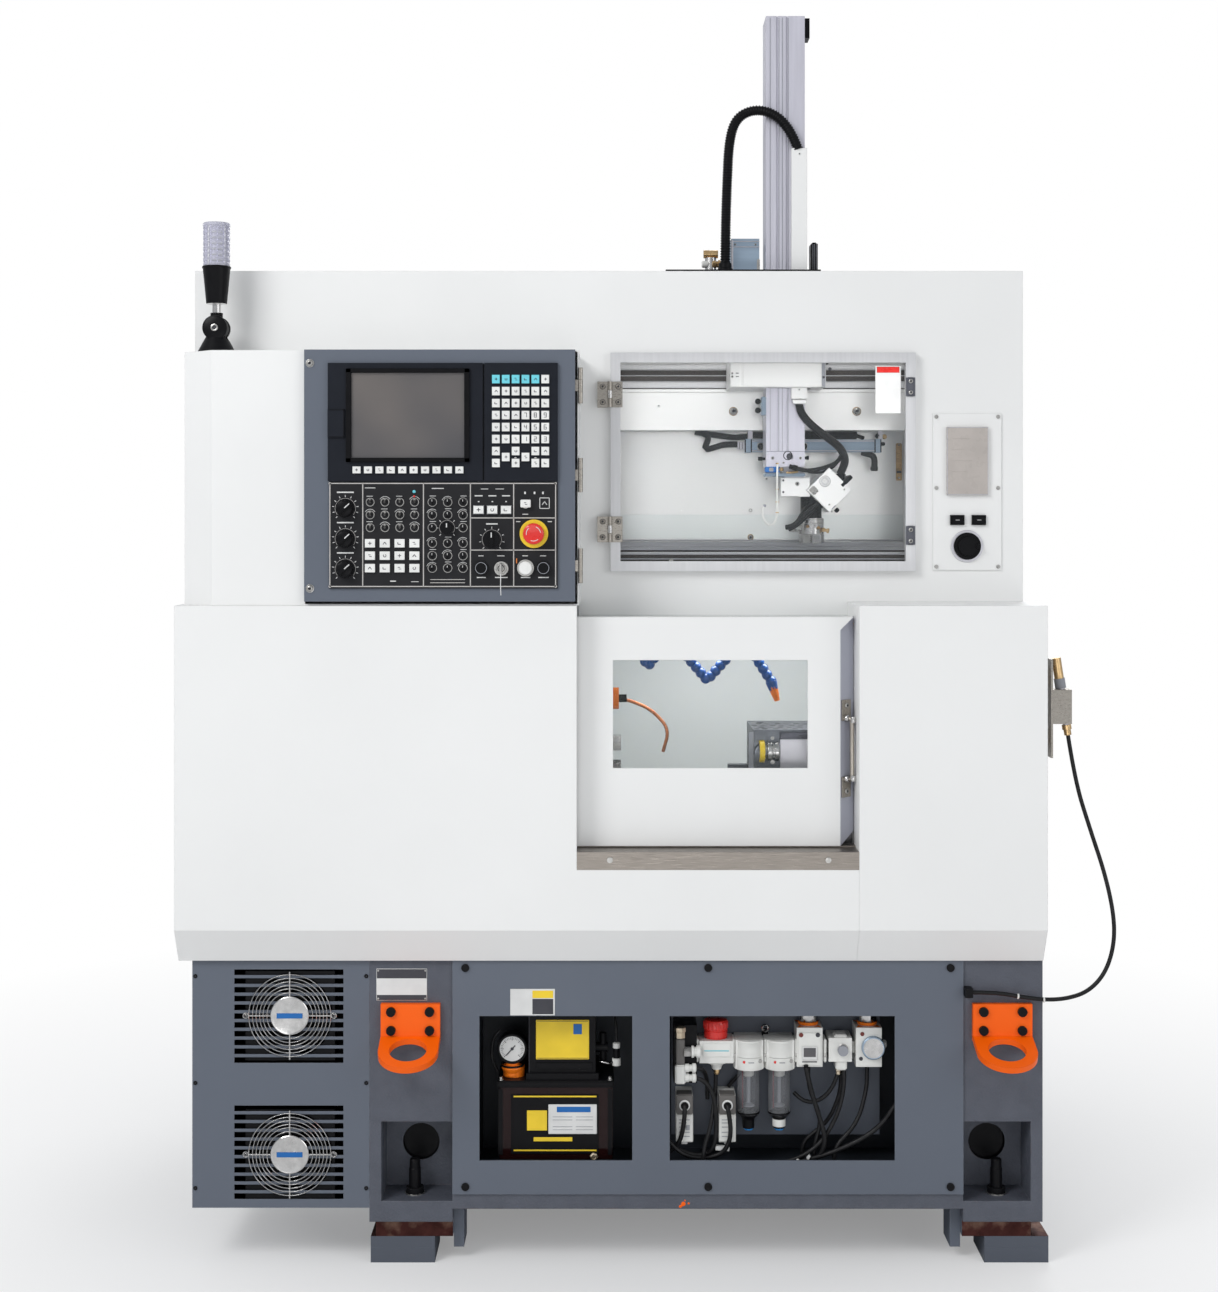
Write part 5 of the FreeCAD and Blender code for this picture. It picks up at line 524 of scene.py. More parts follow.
finish(
    "air_prep_unit",
    WHITE_PLASTIC,
    (SLATE_DARK, within(ANYWHERE, (-452.2, -379), ANYWHERE)),
    (BLACK, within((92, 139), (-511, -452.1), (340, 454))),
    (BOWL, within((218, 262), (-503, -458), (274.5, 367.5))),
    (BOWL, within((278, 322), (-503, -458), (274.5, 367.5))),
    (BLACK, within((218, 322), (-503, -458), (261.5, 275))),
    (BLUE_BEADS, within((230, 310), (-503, -458), (243, 261))),
    (BRASS, within((168, 184), (-490, -470), (358, 379.5))),
    (POLISHED, within((337, 377), (-502, -458), (448.2, 470))),
    (POLISHED, within((452, 492), (-502, -458), (448.2, 470))),
    (ORANGE_PLASTIC, within((337, 377), (-502, -458), (447.9, 453.4))),
    (ORANGE_PLASTIC, within((452, 492), (-502, -458), (447.9, 453.4))),
    (BLACK, within((342, 370), (-514, -510.2), (389, 411))),
    (POLISHED, near_axis(480, 410, 21, (-519, -508))),
    (BLACK, within((412, 430), (-490, -472), (363, 382.5))),
    (GREY_PLASTIC, near_axis(421, 405, 11, (-521, -510.2))),
    (BLACK, near_axis(114, 298, 8, (-516, -509.5))),
    (BLACK, near_axis(197, 298, 8, (-516, -509.5))),
)
finish("chamber_liner", WHITE_INSIDE, (WHITE, within((-45, 615), (-406, -55), (1345, 1940))))
finish(
    "loader_panel",
    WHITE,
    (DISPLAY, within((639, 723), (-420, -411.2), (1483, 1620))),
    (BLACK, within((640, 722), (-418, -411.2), (1422, 1446))),
    (ALUMINIUM, near_axis(681, 1382, 33, (-416, -411.2))),
)
finish("tower_head", BLACK, (POLISHED, within(ANYWHERE, ANYWHERE, (1838, 1857.5))))
finish(
    "gantry_rail",
    WHITE,
    (ALUMINIUM, within(ANYWHERE, ANYWHERE, (1704.2, 1763))),
    (BLACK, within(ANYWHERE, (-175.3, -174.7), (1718, 1746))),
    (RAIL_ALUMINIUM, within(ANYWHERE, (-178.5, -175.1), (1718, 1746))),
    (SCREW_STEEL, near_axis(230, 1664, 9, (-186, -180.2))),
    (SCREW_STEEL, near_axis(491, 1664, 9, (-186, -180.2))),
)
finish("machine_bed", IRON, (WHITE_INSIDE, within((-481, -109), ANYWHERE, (681, 1061))))
finish(
    "coolant_hoses",
    BLUE_BEADS,
    (WHITE_INSIDE, within((-1, 341), (-403, -316), (1244.9, 1266))),
    (ORANGE_PLASTIC, within((296, 330), (-345, -315), (1040, 1092))),
    (COPPER, within((-108, 96), (-336, -324), (950, 1078))),
    (ORANGE_PLASTIC, within((-25.5, -12.8), (-353, -307), (1048, 1094))),
    (BLACK, within((-12.9, 3.5), (-346, -314), (1055, 1087))),
)
finish("air_cylinder", CYLINDER, (ALUMINIUM, within(ANYWHERE, ANYWHERE, (1606.2, 1625))))
finish("gun_holder", HINGE_STEEL, (BLACK_METAL, within((649, 665), (-566, -541), (518, 538))))
# The faces of the door's right bevel that point to the right get the grey-blue painted shade
finish("main_door", WHITE, (BEVEL_SHADE, lambda face: face.normal.x > 0.5 and 0.412 < face.center.x < 0.4415))
HINGE_ZONES = [within((-58, -5), (-436, -423.9), zone) for zone in ((1657, 1710), (1389, 1442))]
finish("window_frame", FRAME_ALUMINIUM, *[(HINGE_STEEL, zone) for zone in HINGE_ZONES])
finish(
    "panel_door",
    SLATE,
    (HINGE_STEEL, within((-96.8, -80), ANYWHERE, ANYWHERE)),
    (SCREW_STEEL, near_axis(-601, 1732, 5, (-592, -590.2))),
    (SCREW_STEEL, near_axis(-601, 1304, 5, (-592, -590.2))),
)
finish(
    "display_unit",
    UNIT,
    (SCREEN, within((-521.5, -306.5), (-597.2, -596.8), (1551.5, 1713.5))),
    (KEY_WHITE, within((-520, -308), (-602, -597.2), (1522, 1536))),
    (KEY_WHITE, within((-256, -145), (-602, -597.2), (1520, 1710))),
    (KEY_CYAN, within((-256, -163), (-602, -597.2), (1692, 1710))),
)
finish(
    "operator_plate",
    PLATE,
    (KEY_WHITE, within((-497, -391), (-599, -594.2), (1334, 1399))),
    (KEY_GREY, within((-292, -217), (-599, -594.2), (1444, 1463))),
    (KEY_WHITE, near_axis(-191, 1464, 9, (-599, -594.2))),
    (YELLOW, near_axis(-175, 1408, 28, (-603, -594.2))),
    (SCREW_STEEL, near_axis(-191, 1343, 17, (-599, -594.2))),
    (SCREW_STEEL, near_axis(-237, 1342, 14, (-599, -594.2))),
    (BLACK, near_axis(-255, 1397, 17, (-611, -594.2))),
    (BLACK, near_axis(-157, 1343, 14, (-604, -594.2))),
    (BLACK, near_axis(-275, 1343, 14, (-604, -594.2))),
    (BLACK, near_axis(-340, 1419, 13, (-608, -598.3))),
)
finish(
    "gantry_carriage",
    WHITE,
    (ALUMINIUM, within((278, 395), (-286, -194), (1765.2, 1939.8))),
    (BLACK_METAL, within(ANYWHERE, ANYWHERE, (1939.9, 1946.1))),
    (CYLINDER, within((219, 279), (-271, -209), (1946.2, 2017))),
    (BLACK, within((385, 401), (-261, -219), (1946.2, 2008))),
    (POLISHED, within((166, 192), (-253, -227), (1946.2, 1980))),
    (BRASS, within((163, 196), (-250, -230), (1978, 1998))),
)
finish(
    "loader_column",
    COLUMN_ALUMINIUM,
    (WHITE, within((341.8, 374.2), (-299, -280.2), (1680, 2199))),
    (BLACK, within((371.2, 383), (-271, -229), (2430, 2473))),
)
finish(
    "rotary_head",
    WHITE,
    (ALUMINIUM, within((325, 386), (-263, -217), (1490, 1545))),
    (BLACK, within((436, 462), (-253, -227), (1514, 1531))),
)
finish("gripper_body", POLISHED, (BLACK, within((365, 411), (-264, -216), (1438.2, 1480))))
finish(
    "tool_block",
    TOOL_STEEL,
    (ALUMINIUM, within((302, 359), (-477, -470.2), (946, 1005))),
)
finish(
    "air_gun",
    ALUMINIUM,
    (BRASS, within(ANYWHERE, ANYWHERE, (1128, 1180))),
    (GREY_PLASTIC, within(ANYWHERE, ANYWHERE, (1108, 1129))),
    (BRASS, within(ANYWHERE, ANYWHERE, (1010, 1040))),
)


# ---------------------------------------------------------------- helpers for new pieces

FRONT = (0, -1, 0)
UP = (0, 0, 1)
DOWN = (0, 0, -1)
RIGHT = (1, 0, 0)
LEFT = (-1, 0, 0)
BACK = (0, 1, 0)
PLATE_FACE = -594


def piece(name, mesh, body, slot, *materials):
    """A new object from its mesh, riding on a body."""
    for material in materials:
        mesh.materials.append(material)
    item = bpy.data.objects.new(name, mesh)
    bpy.context.scene.collection.objects.link(item)
    if body:
        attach(item, body)
    return item


def smooth(mesh, angle):
    """Smooth shading, with sharp edges above an angle."""
    for face in mesh.polygons:
        face.use_smooth = True
    mesh.set_sharp_from_angle(angle=math.radians(angle))
    return mesh


def circle(bmesh_data, middle, side, up, radius, sides):
    """New corners round a spot, radius in millimetres."""
    corners = []
    for number in range(sides):
        turn = 2 * math.pi * number / sides
        outward = side * math.cos(turn) + up * math.sin(turn)
        corners.append(bmesh_data.verts.new(middle + outward * radius * MM))
    return corners


def skin(bmesh_data, rows, sides):
    """Faces between neighbouring circles."""
    faces = []
    for low, high in zip(rows, rows[1:]):
        for number in range(sides):
            following = (number + 1) % sides
            faces.append(bmesh_data.faces.new((low[number], low[following], high[following], high[number])))
    return faces


def line_of(points, steps):
    """A NURBS spline through the neighbourhood of its control points, in metres."""
    curve = bpy.data.curves.new("line", "CURVE")
    curve.dimensions = "3D"
    curve.resolution_u = steps
    spline = curve.splines.new("NURBS")
    spline.points.add(len(points) - 1)
    for point, spot in zip(spline.points, points):
        point.co = (*mm(*spot), 1)
    spline.order_u = 3
    spline.use_endpoint_u = True
    return curve


def spots_on(curve):
    """The points of a spline, read from it."""
    holder = bpy.data.objects.new("reader", curve)
    bpy.context.scene.collection.objects.link(holder)
    bpy.context.view_layer.update()
    mesh = bpy.data.meshes.new_from_object(holder)
    spots = [vertex.co.copy() for vertex in mesh.vertices]
    bpy.data.meshes.remove(mesh)
    bpy.data.objects.remove(holder)
    return spots


def even_stations(spots, pitch):
    """Places and directions at an even pitch along a chain of points."""
    lengths = [0.0]
    for first, second in zip(spots, spots[1:]):
        lengths.append(lengths[-1] + (second - first).length)
    count = max(int(lengths[-1] / pitch), 2)
    stations = []
    index = 0
    for step in range(count + 1):
        at = lengths[-1] * step / count
        while index < len(spots) - 2 and lengths[index + 1] < at:
            index += 1
        share = (at - lengths[index]) / max(lengths[index + 1] - lengths[index], 1e-9)
        stations.append(
            (spots[index].lerp(spots[index + 1], min(share, 1.0)),
             (spots[index + 1] - spots[index]).normalized())
        )
    return stations


def ribbed(name, points, crest, valley, pitch):
    """A corrugated hose: rounded ribs and narrow valleys along a smooth line."""
    sides = 20
    shoulder = crest * 0.985
    section = (valley, valley, shoulder, crest, shoulder, valley)
    stations = even_stations(spots_on(line_of(points, 24)), pitch * MM / len(section))
    mesh_data = bmesh.new()
    rows = []
    across = Vector((0, 1, 0))
    for index, (spot, heading) in enumerate(stations):
        side = heading.cross(across).normalized()
        up = side.cross(heading).normalized()
        rows.append(circle(mesh_data, spot, side, up, section[index % len(section)], sides))
    skin(mesh_data, rows, sides)
    mesh_data.faces.new(list(reversed(rows[0])))
    mesh_data.faces.new(rows[-1])
    bmesh.ops.recalc_face_normals(mesh_data, faces=mesh_data.faces)
    mesh = bpy.data.meshes.new(name)
    mesh_data.to_mesh(mesh)
    mesh_data.free()
    return smooth(mesh, 60)


class Bits:
    """Small parts gathered into one mesh: sizes in millimetres, one material each."""

    def __init__(self):
        self.mesh = bmesh.new()
        self.materials = []

    def paint(self, faces, material):
        """Gives faces a material and smooth shading."""
        if material not in self.materials:
            self.materials.append(material)
        for face in faces:
            face.material_index = self.materials.index(material)
            face.smooth = True

    def bar(self, x, y, z, material, edge=0.0, about=None, tilt=0.0):
        """A block with rounded edges, turned about a spot in the front view if need be."""
        low, high = Vector(mm(x[0], y[0], z[0])), Vector(mm(x[1], y[1], z[1]))
        size = high - low
        matrix = Matrix.Translation((low + high) / 2) @ Matrix.Diagonal((*size, 1))
        made = bmesh.ops.create_cube(self.mesh, size=1, matrix=matrix)["verts"]
        edges = {link for vertex in made for link in vertex.link_edges}
        self.paint({face for vertex in made for face in vertex.link_faces}, material)
        if edge:
            done = bmesh.ops.bevel(
                self.mesh, geom=list(edges), offset=edge * MM, segments=2, affect="EDGES", clamp_overlap=True
            )
            self.paint(done["faces"], material)
            made = {vertex for face in done["faces"] for vertex in face.verts}
        if tilt:
            spot = Vector(mm(about[0], 0, about[1]))
            bmesh.ops.rotate(self.mesh, verts=list(made), cent=spot,
                             matrix=Matrix.Rotation(math.radians(tilt), 3, "Y"))
        return self

    def turned(self, at, heading, profile, material, sides=32):
        """A body of revolution: (radius, distance) pairs along a heading from a spot."""
        start = Vector(mm(*at))
        axis = Vector(heading).normalized()
        side = axis.orthogonal().normalized()
        up = axis.cross(side)
        rows = []
        for radius, distance in profile:
            middle = start + axis * distance * MM
            if radius == 0:
                rows.append([self.mesh.verts.new(middle)])
                continue
            rows.append(circle(self.mesh, middle, side, up, radius, sides))
        faces = []
        for low, high in zip(rows, rows[1:]):
            for number in range(sides):
                following = (number + 1) % sides
                corners = [low[number % len(low)], low[following % len(low)]]
                corners += [high[following % len(high)], high[number % len(high)]]
                corners = list(dict.fromkeys(corners))
                if len(corners) > 2:
                    faces.append(self.mesh.faces.new(corners))
        self.paint(faces, material)
        return self

    def screw(self, x, y, z, radius, material=SCREW_STEEL):
        """A button head seen from the front, with its socket."""
        self.turned((x, y, z), FRONT, [(radius, 0), (radius, radius * 0.25), (radius * 0.8, radius * 0.5),
                                       (radius * 0.48, radius * 0.6)], material, 20)
        self.turned((x, y, z), FRONT,
                    [(radius * 0.48, radius * 0.6), (radius * 0.42, radius * 0.2), (0, radius * 0.2)], INK, 6)
        return self

    def stroke(self, first, second, width, y=PLATE_FACE, material=MARK_WHITE, thick=0.25):
        """A raised line on a plate that faces the front."""
        run = Vector((second[0] - first[0], second[1] - first[1]))
        angle = math.degrees(math.atan2(run.y, run.x))
        half = width / 2
        return self.bar(
            (first[0], first[0] + run.length), (y - thick, y + 0.05),
            (first[1] - half, first[1] + half), material,
            about=first, tilt=-angle,
        )

    def dash(self, left, right, z, width, y=PLATE_FACE, material=MARK_WHITE):
        """A level line."""
        return self.stroke((left, z), (right, z), width, y, material)

    def arc(self, x, z, radius, start, end, width, y=PLATE_FACE, material=MARK_WHITE, steps=14):
        """A raised arc on a plate that faces the front, angles clockwise from the top."""
        turns = [math.radians(start + (end - start) * step / steps) for step in range(steps + 1)]
        rows = []
        for turn in turns:
            rows.append([
                self.mesh.verts.new(mm(x + reach * math.sin(turn), y - depth, z + reach * math.cos(turn)))
                for reach, depth in ((radius - width / 2, -0.05), (radius - width / 2, 0.25),
                                     (radius + width / 2, 0.25), (radius + width / 2, -0.05))
            ])
        self.paint([
            self.mesh.faces.new((low[side], low[side + 1], high[side + 1], high[side]))
            for low, high in zip(rows, rows[1:]) for side in range(3)
        ], material)
        return self

    def ticks(self, x, z, inner, outer, start, end, count, width, y=PLATE_FACE, material=MARK_WHITE):
        """Scale marks round a knob."""
        for number in range(count):
            turn = math.radians(start + (end - start) * number / (count - 1))
            across = (math.sin(turn), math.cos(turn))
            self.stroke((x + inner * across[0], z + inner * across[1]),
                        (x + outer * across[0], z + outer * across[1]), width, y, material)
        return self

    def digit(self, number, x, z, height, y, material):
        """A digit drawn with seven strokes, centred on a spot."""
        half, reach, thick = height / 2, height * 0.27, height * 0.13
        strokes = {
            "a": ((-reach, half), (reach, half)),
            "b": ((reach, 0), (reach, half)), "c": ((reach, -half), (reach, 0)),
            "d": ((-reach, -half), (reach, -half)), "e": ((-reach, -half), (-reach, 0)),
            "f": ((-reach, 0), (-reach, half)), "g": ((-reach, 0), (reach, 0)),
        }
        drawn = ("abcdef", "bc", "abged", "abgcd", "fgbc", "afgcd",
                 "afgedc", "abc", "abcdefg", "abcfgd")[number]
        for letter in drawn:
            first, second = strokes[letter]
            self.stroke((x + first[0], z + first[1]), (x + second[0], z + second[1]), thick, y, material)
        return self

    def tube(self, points, radius, material, sides=14):
        """A hose or wire along a smooth line, closed at both ends."""
        stations = even_stations(spots_on(line_of(points, 8)), 0.7 * radius * MM)
        guide = Vector((0, 1, 0))
        rows = []
        for spot, heading in stations:
            if abs(heading.dot(guide)) > 0.95:
                guide = heading.orthogonal().normalized()
            side = heading.cross(guide).normalized()
            guide = side.cross(heading).normalized()
            rows.append(circle(self.mesh, spot, side, guide, radius, sides))
        faces = skin(self.mesh, rows, sides)
        faces += [self.mesh.faces.new(list(reversed(rows[0]))), self.mesh.faces.new(rows[-1])]
        self.paint(faces, material)
        return self

    def place(self, name, body, slot):
        """Makes the gathered parts one object that rides on a body."""
        bmesh.ops.recalc_face_normals(self.mesh, faces=self.mesh.faces)
        mesh = bpy.data.meshes.new(name)
        self.mesh.to_mesh(mesh)
        self.mesh.free()
        mesh.set_sharp_from_angle(angle=math.radians(35))
        return piece(name, mesh, body, slot, *self.materials)


# ---------------------------------------------------------------- hoses

AIR_HOSE_POINTS = [
    (664, -556, 528), (710, -556, 528), (756, -557, 520),
    (802, -557, 514), (845, -556, 516), (886, -555, 529),
    (919, -552, 562), (938, -546, 612), (941, -539, 668), (926, -531, 748), (897, -525, 838),
    (869.7, -520, 929.1), (856, -520, 1018),
]


def air_hose():
    """The air gun's own cord, from the base up to the gun."""
    curve = line_of(AIR_HOSE_POINTS, 16)
    curve.bevel_depth = 4 * MM
    curve.bevel_resolution = 5
    curve.use_fill_caps = True
    curve.materials.append(RUBBER)
    item = bpy.data.objects.new("blow_gun_hose", curve)
    bpy.context.scene.collection.objects.link(item)
    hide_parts("air_hose")
    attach(item, "frame")


air_hose()

CONDUIT_RUN = [
    (206, -292, 1946), (207, -292, 2040), (210, -292, 2130), (214, -292, 2215), (229, -292, 2262),
    (268, -292, 2280), (312, -292, 2268), (345, -292, 2228), (356, -292, 2196),
]
LOADER_RUN = [
    (358, -288, 1683), (358.5, -288, 1668), (365, -288, 1650), (385, -288, 1628), (413, -284, 1607),
    (438, -274, 1590), (453, -262, 1573), (458, -252, 1556), (454, -244, 1542), (449, -240, 1530),
]

# The conduit joins two bodies, so it rides on neither of them
conduit_mesh = ribbed("ribbed_conduit", CONDUIT_RUN, 10.6, 9.0, 5.4)
conduit = piece("ribbed_conduit", conduit_mesh, None, "black_plastic", BLACK)
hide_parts("conduit_hose")
loader_mesh = ribbed("loader_hose_run", LOADER_RUN, 8.6, 8.0, 3.2)
loader_run = piece("loader_hose_run", loader_mesh, "column", "rubber_black", RUBBER)
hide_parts("loader_hose")
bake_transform(conduit)


# ---------------------------------------------------------------- control panel

SCREEN_FACE = -601
TOGGLE_FACE = -598
POINTER_FACE = -602.5
BEZEL_DEPTH = (-602.6, -600.6)
OVERRIDE_X = -533
OVERRIDE_LEVELS = (1456, 1398.5, 1341)
LINE_XS = (-562.4, -500, -384.8, -295.7, -213.6, -134)


def glyph(bits, kind, x, z, size, y=PLATE_FACE, material=MARK_WHITE):
    """A small neutral sign on a key."""
    half = size / 2
    if kind == 0:
        bits.dash(x - half, x + half, z, 1.3, y, material)
        bits.stroke((x, z - half), (x, z + half), 1.3, y, material)
    elif kind == 1:
        bits.dash(x - half, x + half * 0.4, z + 1.6, 1.2, y, material)
        bits.dash(x - half * 0.4, x + half, z - 1.6, 1.2, y, material)
    elif kind == 2:
        bits.stroke((x - half, z - half * 0.7), (x, z + half * 0.7), 1.3, y, material)
        bits.stroke((x, z + half * 0.7), (x + half, z - half * 0.7), 1.3, y, material)
    elif kind == 3:
        bits.arc(x, z, half * 0.8, 30, 320, 1.2, y, material, 8)
    else:
        bits.stroke((x - half, z - half * 0.6), (x - half, z + half * 0.6), 1.3, y, material)
        bits.dash(x - half, x + half * 0.7, z - half * 0.6, 1.3, y, material)


def knob_scale(bits, x, z, radius, count, legend):
    """White marks round a knob and a plain bar over it."""
    bits.ticks(x, z, radius + 4.4, radius + 8.4, -135, 135, count, 1.3)
    bits.arc(x, z, radius + 2.4, -128, 128, 0.7, PLATE_FACE, LINE_SILVER, 20)
    bits.dash(x - legend / 2, x + legend / 2, z + radius + 13.6, 2.6)


def operator_marks():
    """Lines, signs, toggles and pointers of the operator plate."""
    bits = Bits()
    for z in (1503.5, 1307.9):
        bits.dash(LINE_XS[0], LINE_XS[-1], z, 2.0, PLATE_FACE, LINE_SILVER)
    for x in LINE_XS:
        bits.stroke((x, 1307.9), (x, 1503.5), 2.0, PLATE_FACE, LINE_SILVER)
    for z in (1438, 1377):
        bits.dash(LINE_XS[3], LINE_XS[-1], z, 2.0, PLATE_FACE, LINE_SILVER)
    for x in (LINE_XS[0], LINE_XS[-1]):
        for z in (1503.5, 1307.9):
            bits.arc(x, z, 1.4, 0, 360, 2.4, PLATE_FACE, LINE_SILVER, 8)
    for z in OVERRIDE_LEVELS:
        knob_scale(bits, OVERRIDE_X, z, 17, 11, 32)
    # The first field: toggles with their collars, a lamp and the block of twelve keys
    for column in range(4):
        x = -486 + 28.1 * column
        for row in range(3):
            z = 1468 - 24.2 * row
            bits.arc(x, z, 7.6, 0, 360, 1.5, PLATE_FACE, SCREW_STEEL, 20)
            bits.turned((x, TOGGLE_FACE, z), (0.15, -1, 0.75),
                        [(0, -2), (2.1, 0), (1.8, 5), (2.7, 8.5), (2.3, 10.5), (0, 11.2)], SCREW_STEEL, 12)
            if (column + row) % 2:
                bits.arc(x, z, 10.8, -60, 60, 0.9, PLATE_FACE, MARK_WHITE, 8)
            else:
                bits.dash(x - 7, x + 5, z + 11.2, 1.1)
            glyph(bits, (column * 2 + row) % 5, x, 1390 - 23.6 * row, 6.4, TOGGLE_FACE, INK)
    bits.turned((-402.4, -594, 1488), FRONT, [(3, 0), (3, 1.4), (1.8, 2.4), (0, 2.8)], KEY_CYAN, 14)
    bits.turned((-402.4, -594, 1479), FRONT, [(2, 0), (2, 1), (0, 1.6)], RED, 12)
    for left, right, z, width in ((-496, -476, 1495, 1.4), (-448, -437, 1318, 2.2), (-408, -394, 1317, 1.2)):
        bits.dash(left, right, z, width)
    # The second field: turn switches with short pointers
    for column in range(3):
        x = -368 + 29.1 * column
        for number, z in enumerate((1468, 1443.8, 1419.6, 1390, 1366.4, 1342.8)):
            if column == 1 and number == 2:
                knob_scale(bits, -340, 1419, 12, 7, 0.1)
                bits.stroke((-340, 1420), (-340, 1428), 2.2, -606.9)
                continue
            bits.arc(x, z, 8.2, 0, 360, 1.3, PLATE_FACE, SCREW_STEEL, 20)
            bits.bar((x - 1.7, x + 1.7), (POINTER_FACE, -597.8), (z - 5.4, z + 5.4),
                     BLACK, 0.8, (x, z), 24 * (number % 3) - 20)
            bits.stroke((x, z + 1), (x, z + 5), 1.1, POINTER_FACE)
            if (column + number) % 2:
                bits.arc(x, z, 11, -70, 40, 0.9, PLATE_FACE, MARK_WHITE, 8)
            else:
                bits.dash(x - 5, x + 7, z + 11.6, 1.1)
    bits.dash(-369, -346, 1494, 1.6)
    for z in (1321, 1315):
        bits.dash(-372, -306, z, 1.3, PLATE_FACE, LINE_SILVER)
    # The right-hand fields
    for number, x in enumerate((-280, -254, -228)):
        bits.bar((x - 10.3, x + 10.3), (-599, -597.5), (1445.4, 1461.6), KEY_WHITE, 0.8)
        glyph(bits, (0, 3, 4)[number], x, 1453.5, 7, -599, INK)
        bits.dash(x - 7.5, x + 7.5, 1480, 2.2)
        bits.dash(x - 1.4, x + 1.4, 1469, 2.2)
    bits.dash(-276, -262, 1493, 1.2)
    bits.dash(-248, -232, 1493, 1.2)
    bits.bar((-200.5, -181), (-602, -593), (1457.8, 1472.6), KEY_WHITE, 1.0)
    glyph(bits, 1, -190.7, 1465.2, 6, -602, INK)
    for x in (-164, -146):
        bits.stroke((x, 1456), (x, 1476), 1.4)
    for z in (1476, 1456):
        bits.dash(-164, -146, z, 1.4)
    glyph(bits, 2, -155, 1466, 9)
    for x in (-192, -174, -158):
        bits.dash(x - 1.6, x + 1.6, 1485.5, 4.6)
    bits.dash(-197, -186, 1445, 1.4)
    knob_scale(bits, -255, 1397, 16, 9, 22)
    bits.bar((-259.6, -250.4), (-614, -609.6), (1382.6, 1411.4), BLACK, 1.4)
    bits.stroke((-255, 1401), (-255, 1410.6), 2.0, -614)
    for x, width in ((-275, 17), (-237, 24), (-191, 18), (-157, 20)):
        bits.dash(x - width / 2, x + width / 2, 1325, 2.0)
        bits.dash(x - width / 3, x + width / 4, 1366, 1.5)
    bits.stroke((-208, 1352), (-208, 1361), 2.0, PLATE_FACE, MARK_ORANGE)
    for x in (-275, -157):
        bits.arc(x, 1343, 10.6, 0, 360, 1.1, -603, GREY_PLASTIC, 24)
    for x in (-205, -145):
        bits.dash(x - 4, x + 4, 1431, 1.6)
    bits.place("operator_marks", "panel", "plate_plastic")


def display_marks():
    """Signs on the keys, the recess round the screen and the lid of the card slot."""
    bits = Bits()
    for index in range(10):
        glyph(bits, (index * 3) % 5, -511 + 21.65 * index, 1529, 4.6, SCREEN_FACE, INK)
    digits = {(3, 3): 7, (3, 4): 8, (3, 5): 9, (4, 3): 4, (4, 4): 5,
              (4, 5): 6, (5, 3): 1, (5, 4): 2, (5, 5): 3}
    for row in range(8):
        for column in range(6):
            low_key = row >= 6 and column in (1, 3)
            if low_key and row == 7:
                continue
            x = -247 + 18.7 * column
            z = 1701 - 22.7 * row - (11.35 if low_key else 0)
            if (row, column) in digits:
                bits.digit(digits[row, column], x, z, 8, SCREEN_FACE, INK)
            else:
                glyph(bits, (row * 2 + column * 3) % 5, x + 0.6, z, 5.2, SCREEN_FACE, INK)
    for x in (-210, -172):
        bits.dash(x - 2, x + 2, 1552, 1.6, -597)
    for x in ((-531, -521.2), (-306.8, -297)):
        bits.bar(x, BEZEL_DEPTH, (1544, 1721), BLACK, 0.8)
    for z in (1544, 1713.2):
        bits.bar((-531, -297), BEZEL_DEPTH, (z, z + 7.8), BLACK, 0.8)
    for z in (1591.5, 1642.5):
        bits.dash(-564, -534, z, 1.2, -600, BLACK)
    bits.stroke((-535.2, 1590), (-535.2, 1644), 1.4, -600, BLACK)
    bits.stroke((-270.6, 1509), (-270.6, 1731), 1.6, -594.4, BLACK)
    bits.place("display_marks", "panel", "unit_plastic")


def knob_pointer(number, z):
    """The ridge of an override knob with its white line."""
    bits = Bits()
    bits.turned((OVERRIDE_X, -606, z), FRONT,
                [(15.6, -6), (15.8, 0), (14.4, 3.6), (12, 4.6), (0, 4.8)], BLACK, 36)
    bits.bar((-537.6, -528.4), (-614.4, -609.8), (z - 14.6, z + 14.6), BLACK, 1.6, (OVERRIDE_X, z), 48)
    bits.bar((-534, -532), (-614.9, -614), (z + 1, z + 13.6), MARK_WHITE, 0, (OVERRIDE_X, z), 48)
    bits.place("override_pointer_%d" % number, "override_%d" % number, "black_plastic")


STOP = (-175, 1408)
KEY_LOCK = (-237, 1342)


def push_buttons():
    """The dished tops of the buttons that move."""
    stop = Bits()
    stop.turned((STOP[0], -616, STOP[1]), FRONT,
                [(19.6, -2), (20.2, 1), (19.4, 4), (16.4, 5.8), (11, 5.2), (5, 4.6), (0, 4.5)], RED, 48)
    for start in (20, 140, 260):
        stop.arc(*STOP, 13.6, start, start + 62, 1.2, -621.4, MARK_WHITE, 10)
    stop.place("stop_top", "stop_button", "red_plastic")
    start = Bits()
    start.turned((-191, -603, 1343), FRONT,
                 [(12.6, -1), (12.6, 0.6), (11.4, 2), (8, 2.6), (0, 2.8)], KEY_WHITE, 36)
    start.place("start_top", "start_button", "white_plastic")
    key = Bits()
    key.turned((KEY_LOCK[0], -599, KEY_LOCK[1]), FRONT,
               [(8.6, -0.4), (8.2, 1.0), (3.4, 1.6), (3.0, 0.6), (0, 0.6)], SCREW_STEEL, 28)
    key.arc(*KEY_LOCK, 6.2, 0, 360, 1.2, -600.4, BLACK, 20)
    key.arc(-237, 1335, 3.0, 0, 360, 0.9, -619, SCREW_STEEL, 12)
    key.tube([(-237, -619, 1333), (-236.6, -620, 1322), (-237.2, -620, 1308), (-236.4, -619, 1292)],
             0.9, MARK_WHITE, 8)
    key.place("key_and_tag_line", "key", "bare_steel")


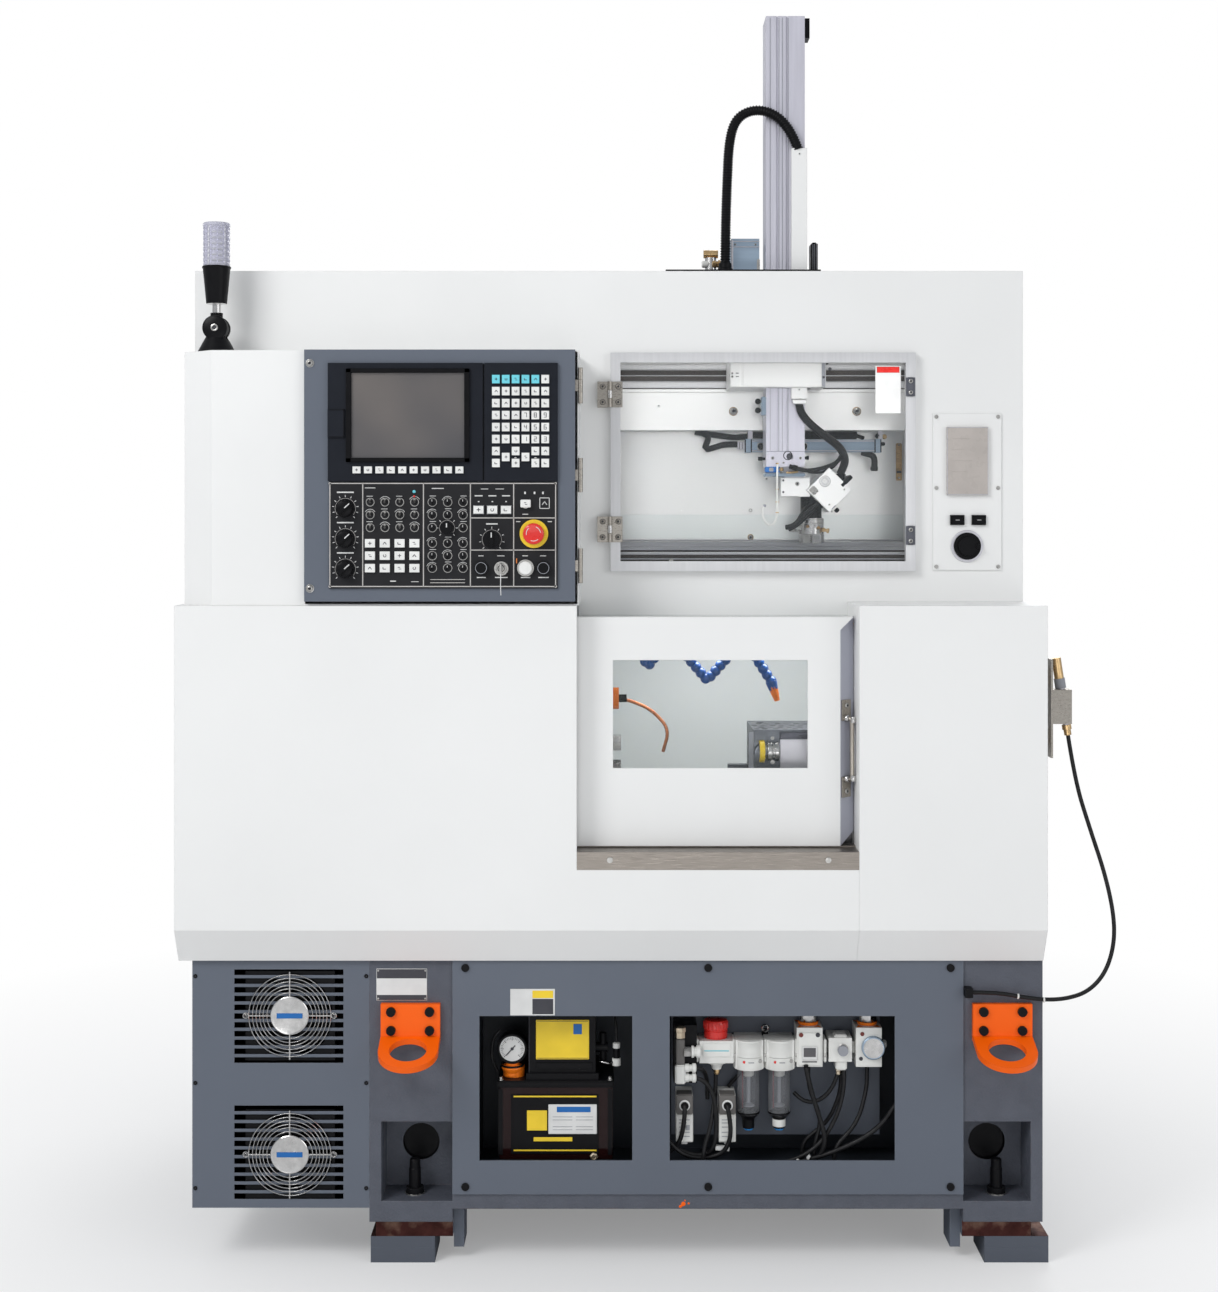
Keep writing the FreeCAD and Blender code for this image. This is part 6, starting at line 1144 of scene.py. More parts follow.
DIAL = (681, 1382)
DISPLAY_FACE = -419
SCALE_FACE = -408


def loader_panel_marks():
    """Frame of the small display, its buttons, and the pulse dial with its scale."""
    bits = Bits()
    for z in (1484.8, 1618.2):
        bits.dash(640.6, 721.4, z, 1.2, DISPLAY_FACE, ALUMINIUM)
    for x in (640.6, 721.4):
        bits.stroke((x, 1484.8), (x, 1618.2), 1.2, DISPLAY_FACE, ALUMINIUM)
    for number, z in enumerate((1596, 1574, 1552, 1530)):
        bits.stroke((650, z), (650 + (34, 22, 40, 28)[number], z), 1.1, DISPLAY_FACE, DISPLAY)
    for x in (661, 704):
        bits.bar((x - 12, x + 12), (-419.4, -416), (1426, 1442), BLACK, 1.6)
        bits.dash(x - 4, x + 4, 1434, 1.0, -419.4)
    bits.ticks(*DIAL, 29, 31.4, 0, 356.4, 50, 0.6, -411, INK)
    bits.ticks(*DIAL, 28, 31.4, 0, 324, 10, 1.0, -411, INK)
    reach = 37.4
    for number in range(10):
        turn = math.radians(36 * number)
        bits.digit(number, DIAL[0] + reach * math.sin(turn),
                   DIAL[1] + reach * math.cos(turn), 4.2, SCALE_FACE, INK)
    bits.stroke((681, 1413.5), (681, 1417), 1.2, SCALE_FACE, INK)
    bits.place("loader_panel_marks", "frame", "white_paint")
    dial = Bits()
    dial.turned((DIAL[0], -413.4, DIAL[1]), FRONT,
                [(26.9, -1), (26.9, 0.6), (25, 1.4), (19.4, 1.6)], BLACK, 48)
    dial.turned((DIAL[0], -419.6, DIAL[1]), FRONT,
                [(19.2, -5), (19.2, 0.4), (17.6, 1.6), (8, 1.2), (0, 1.2)], BLACK, 40)
    dial.stroke((681, 1403), (681, 1407), 1.6, -414.6)
    dial.turned((700.8, -424.2, 1382), FRONT, [(4.1, -4), (4.3, 0), (3.4, 2.4), (0, 3.2)], BLACK, 20)
    dial.place("dial_top", "dial", "black_plastic")


def panel_screws():
    """The two screws at the free edge of the panel door."""
    bits = Bits()
    for z in (1732, 1304):
        bits.turned((-601, -590, z), FRONT, [(8, 0), (8, 1), (6.6, 1.2)], SCREW_STEEL, 28)
        bits.screw(-601, -591, z, 6.2)
    bits.place("panel_screws", "panel", "bare_steel")


operator_marks()
display_marks()
for number, level in enumerate(OVERRIDE_LEVELS):
    knob_pointer(number + 1, level)
push_buttons()
loader_panel_marks()
panel_screws()


# ---------------------------------------------------------------- loader cell


CELL_WIDTH = (-39, 609)
RAIL_LENGTH = (-36, 606)
CELL_BACK = -60


def cell_fixings():
    """The rail's slots as dark bands of painted shade, its bolts, the wall's seams and the rails along the
    floor of the cell.
    """
    bits = Bits()
    bits.bar(RAIL_LENGTH, (-180.4, -174), (1726, 1751.4), RAIL_ALUMINIUM, 0.4)
    # Dark bands in front of the rail where its slots are: painted shade of the slots
    for low, high in ((1728, 1738.4), (1740.4, 1750.6)):
        bits.bar(RAIL_LENGTH, (-181, -174), (low, high), RAIL_SLOT_SHADE, 0.4)
    bits.bar(RAIL_LENGTH, (-181.4, -174), (1713.2, 1725.6), FRAME_ALUMINIUM, 1.0)
    # A thin dark band of painted shade in the gap between the rail's cover and its white strip
    bits.bar(RAIL_LENGTH, (-180.6, -174), (1711.2, 1713.2), RAIL_SLOT_SHADE, 0.3)
    bits.bar(RAIL_LENGTH, (-181.4, -174), (1703.6, 1711), WHITE, 0.8)
    bits.bar(RAIL_LENGTH, (-181.4, -176), (1752, 1761.6), FRAME_ALUMINIUM, 1.4)
    for x in (230, 491):
        bits.turned((x, -180, 1664), FRONT, [(9.4, 0), (9.4, 1.2), (8.2, 1.8)], GOLD, 24)
        bits.screw(x, -185, 1664, 7.4)
    bits.screw(72, -180, 1676, 3.4, WHITE)
    # Seams and bolts of the back wall
    bits.bar((62.3, 63.9), (-60.8, -59.9), (1449, 1929), GREY_PLASTIC)
    bits.bar(CELL_WIDTH, (-60.8, -59.9), (1447.6, 1449.4), GREY_PLASTIC)
    bits.bar(CELL_WIDTH, (-64, CELL_BACK), (1392, 1447.4), WHITE_INSIDE, 1.4)
    bits.bar(CELL_WIDTH, (-68, CELL_BACK), (1388.6, 1391.6), ALUMINIUM, 0.8)
    for z, y in ((1455, CELL_BACK), (1396.6, CELL_BACK - 4)):
        bits.turned((275, y, z), FRONT, [(6.6, 0), (6.6, 0.9), (5, 1.4)], GOLD, 20)
        bits.screw(275, y - 1, z, 4.8)
    for x in (29, 60, 113):
        bits.turned((x, CELL_BACK, 1462), FRONT, [(2.8, 0), (2.8, 0.6), (1.4, 0.6), (0, 0.3)], INK, 14)
    # Grooved rails across the floor of the cell, their grooves drawn as dark bands of painted shade
    for y, z, height in ((-120, 1347, 40), (-168, 1344, 34), (-352, 1343, 26)):
        bits.bar(CELL_WIDTH, (y - 24, y + 22), (z, z + height), RAIL_ALUMINIUM, 2.0)
        for share in (0.30, 0.68):
            level = z + height * share
            bits.bar(CELL_WIDTH, (y - 24.6, y - 20), (level - 3.4, level + 3.4), RAIL_SLOT_SHADE, 0.5)
            bits.bar(CELL_WIDTH, (y - 25.4, y - 22), (level + 3.6, level + 5.2), ALUMINIUM, 0.5)
    bits.turned((92, -378, 1351), (0, -1, 0.3), [(4.6, 0), (4.6, 2.4), (2.4, 4), (0, 4.4)], SCREW_STEEL, 16)
    bits.bar((232, 256), (-392, -378), (1346, 1353), BLACK, 1.5)
    # Gilded strip near the right-hand wall
    bits.bar((591.5, 604.5), (-66, CELL_BACK), (1520, 1601), GOLD, 1.2)
    bits.bar((592.5, 603.5), (-67.2, -65.8), (1536, 1541), INK, 0.5)
    bits.bar((592.2, 603.8), (-67.6, -65.8), (1542, 1596), GOLD, 0.8)
    for z in (1526, 1597):
        bits.screw(598, -66, z, 2.2)
    bits.bar((600, 606.4), (-188, -180), (1725, 1748), BLACK, 1.2)
    bits.place("cell_fixings", "frame", "silver_aluminium")


def cell_hoses():
    """Hoses and cables round the air cylinder under the beam."""
    bits = Bits()
    bits.bar((300, 496), (-150, -132), (1607, 1623), BLACK_METAL, 1.0)
    bits.bar((484, 512), (-150, -136), (1609, 1617), BLACK_METAL, 1.0, (498, 1613), 18)
    bits.bar((262, 300), (-152, -132), (1608, 1622), BLACK_METAL, 1.0)
    bits.tube([(150, -148, 1622), (178, -150, 1617), (208, -152, 1613), (238, -150, 1609), (262, -146, 1612)],
              6.4, RUBBER)
    bits.tube([(168, -150, 1618), (180, -152, 1614), (176, -158, 1600), (170, -160, 1586),
               (176, -160, 1584), (196, -158, 1590), (212, -158, 1595), (240, -158, 1595)], 6.6, RUBBER)
    bits.bar((240, 256.4), (-166, -149), (1584, 1600), ALUMINIUM, 1.6)
    for x in (244, 250):
        bits.stroke((x, 1585), (x, 1599), 1.0, -166, BLACK)
    for x in (256, 268.6, 531, 543.4):
        bits.bar((x - 1.2, x + 1.2), (-173.4, -171.6), (1577.6, 1605.4), BLACK_METAL, 0.4)
    for x in (289, 380):
        bits.turned((x, -171, 1590), FRONT,
                    [(7, 0), (7, 3), (5, 4.4), (3.4, 4.4), (2.6, 2), (0, 2)], BLACK, 20)
        bits.bar((x - 7.5, x + 7.5), (-173, -168), (1582, 1598), SCREW_STEEL, 1.4)
    bits.bar((268, 532), (-172.6, -166), (1600.4, 1603), ALUMINIUM, 0.8)
    bits.bar((268, 532), (-172.6, -166), (1580, 1582), ALUMINIUM, 0.6)
    bits.tube([(505, -160, 1578), (514, -164, 1575), (527, -166, 1572), (532, -166, 1560), (530, -166, 1545)],
              6.8, RUBBER)
    bits.turned((530, -166, 1547), DOWN, [(8, 0), (8, 7), (6.4, 9), (0, 9)], RUBBER, 20)
    for x, z in ((538, 1613), (552, 1611)):
        bits.turned((x, -158, z), FRONT, [(5.4, 0), (5.4, 6), (3.6, 8), (0, 8)],
                    BRASS if x > 540 else BLACK, 18)
    bits.turned((548, -158, 1596), RIGHT, [(4, -6), (4, 4), (2.6, 6), (0, 6)], BLACK, 16)
    bits.place("cell_hoses", "frame", "rubber_black")


CARRIAGE_FACE = -319.4
CARRIAGE_COVER = (CARRIAGE_FACE, -300)


def carriage_fixings():
    """Cover joints, end plates and small fittings of the carriage."""
    bits = Bits()
    bits.bar((214.4, 237), CARRIAGE_COVER, (1705.4, 1765.6), WHITE, 1.6)
    bits.bar((238.4, 399), CARRIAGE_COVER, (1705.4, 1765.6), WHITE, 2.4)
    bits.bar((400.4, 410.4), (-318.8, -300), (1705.4, 1765.6), GREY_PLASTIC, 1.2)
    for z in (1727, 1734):
        bits.screw(219, CARRIAGE_FACE, z, 2.4)
        bits.dash(226, 232, z, 1.8, CARRIAGE_FACE, INK)
    bits.turned((216, -312, 1730), LEFT, [(4.4, 0), (4.4, 1.4), (3, 1.8), (0, 1.8)], COPPER, 16)
    bits.screw(405.4, -318.8, 1726, 2.6, INK)
    bits.turned((413, -306, 1760), (0, -1, 0.4), [(5.4, -6), (5.4, 4), (3.4, 6), (0, 6)], BLACK, 16)
    bits.turned((432, -200, 1752), FRONT, [(3.6, 0), (3.6, 1.4), (0, 1.6)], INK, 16)
    # Clamp with its two dark knobs at the column's left edge
    bits.bar((281, 290.4), (-292, -262), (1650, 1688), CYLINDER, 1.4)
    for z in (1678.5, 1660):
        bits.turned((274, -284, z), FRONT, [(5.8, -8), (6.2, 0), (5.4, 4), (3, 4.8), (0, 4.8)], BLACK, 22)
        bits.turned((274, -284, z), RIGHT, [(2.4, 0), (2.4, 10)], SCREW_STEEL, 12)
    bits.place("carriage_fixings", "carriage", "white_paint")


def roof_fixings():
    """Fittings of the carriage's top plate above the roof."""
    bits = Bits()
    bits.turned((199, -246, 1966), LEFT, [(9, 0), (9, 5), (6.6, 5.6), (6.6, 10), (9.4, 10.6), (9.4, 17),
                                          (6, 18), (6, 24), (0, 24)], BRASS, 6)
    bits.turned((174, -246, 1966), LEFT,
                [(6.6, 0), (7.2, 3), (7.2, 12), (5.6, 14), (0, 14)], WHITE_PLASTIC, 22)
    for z in (1998, 2009.4):
        bits.bar((219.4, 278.6), (-271.6, -209), (z, z + 2.0), ALUMINIUM, 0.8)
    bits.bar((219.4, 224), (-271.8, -268), (1950, 2014), ALUMINIUM, 1.0)
    bits.bar((273, 279), (-272, -262), (1950, 1974), SCREW_STEEL, 1.4)
    for x in (228, 270):
        bits.screw(x, -270, 2004, 2.4)
    for x in (389, 392.6, 396.4):
        bits.bar((x, x + 1.3), (-262.4, -260.6), (1948, 2006), GREY_PLASTIC, 0.4)
    bits.bar((388, 398), (-258, -222), (2006, 2010), BLACK, 1.4)
    bits.turned((206, -292, 1946), UP, [(16, 0), (16, 4), (13.4, 6), (13.4, 15), (11.4, 17)], BLACK, 28)
    bits.place("roof_fixings", "carriage", "brass_metal")


def column_fixings():
    """Grooves, end block, clip and cables that travel with the column."""
    bits = Bits()
    for x in (299, 317, 324, 336):
        bits.bar((x, x + 1.0), (-281.0, -279.6), (1576, 2470), GREY_PLASTIC)
    bits.bar((291.4, 370.6), (-280.8, -279.4), (1574.6, 1576.2), GREY_PLASTIC)
    bits.bar((343, 373), (-299.4, -297), (1672, 1682), WHITE, 1.2)
    for z in (1702, 2186):
        bits.screw(358, -298, z, 2.6, WHITE)
    for z in (2441, 2462):
        bits.turned((371, -250, z), RIGHT, [(5.4, 0), (5.4, 3), (3.6, 3.6), (3.6, 6), (6.2, 6.4), (6.2, 10.4),
                                            (4, 11.6), (0, 12)], BLACK, 20)
    # End block: a dark bore, a bolt, two pins and the sensor under it
    bits.turned((336, -280, 1567), FRONT, [(9.6, 0), (9.6, 1.2), (7.8, 1.4), (7.6, -3), (0, -3)], INK)
    bits.screw(304.6, -280, 1562, 3.4)
    bits.screw(362, -280, 1562, 3.0)
    bits.turned((291, -262, 1561), LEFT, [(3, 0), (3, 6), (4, 6.4), (4, 15), (0, 15.4)], BLACK, 16)
    bits.turned((371, -262, 1563), RIGHT, [(3, 0), (3, 5), (4.2, 5.4), (4.2, 10), (0, 10.4)], BLACK, 16)
    bits.bar((289, 321), (-284, -256), (1532, 1544), SATIN_BLUE, 1.6)
    bits.bar((297, 306), (-285, -283), (1534, 1542), SCREW_STEEL, 0.8)
    bits.bar((288.4, 372), (-282, -236), (1524, 1530.6), CYLINDER, 1.4)
    bits.bar((322, 384), (-264.6, -262), (1482, 1522), WHITE, 1.2)
    bits.screw(357, -264.4, 1509, 4.2)
    for z in (1492, 1516):
        bits.screw(328, -264.4, z, 2.2, INK)
    for x, z in ((292, 1519), (327, 1552)):
        bits.screw(x, -282, z, 2.4)
    # Branch hose with its brass elbow, and finer cables beside it
    bits.tube([(451, -256, 1572), (444, -262, 1556), (424, -272, 1546), (398, -284, 1538),
               (372, -292, 1535), (350, -294, 1541), (338, -292, 1545)], 4.4, RUBBER)
    bits.tube([(447, -246, 1560), (436, -256, 1545), (420, -268, 1538), (400, -278, 1530), (378, -286, 1533)],
              2.6, RUBBER)
    bits.turned((350, -293, 1541), (-1, 0, 0.25), [(6, -4), (6, 5), (4.4, 6), (4.4, 12), (0, 12)], BLACK, 18)
    bits.turned((322, -288, 1538), FRONT, [(4.4, -4), (4.4, 2), (2.8, 3.4), (0, 3.4)], BRASS, 16)
    bits.tube([(332, -290, 1532), (344, -292, 1531), (356, -288, 1534)], 2.2, BRASS)
    # White cable hanging in a loop under the end block
    bits.tube([(314, -288, 1553), (313.4, -290, 1530), (312.6, -291, 1500), (313.4, -291, 1466),
               (313, -290, 1444), (308, -289, 1427), (298, -288, 1422), (288, -288, 1430),
               (282.6, -287, 1446), (283, -286, 1458), (287.6, -285, 1464)], 2.1, WHITE_PLASTIC, 12)
    bits.turned((287.6, -285, 1463), (0.3, 0, 1), [(3, -2), (3, 3), (0, 4)], GREY_PLASTIC, 14)
    for z in (1549, 1496, 1470, 1448):
        bits.bar((309.8, 316.4), (-292.6, -286), (z, z + 2.6), BRASS, 0.6)
    bits.place("column_fixings", "column", "silver_aluminium")


def rotary_head_fixings():
    """The housing's bearing cover, side plate and switch."""
    bits = Bits()
    bits.turned((412, -285, 1514), FRONT, [(11.4, 0), (11.4, 1.6), (9.6, 2.2), (8.2, 1.2), (5.4, 1.2),
                                           (4.6, 2.4), (2, 2.4), (1.6, 1.2), (0, 1.2)], MARK_WHITE, 36)
    bits.arc(412, 1514, 10.4, 0, 360, 1.5, -286.6, INK, 36)
    bits.arc(412, 1514, 6.8, 0, 360, 0.9, -286.6, GREY_PLASTIC, 30)
    bits.bar((452, 461), (-286, -196), (1499, 1529), BLACK, 1.2, (456.5, 1514), 45)
    bits.bar((381, 397), (-287.4, -284), (1488, 1502), SCREW_STEEL, 1.6, (389, 1495), 45)
    for x, z in ((421, 1466), (452, 1497), (426, 1452)):
        bits.screw(x, -285, z, 2.0)
    bits.bar((424, 436), (-285.8, -284), (1459, 1461.4), GREY_PLASTIC, 0.4, (430, 1460), -45)
    bits.bar((388.5, 453.5), (-285.4, -284.4), (1463.5, 1528.5), WHITE, 1.0, (421, 1496), 45)
    bits.turned((438, -250, 1457), (1, 0, -1), [(5, 0), (5, 6), (3.4, 8), (0, 8)], BLACK, 16)
    bits.place("rotary_head_fixings", "column", "white_paint")


def gripper_fixings():
    """Cables and fittings on the swivelling gripper."""
    bits = Bits()
    bits.tube([(404, -266, 1470), (392, -284, 1462), (376, -290, 1450), (362, -290, 1438),
               (352, -288, 1426), (342, -284, 1420), (332, -280, 1419)], 5.4, RUBBER)
    bits.tube([(398, -262, 1462), (384, -276, 1450), (368, -282, 1434), (352, -280, 1421), (338, -276, 1414)],
              4.2, RUBBER)
    bits.tube([(390, -266, 1466), (372, -280, 1462), (362, -282, 1444), (354, -282, 1430), (346, -280, 1418)],
              2.8, RUBBER)
    bits.bar((386, 410), (-270, -258), (1455, 1474), BLACK, 2.4, (398, 1464), -25)
    for start in ((338, -278, 1418), (345, -274, 1413), (352, -280, 1422)):
        bits.turned(start, (0.9, 0.4, -0.1),
                    [(3.4, -3), (3.4, 4), (2.4, 5), (2.4, 16), (0, 16)], SCREW_STEEL, 14)
    for z, radius in ((1436, 27.4), (1428.6, 27.6)):
        bits.turned((388, -240, z), DOWN,
                    [(radius - 1.4, 0), (radius, 0.5), (radius, 1.6), (radius - 1.4, 2.1)], SCREW_STEEL, 44)
    for x, z in ((378, 1421), (401, 1418)):
        bits.turned((x, -266, z), FRONT, [(3.4, 0), (3.4, 2.4), (1.8, 3), (1.4, 1.6), (0, 1.6)], GOLD, 16)
    bits.bar((392, 399), (-268.4, -264), (1418, 1428), POLISHED, 1.0)
    bits.turned((410, -256, 1414), (1, -0.5, -0.2),
                [(4.4, 0), (4.8, 3), (3.2, 6), (3.2, 10), (5, 11), (5, 14), (0, 15)], BRASS, 18)
    bits.place("gripper_fixings", "gripper", "ground_steel")


cell_fixings()
cell_hoses()
carriage_fixings()
roof_fixings()
column_fixings()
rotary_head_fixings()
gripper_fixings()


# ---------------------------------------------------------------- base, fans and the service bays


def ring(bits, x, y, z, radius, wire, material, sides=56):
    """A wire ring that faces the front."""
    return bits.turned(
        (x, y, z), (0, -1, 0),
        [(radius - wire, 0), (radius, wire), (radius + wire, 0), (radius, -wire), (radius - wire, 0)],
        material, sides,
    )


BASE_FACE = -542
FAN_X = -647
FAN_LEVELS = (480.5, 213.4)


def base_fixings():
    """Fan guards, cabinet screws, plates and stud sleeves on the base."""
    bits = Bits()
    for z in FAN_LEVELS:
        for radius in (44, 51.6, 58, 65, 71.8, 79):
            ring(bits, FAN_X, -545, z, radius, 1.0, POLISHED)
        bits.turned((FAN_X, -543.5, z), FRONT,
                    [(36.8, 0), (36.8, 2), (35.4, 3), (33, 2.6), (0, 2.6)], POLISHED, 56)
        bits.bar((FAN_X - 25, FAN_X + 25), (-546.7, -546), (z - 5, z + 5), SATIN_BLUE, 0.2)
        for side in (-1, 1):
            bits.bar((FAN_X - 1.2, FAN_X + 1.2), (-546.4, -543.6),
                     tuple(sorted((z + 36 * side, z + 85 * side))), POLISHED, 0.8)
            bits.bar(tuple(sorted((FAN_X + 36 * side, FAN_X + 80 * side))),
                     (-546.4, -543.6), (z - 1.2, z + 1.2), POLISHED, 0.8)
            ring(bits, FAN_X + 84.8 * side, -545, z, 5.0, 1.1, POLISHED, 24)
            bits.screw(FAN_X + 84.8 * side, BASE_FACE, z, 3.6, POLISHED)
    for z in (556, 350.4, 147.9):
        for x in (-500, -829):
            bits.screw(x, BASE_FACE, z, 4.0, BLACK_METAL)
    # Plain plates: one on the left leg, one on the front cover
    bits.bar((-480.5, -382.9), (-543.2, -541.9), (509.2, 570.7), MARK_WHITE, 0.5)
    for z in ((552, 569.6), (510.2, 520)):
        bits.bar((-479.5, -383.9), (-543.5, -543), z, INK, 0.2)
    for x in (-477, -386.4):
        for z in (566.8, 513):
            bits.turned((x, -543.4, z), FRONT, [(1.9, 0), (1.6, 0.6), (0, 0.9)], SCREW_STEEL, 14)
    bits.bar((-222.7, -136.6), (-547.2, -545.9), (481.4, 532.6), MARK_WHITE, 0.5)
    for z, material in (((484, 513.4), INK), ((515, 529.4), YELLOW)):
        bits.bar((-180, -140), (-547.5, -547), z, material, 0.2)
    # Black dishes at the back of the core holes, which are painted shade, and the stud sleeves in the pockets
    for core_x, stud_x in ((-403, -411), (712, 722)):
        bits.turned((core_x, -451.6, 209), BACK, [(35.8, 0), (35.4, 6), (34.6, 10), (0, 12)], BLACK, 48)
        bits.turned((stud_x, -495, 123), UP, [(20, 0), (20, 1.4), (18.6, 2), (10, 2)], SCREW_STEEL)
        bits.turned((stud_x, -495, 123), UP, [(18, 1.6), (18, 3), (11.8, 3.4), (11.6, 48), (10.4, 49.4),
                                              (10.4, 64.5), (8.4, 67), (0, 67.4)], BLACK, 28)
    # Chips of orange paint on the casting under the cover
    for x, z, radius in ((110.4, 117.6, 4.6), (107, 114.2, 2.6), (120.6, 118.4, 2.2),
                         (104.6, 112.4, 3.0), (113.6, 124, 1.6)):
        bits.turned((x, BASE_FACE, z), FRONT, [(radius, 0), (radius * 0.8, 0.25), (0, 0.3)], ORANGE, 7)
    bits.place("base_fixings", "frame", "black_plastic")


LUBRICATOR_GAUGE = (-222, 401)
PUMP_PRINT = (-501.5, -501)
TANK_PRINT = (-512, -511.4)
LABEL_PRINT = (-513.5, -513)
REGULATOR_GAUGE = (480, 410)


def lubricator_details():
    """Pressure gauge, plain plates, rim and fittings of the lubricator."""
    bits = Bits()
    bits.turned((-222, -482, 401), FRONT,
                [(29.6, 0), (29.6, 6.4), (28.4, 8), (25.6, 8), (24.4, 6.6), (24.2, 5.4)], BLACK, 56)
    bits.turned((-222, -482, 401), FRONT, [(24.6, 6.2), (0, 6.3)], MARK_WHITE, 48)
    bits.ticks(*LUBRICATOR_GAUGE, 18.4, 22.4, -135, 135, 31, 0.6, -488.3, INK)
    bits.ticks(*LUBRICATOR_GAUGE, 16.4, 22.6, -135, 135, 7, 1.1, -488.3, INK)
    bits.bar((-223, -221), (-489.4, -488.8), (392, 418), INK, 0.2, LUBRICATOR_GAUGE, 222)
    bits.turned((-222, -488.3, 401), FRONT, [(3, 0), (3, 1.2), (0, 1.6)], INK, 20)
    bits.turned((-222, -478, 372), DOWN,
                [(13, 0), (13, 4), (20, 5), (21.4, 9), (19.6, 13), (16, 18), (16, 24)], ORANGE_PLASTIC, 36)
    bits.turned((-222, -478, 366), UP, [(22.4, 0), (22.4, 2.4), (20.4, 3.4)], BLACK, 36)
    # Pump body: plain yellow field, a step in its front and a seam
    bits.bar((-175, -71.5), (-501.2, -499.9), (384, 461), YELLOW, 0.5)
    for z in (386, 458):
        bits.bar((-173, -73.5), PUMP_PRINT, (z, z + 0.9), INK)
    bits.bar((-102, -85.5), (-501.7, -501), (433, 453), SATIN_BLUE, 0.2)
    bits.bar((-175, -64), (-503, -499.6), (365, 378.4), BLACK, 1.2)
    bits.bar((-189, -187.6), (-500.6, -480), (345, 470), INK, 0.3)
    # Tank: dark rim, its bolts and the plain plates on its front
    bits.bar((-249.5, -23.5), (-513, -378.6), (332, 345.4), BLACK, 2.4)
    for x in (-243, -31):
        bits.bar((x - 5.5, x + 5.5), (-511.4, -505), (200, 331), BLACK, 1.6)
        bits.turned((x, -505, 345.2), UP,
                    [(5.6, 0), (5.6, 1.4), (3.8, 1.6), (3.8, 6), (2.4, 7), (0, 7)], SCREW_STEEL, 18)
    bits.bar((-223, -53), (-511.6, -509.9), (203.5, 319), BLACK, 0.5)
    for z in (315, 210.4):
        bits.bar((-218, -57), TANK_PRINT, (z - 1.5, z + 1.5), YELLOW, 0.2)
    bits.bar((-192, -153), TANK_PRINT, (249, 288), YELLOW, 0.2)
    bits.bar((-179, -104), TANK_PRINT, (228, 236), YELLOW, 0.2)
    bits.bar((-150.5, -56.3), (-513.2, -511.4), (242.5, 300), MARK_WHITE, 0.7)
    bits.bar((-134, -68.5), (-513.6, -513), (285, 295.6), SATIN_BLUE, 0.2)
    for z in (276, 270, 257, 251):
        for x in ((-142, -104), (-97, -64)):
            bits.bar(x, LABEL_PRINT, (z - 0.5, z + 0.5), LINE_GREY)
    # Level switch and the feed line at the right
    bits.turned((-18.3, -476, 365), UP, [(7, 0), (8.6, 1), (8.6, 14), (5.6, 15), (5.6, 34), (7.2, 35),
                                         (7.2, 44), (3.6, 46), (0, 46)], WHITE_PLASTIC, 24)
    bits.turned((-18.3, -476, 380.4), UP, [(6.4, 0), (6.4, 19), (5, 20)], BLACK, 24)
    bits.tube([(-18.3, -476, 410), (-18.6, -476, 432), (-20, -470, 455), (-26, -458, 478)], 2.8, RUBBER)
    bits.tube([(-52, -482, 374), (-44, -486, 375), (-34, -484, 371), (-26, -480, 372), (-20, -478, 374)],
              2.4, POLISHED)
    bits.tube([(-251, -470, 352), (-262, -474, 372), (-263, -476, 398), (-258, -476, 424), (-246, -474, 434)],
              3.0, RUBBER)
    bits.turned((-62, -511, 199), FRONT, [(8, 0), (8, 5), (5, 7), (4, 5), (0, 5)], BRASS_LIGHT, 6)
    bits.place("lubricator_details", "frame", "black_plastic")


BOWL_Y = -480.5
VALVE_PRINT = (-513, -512.4)


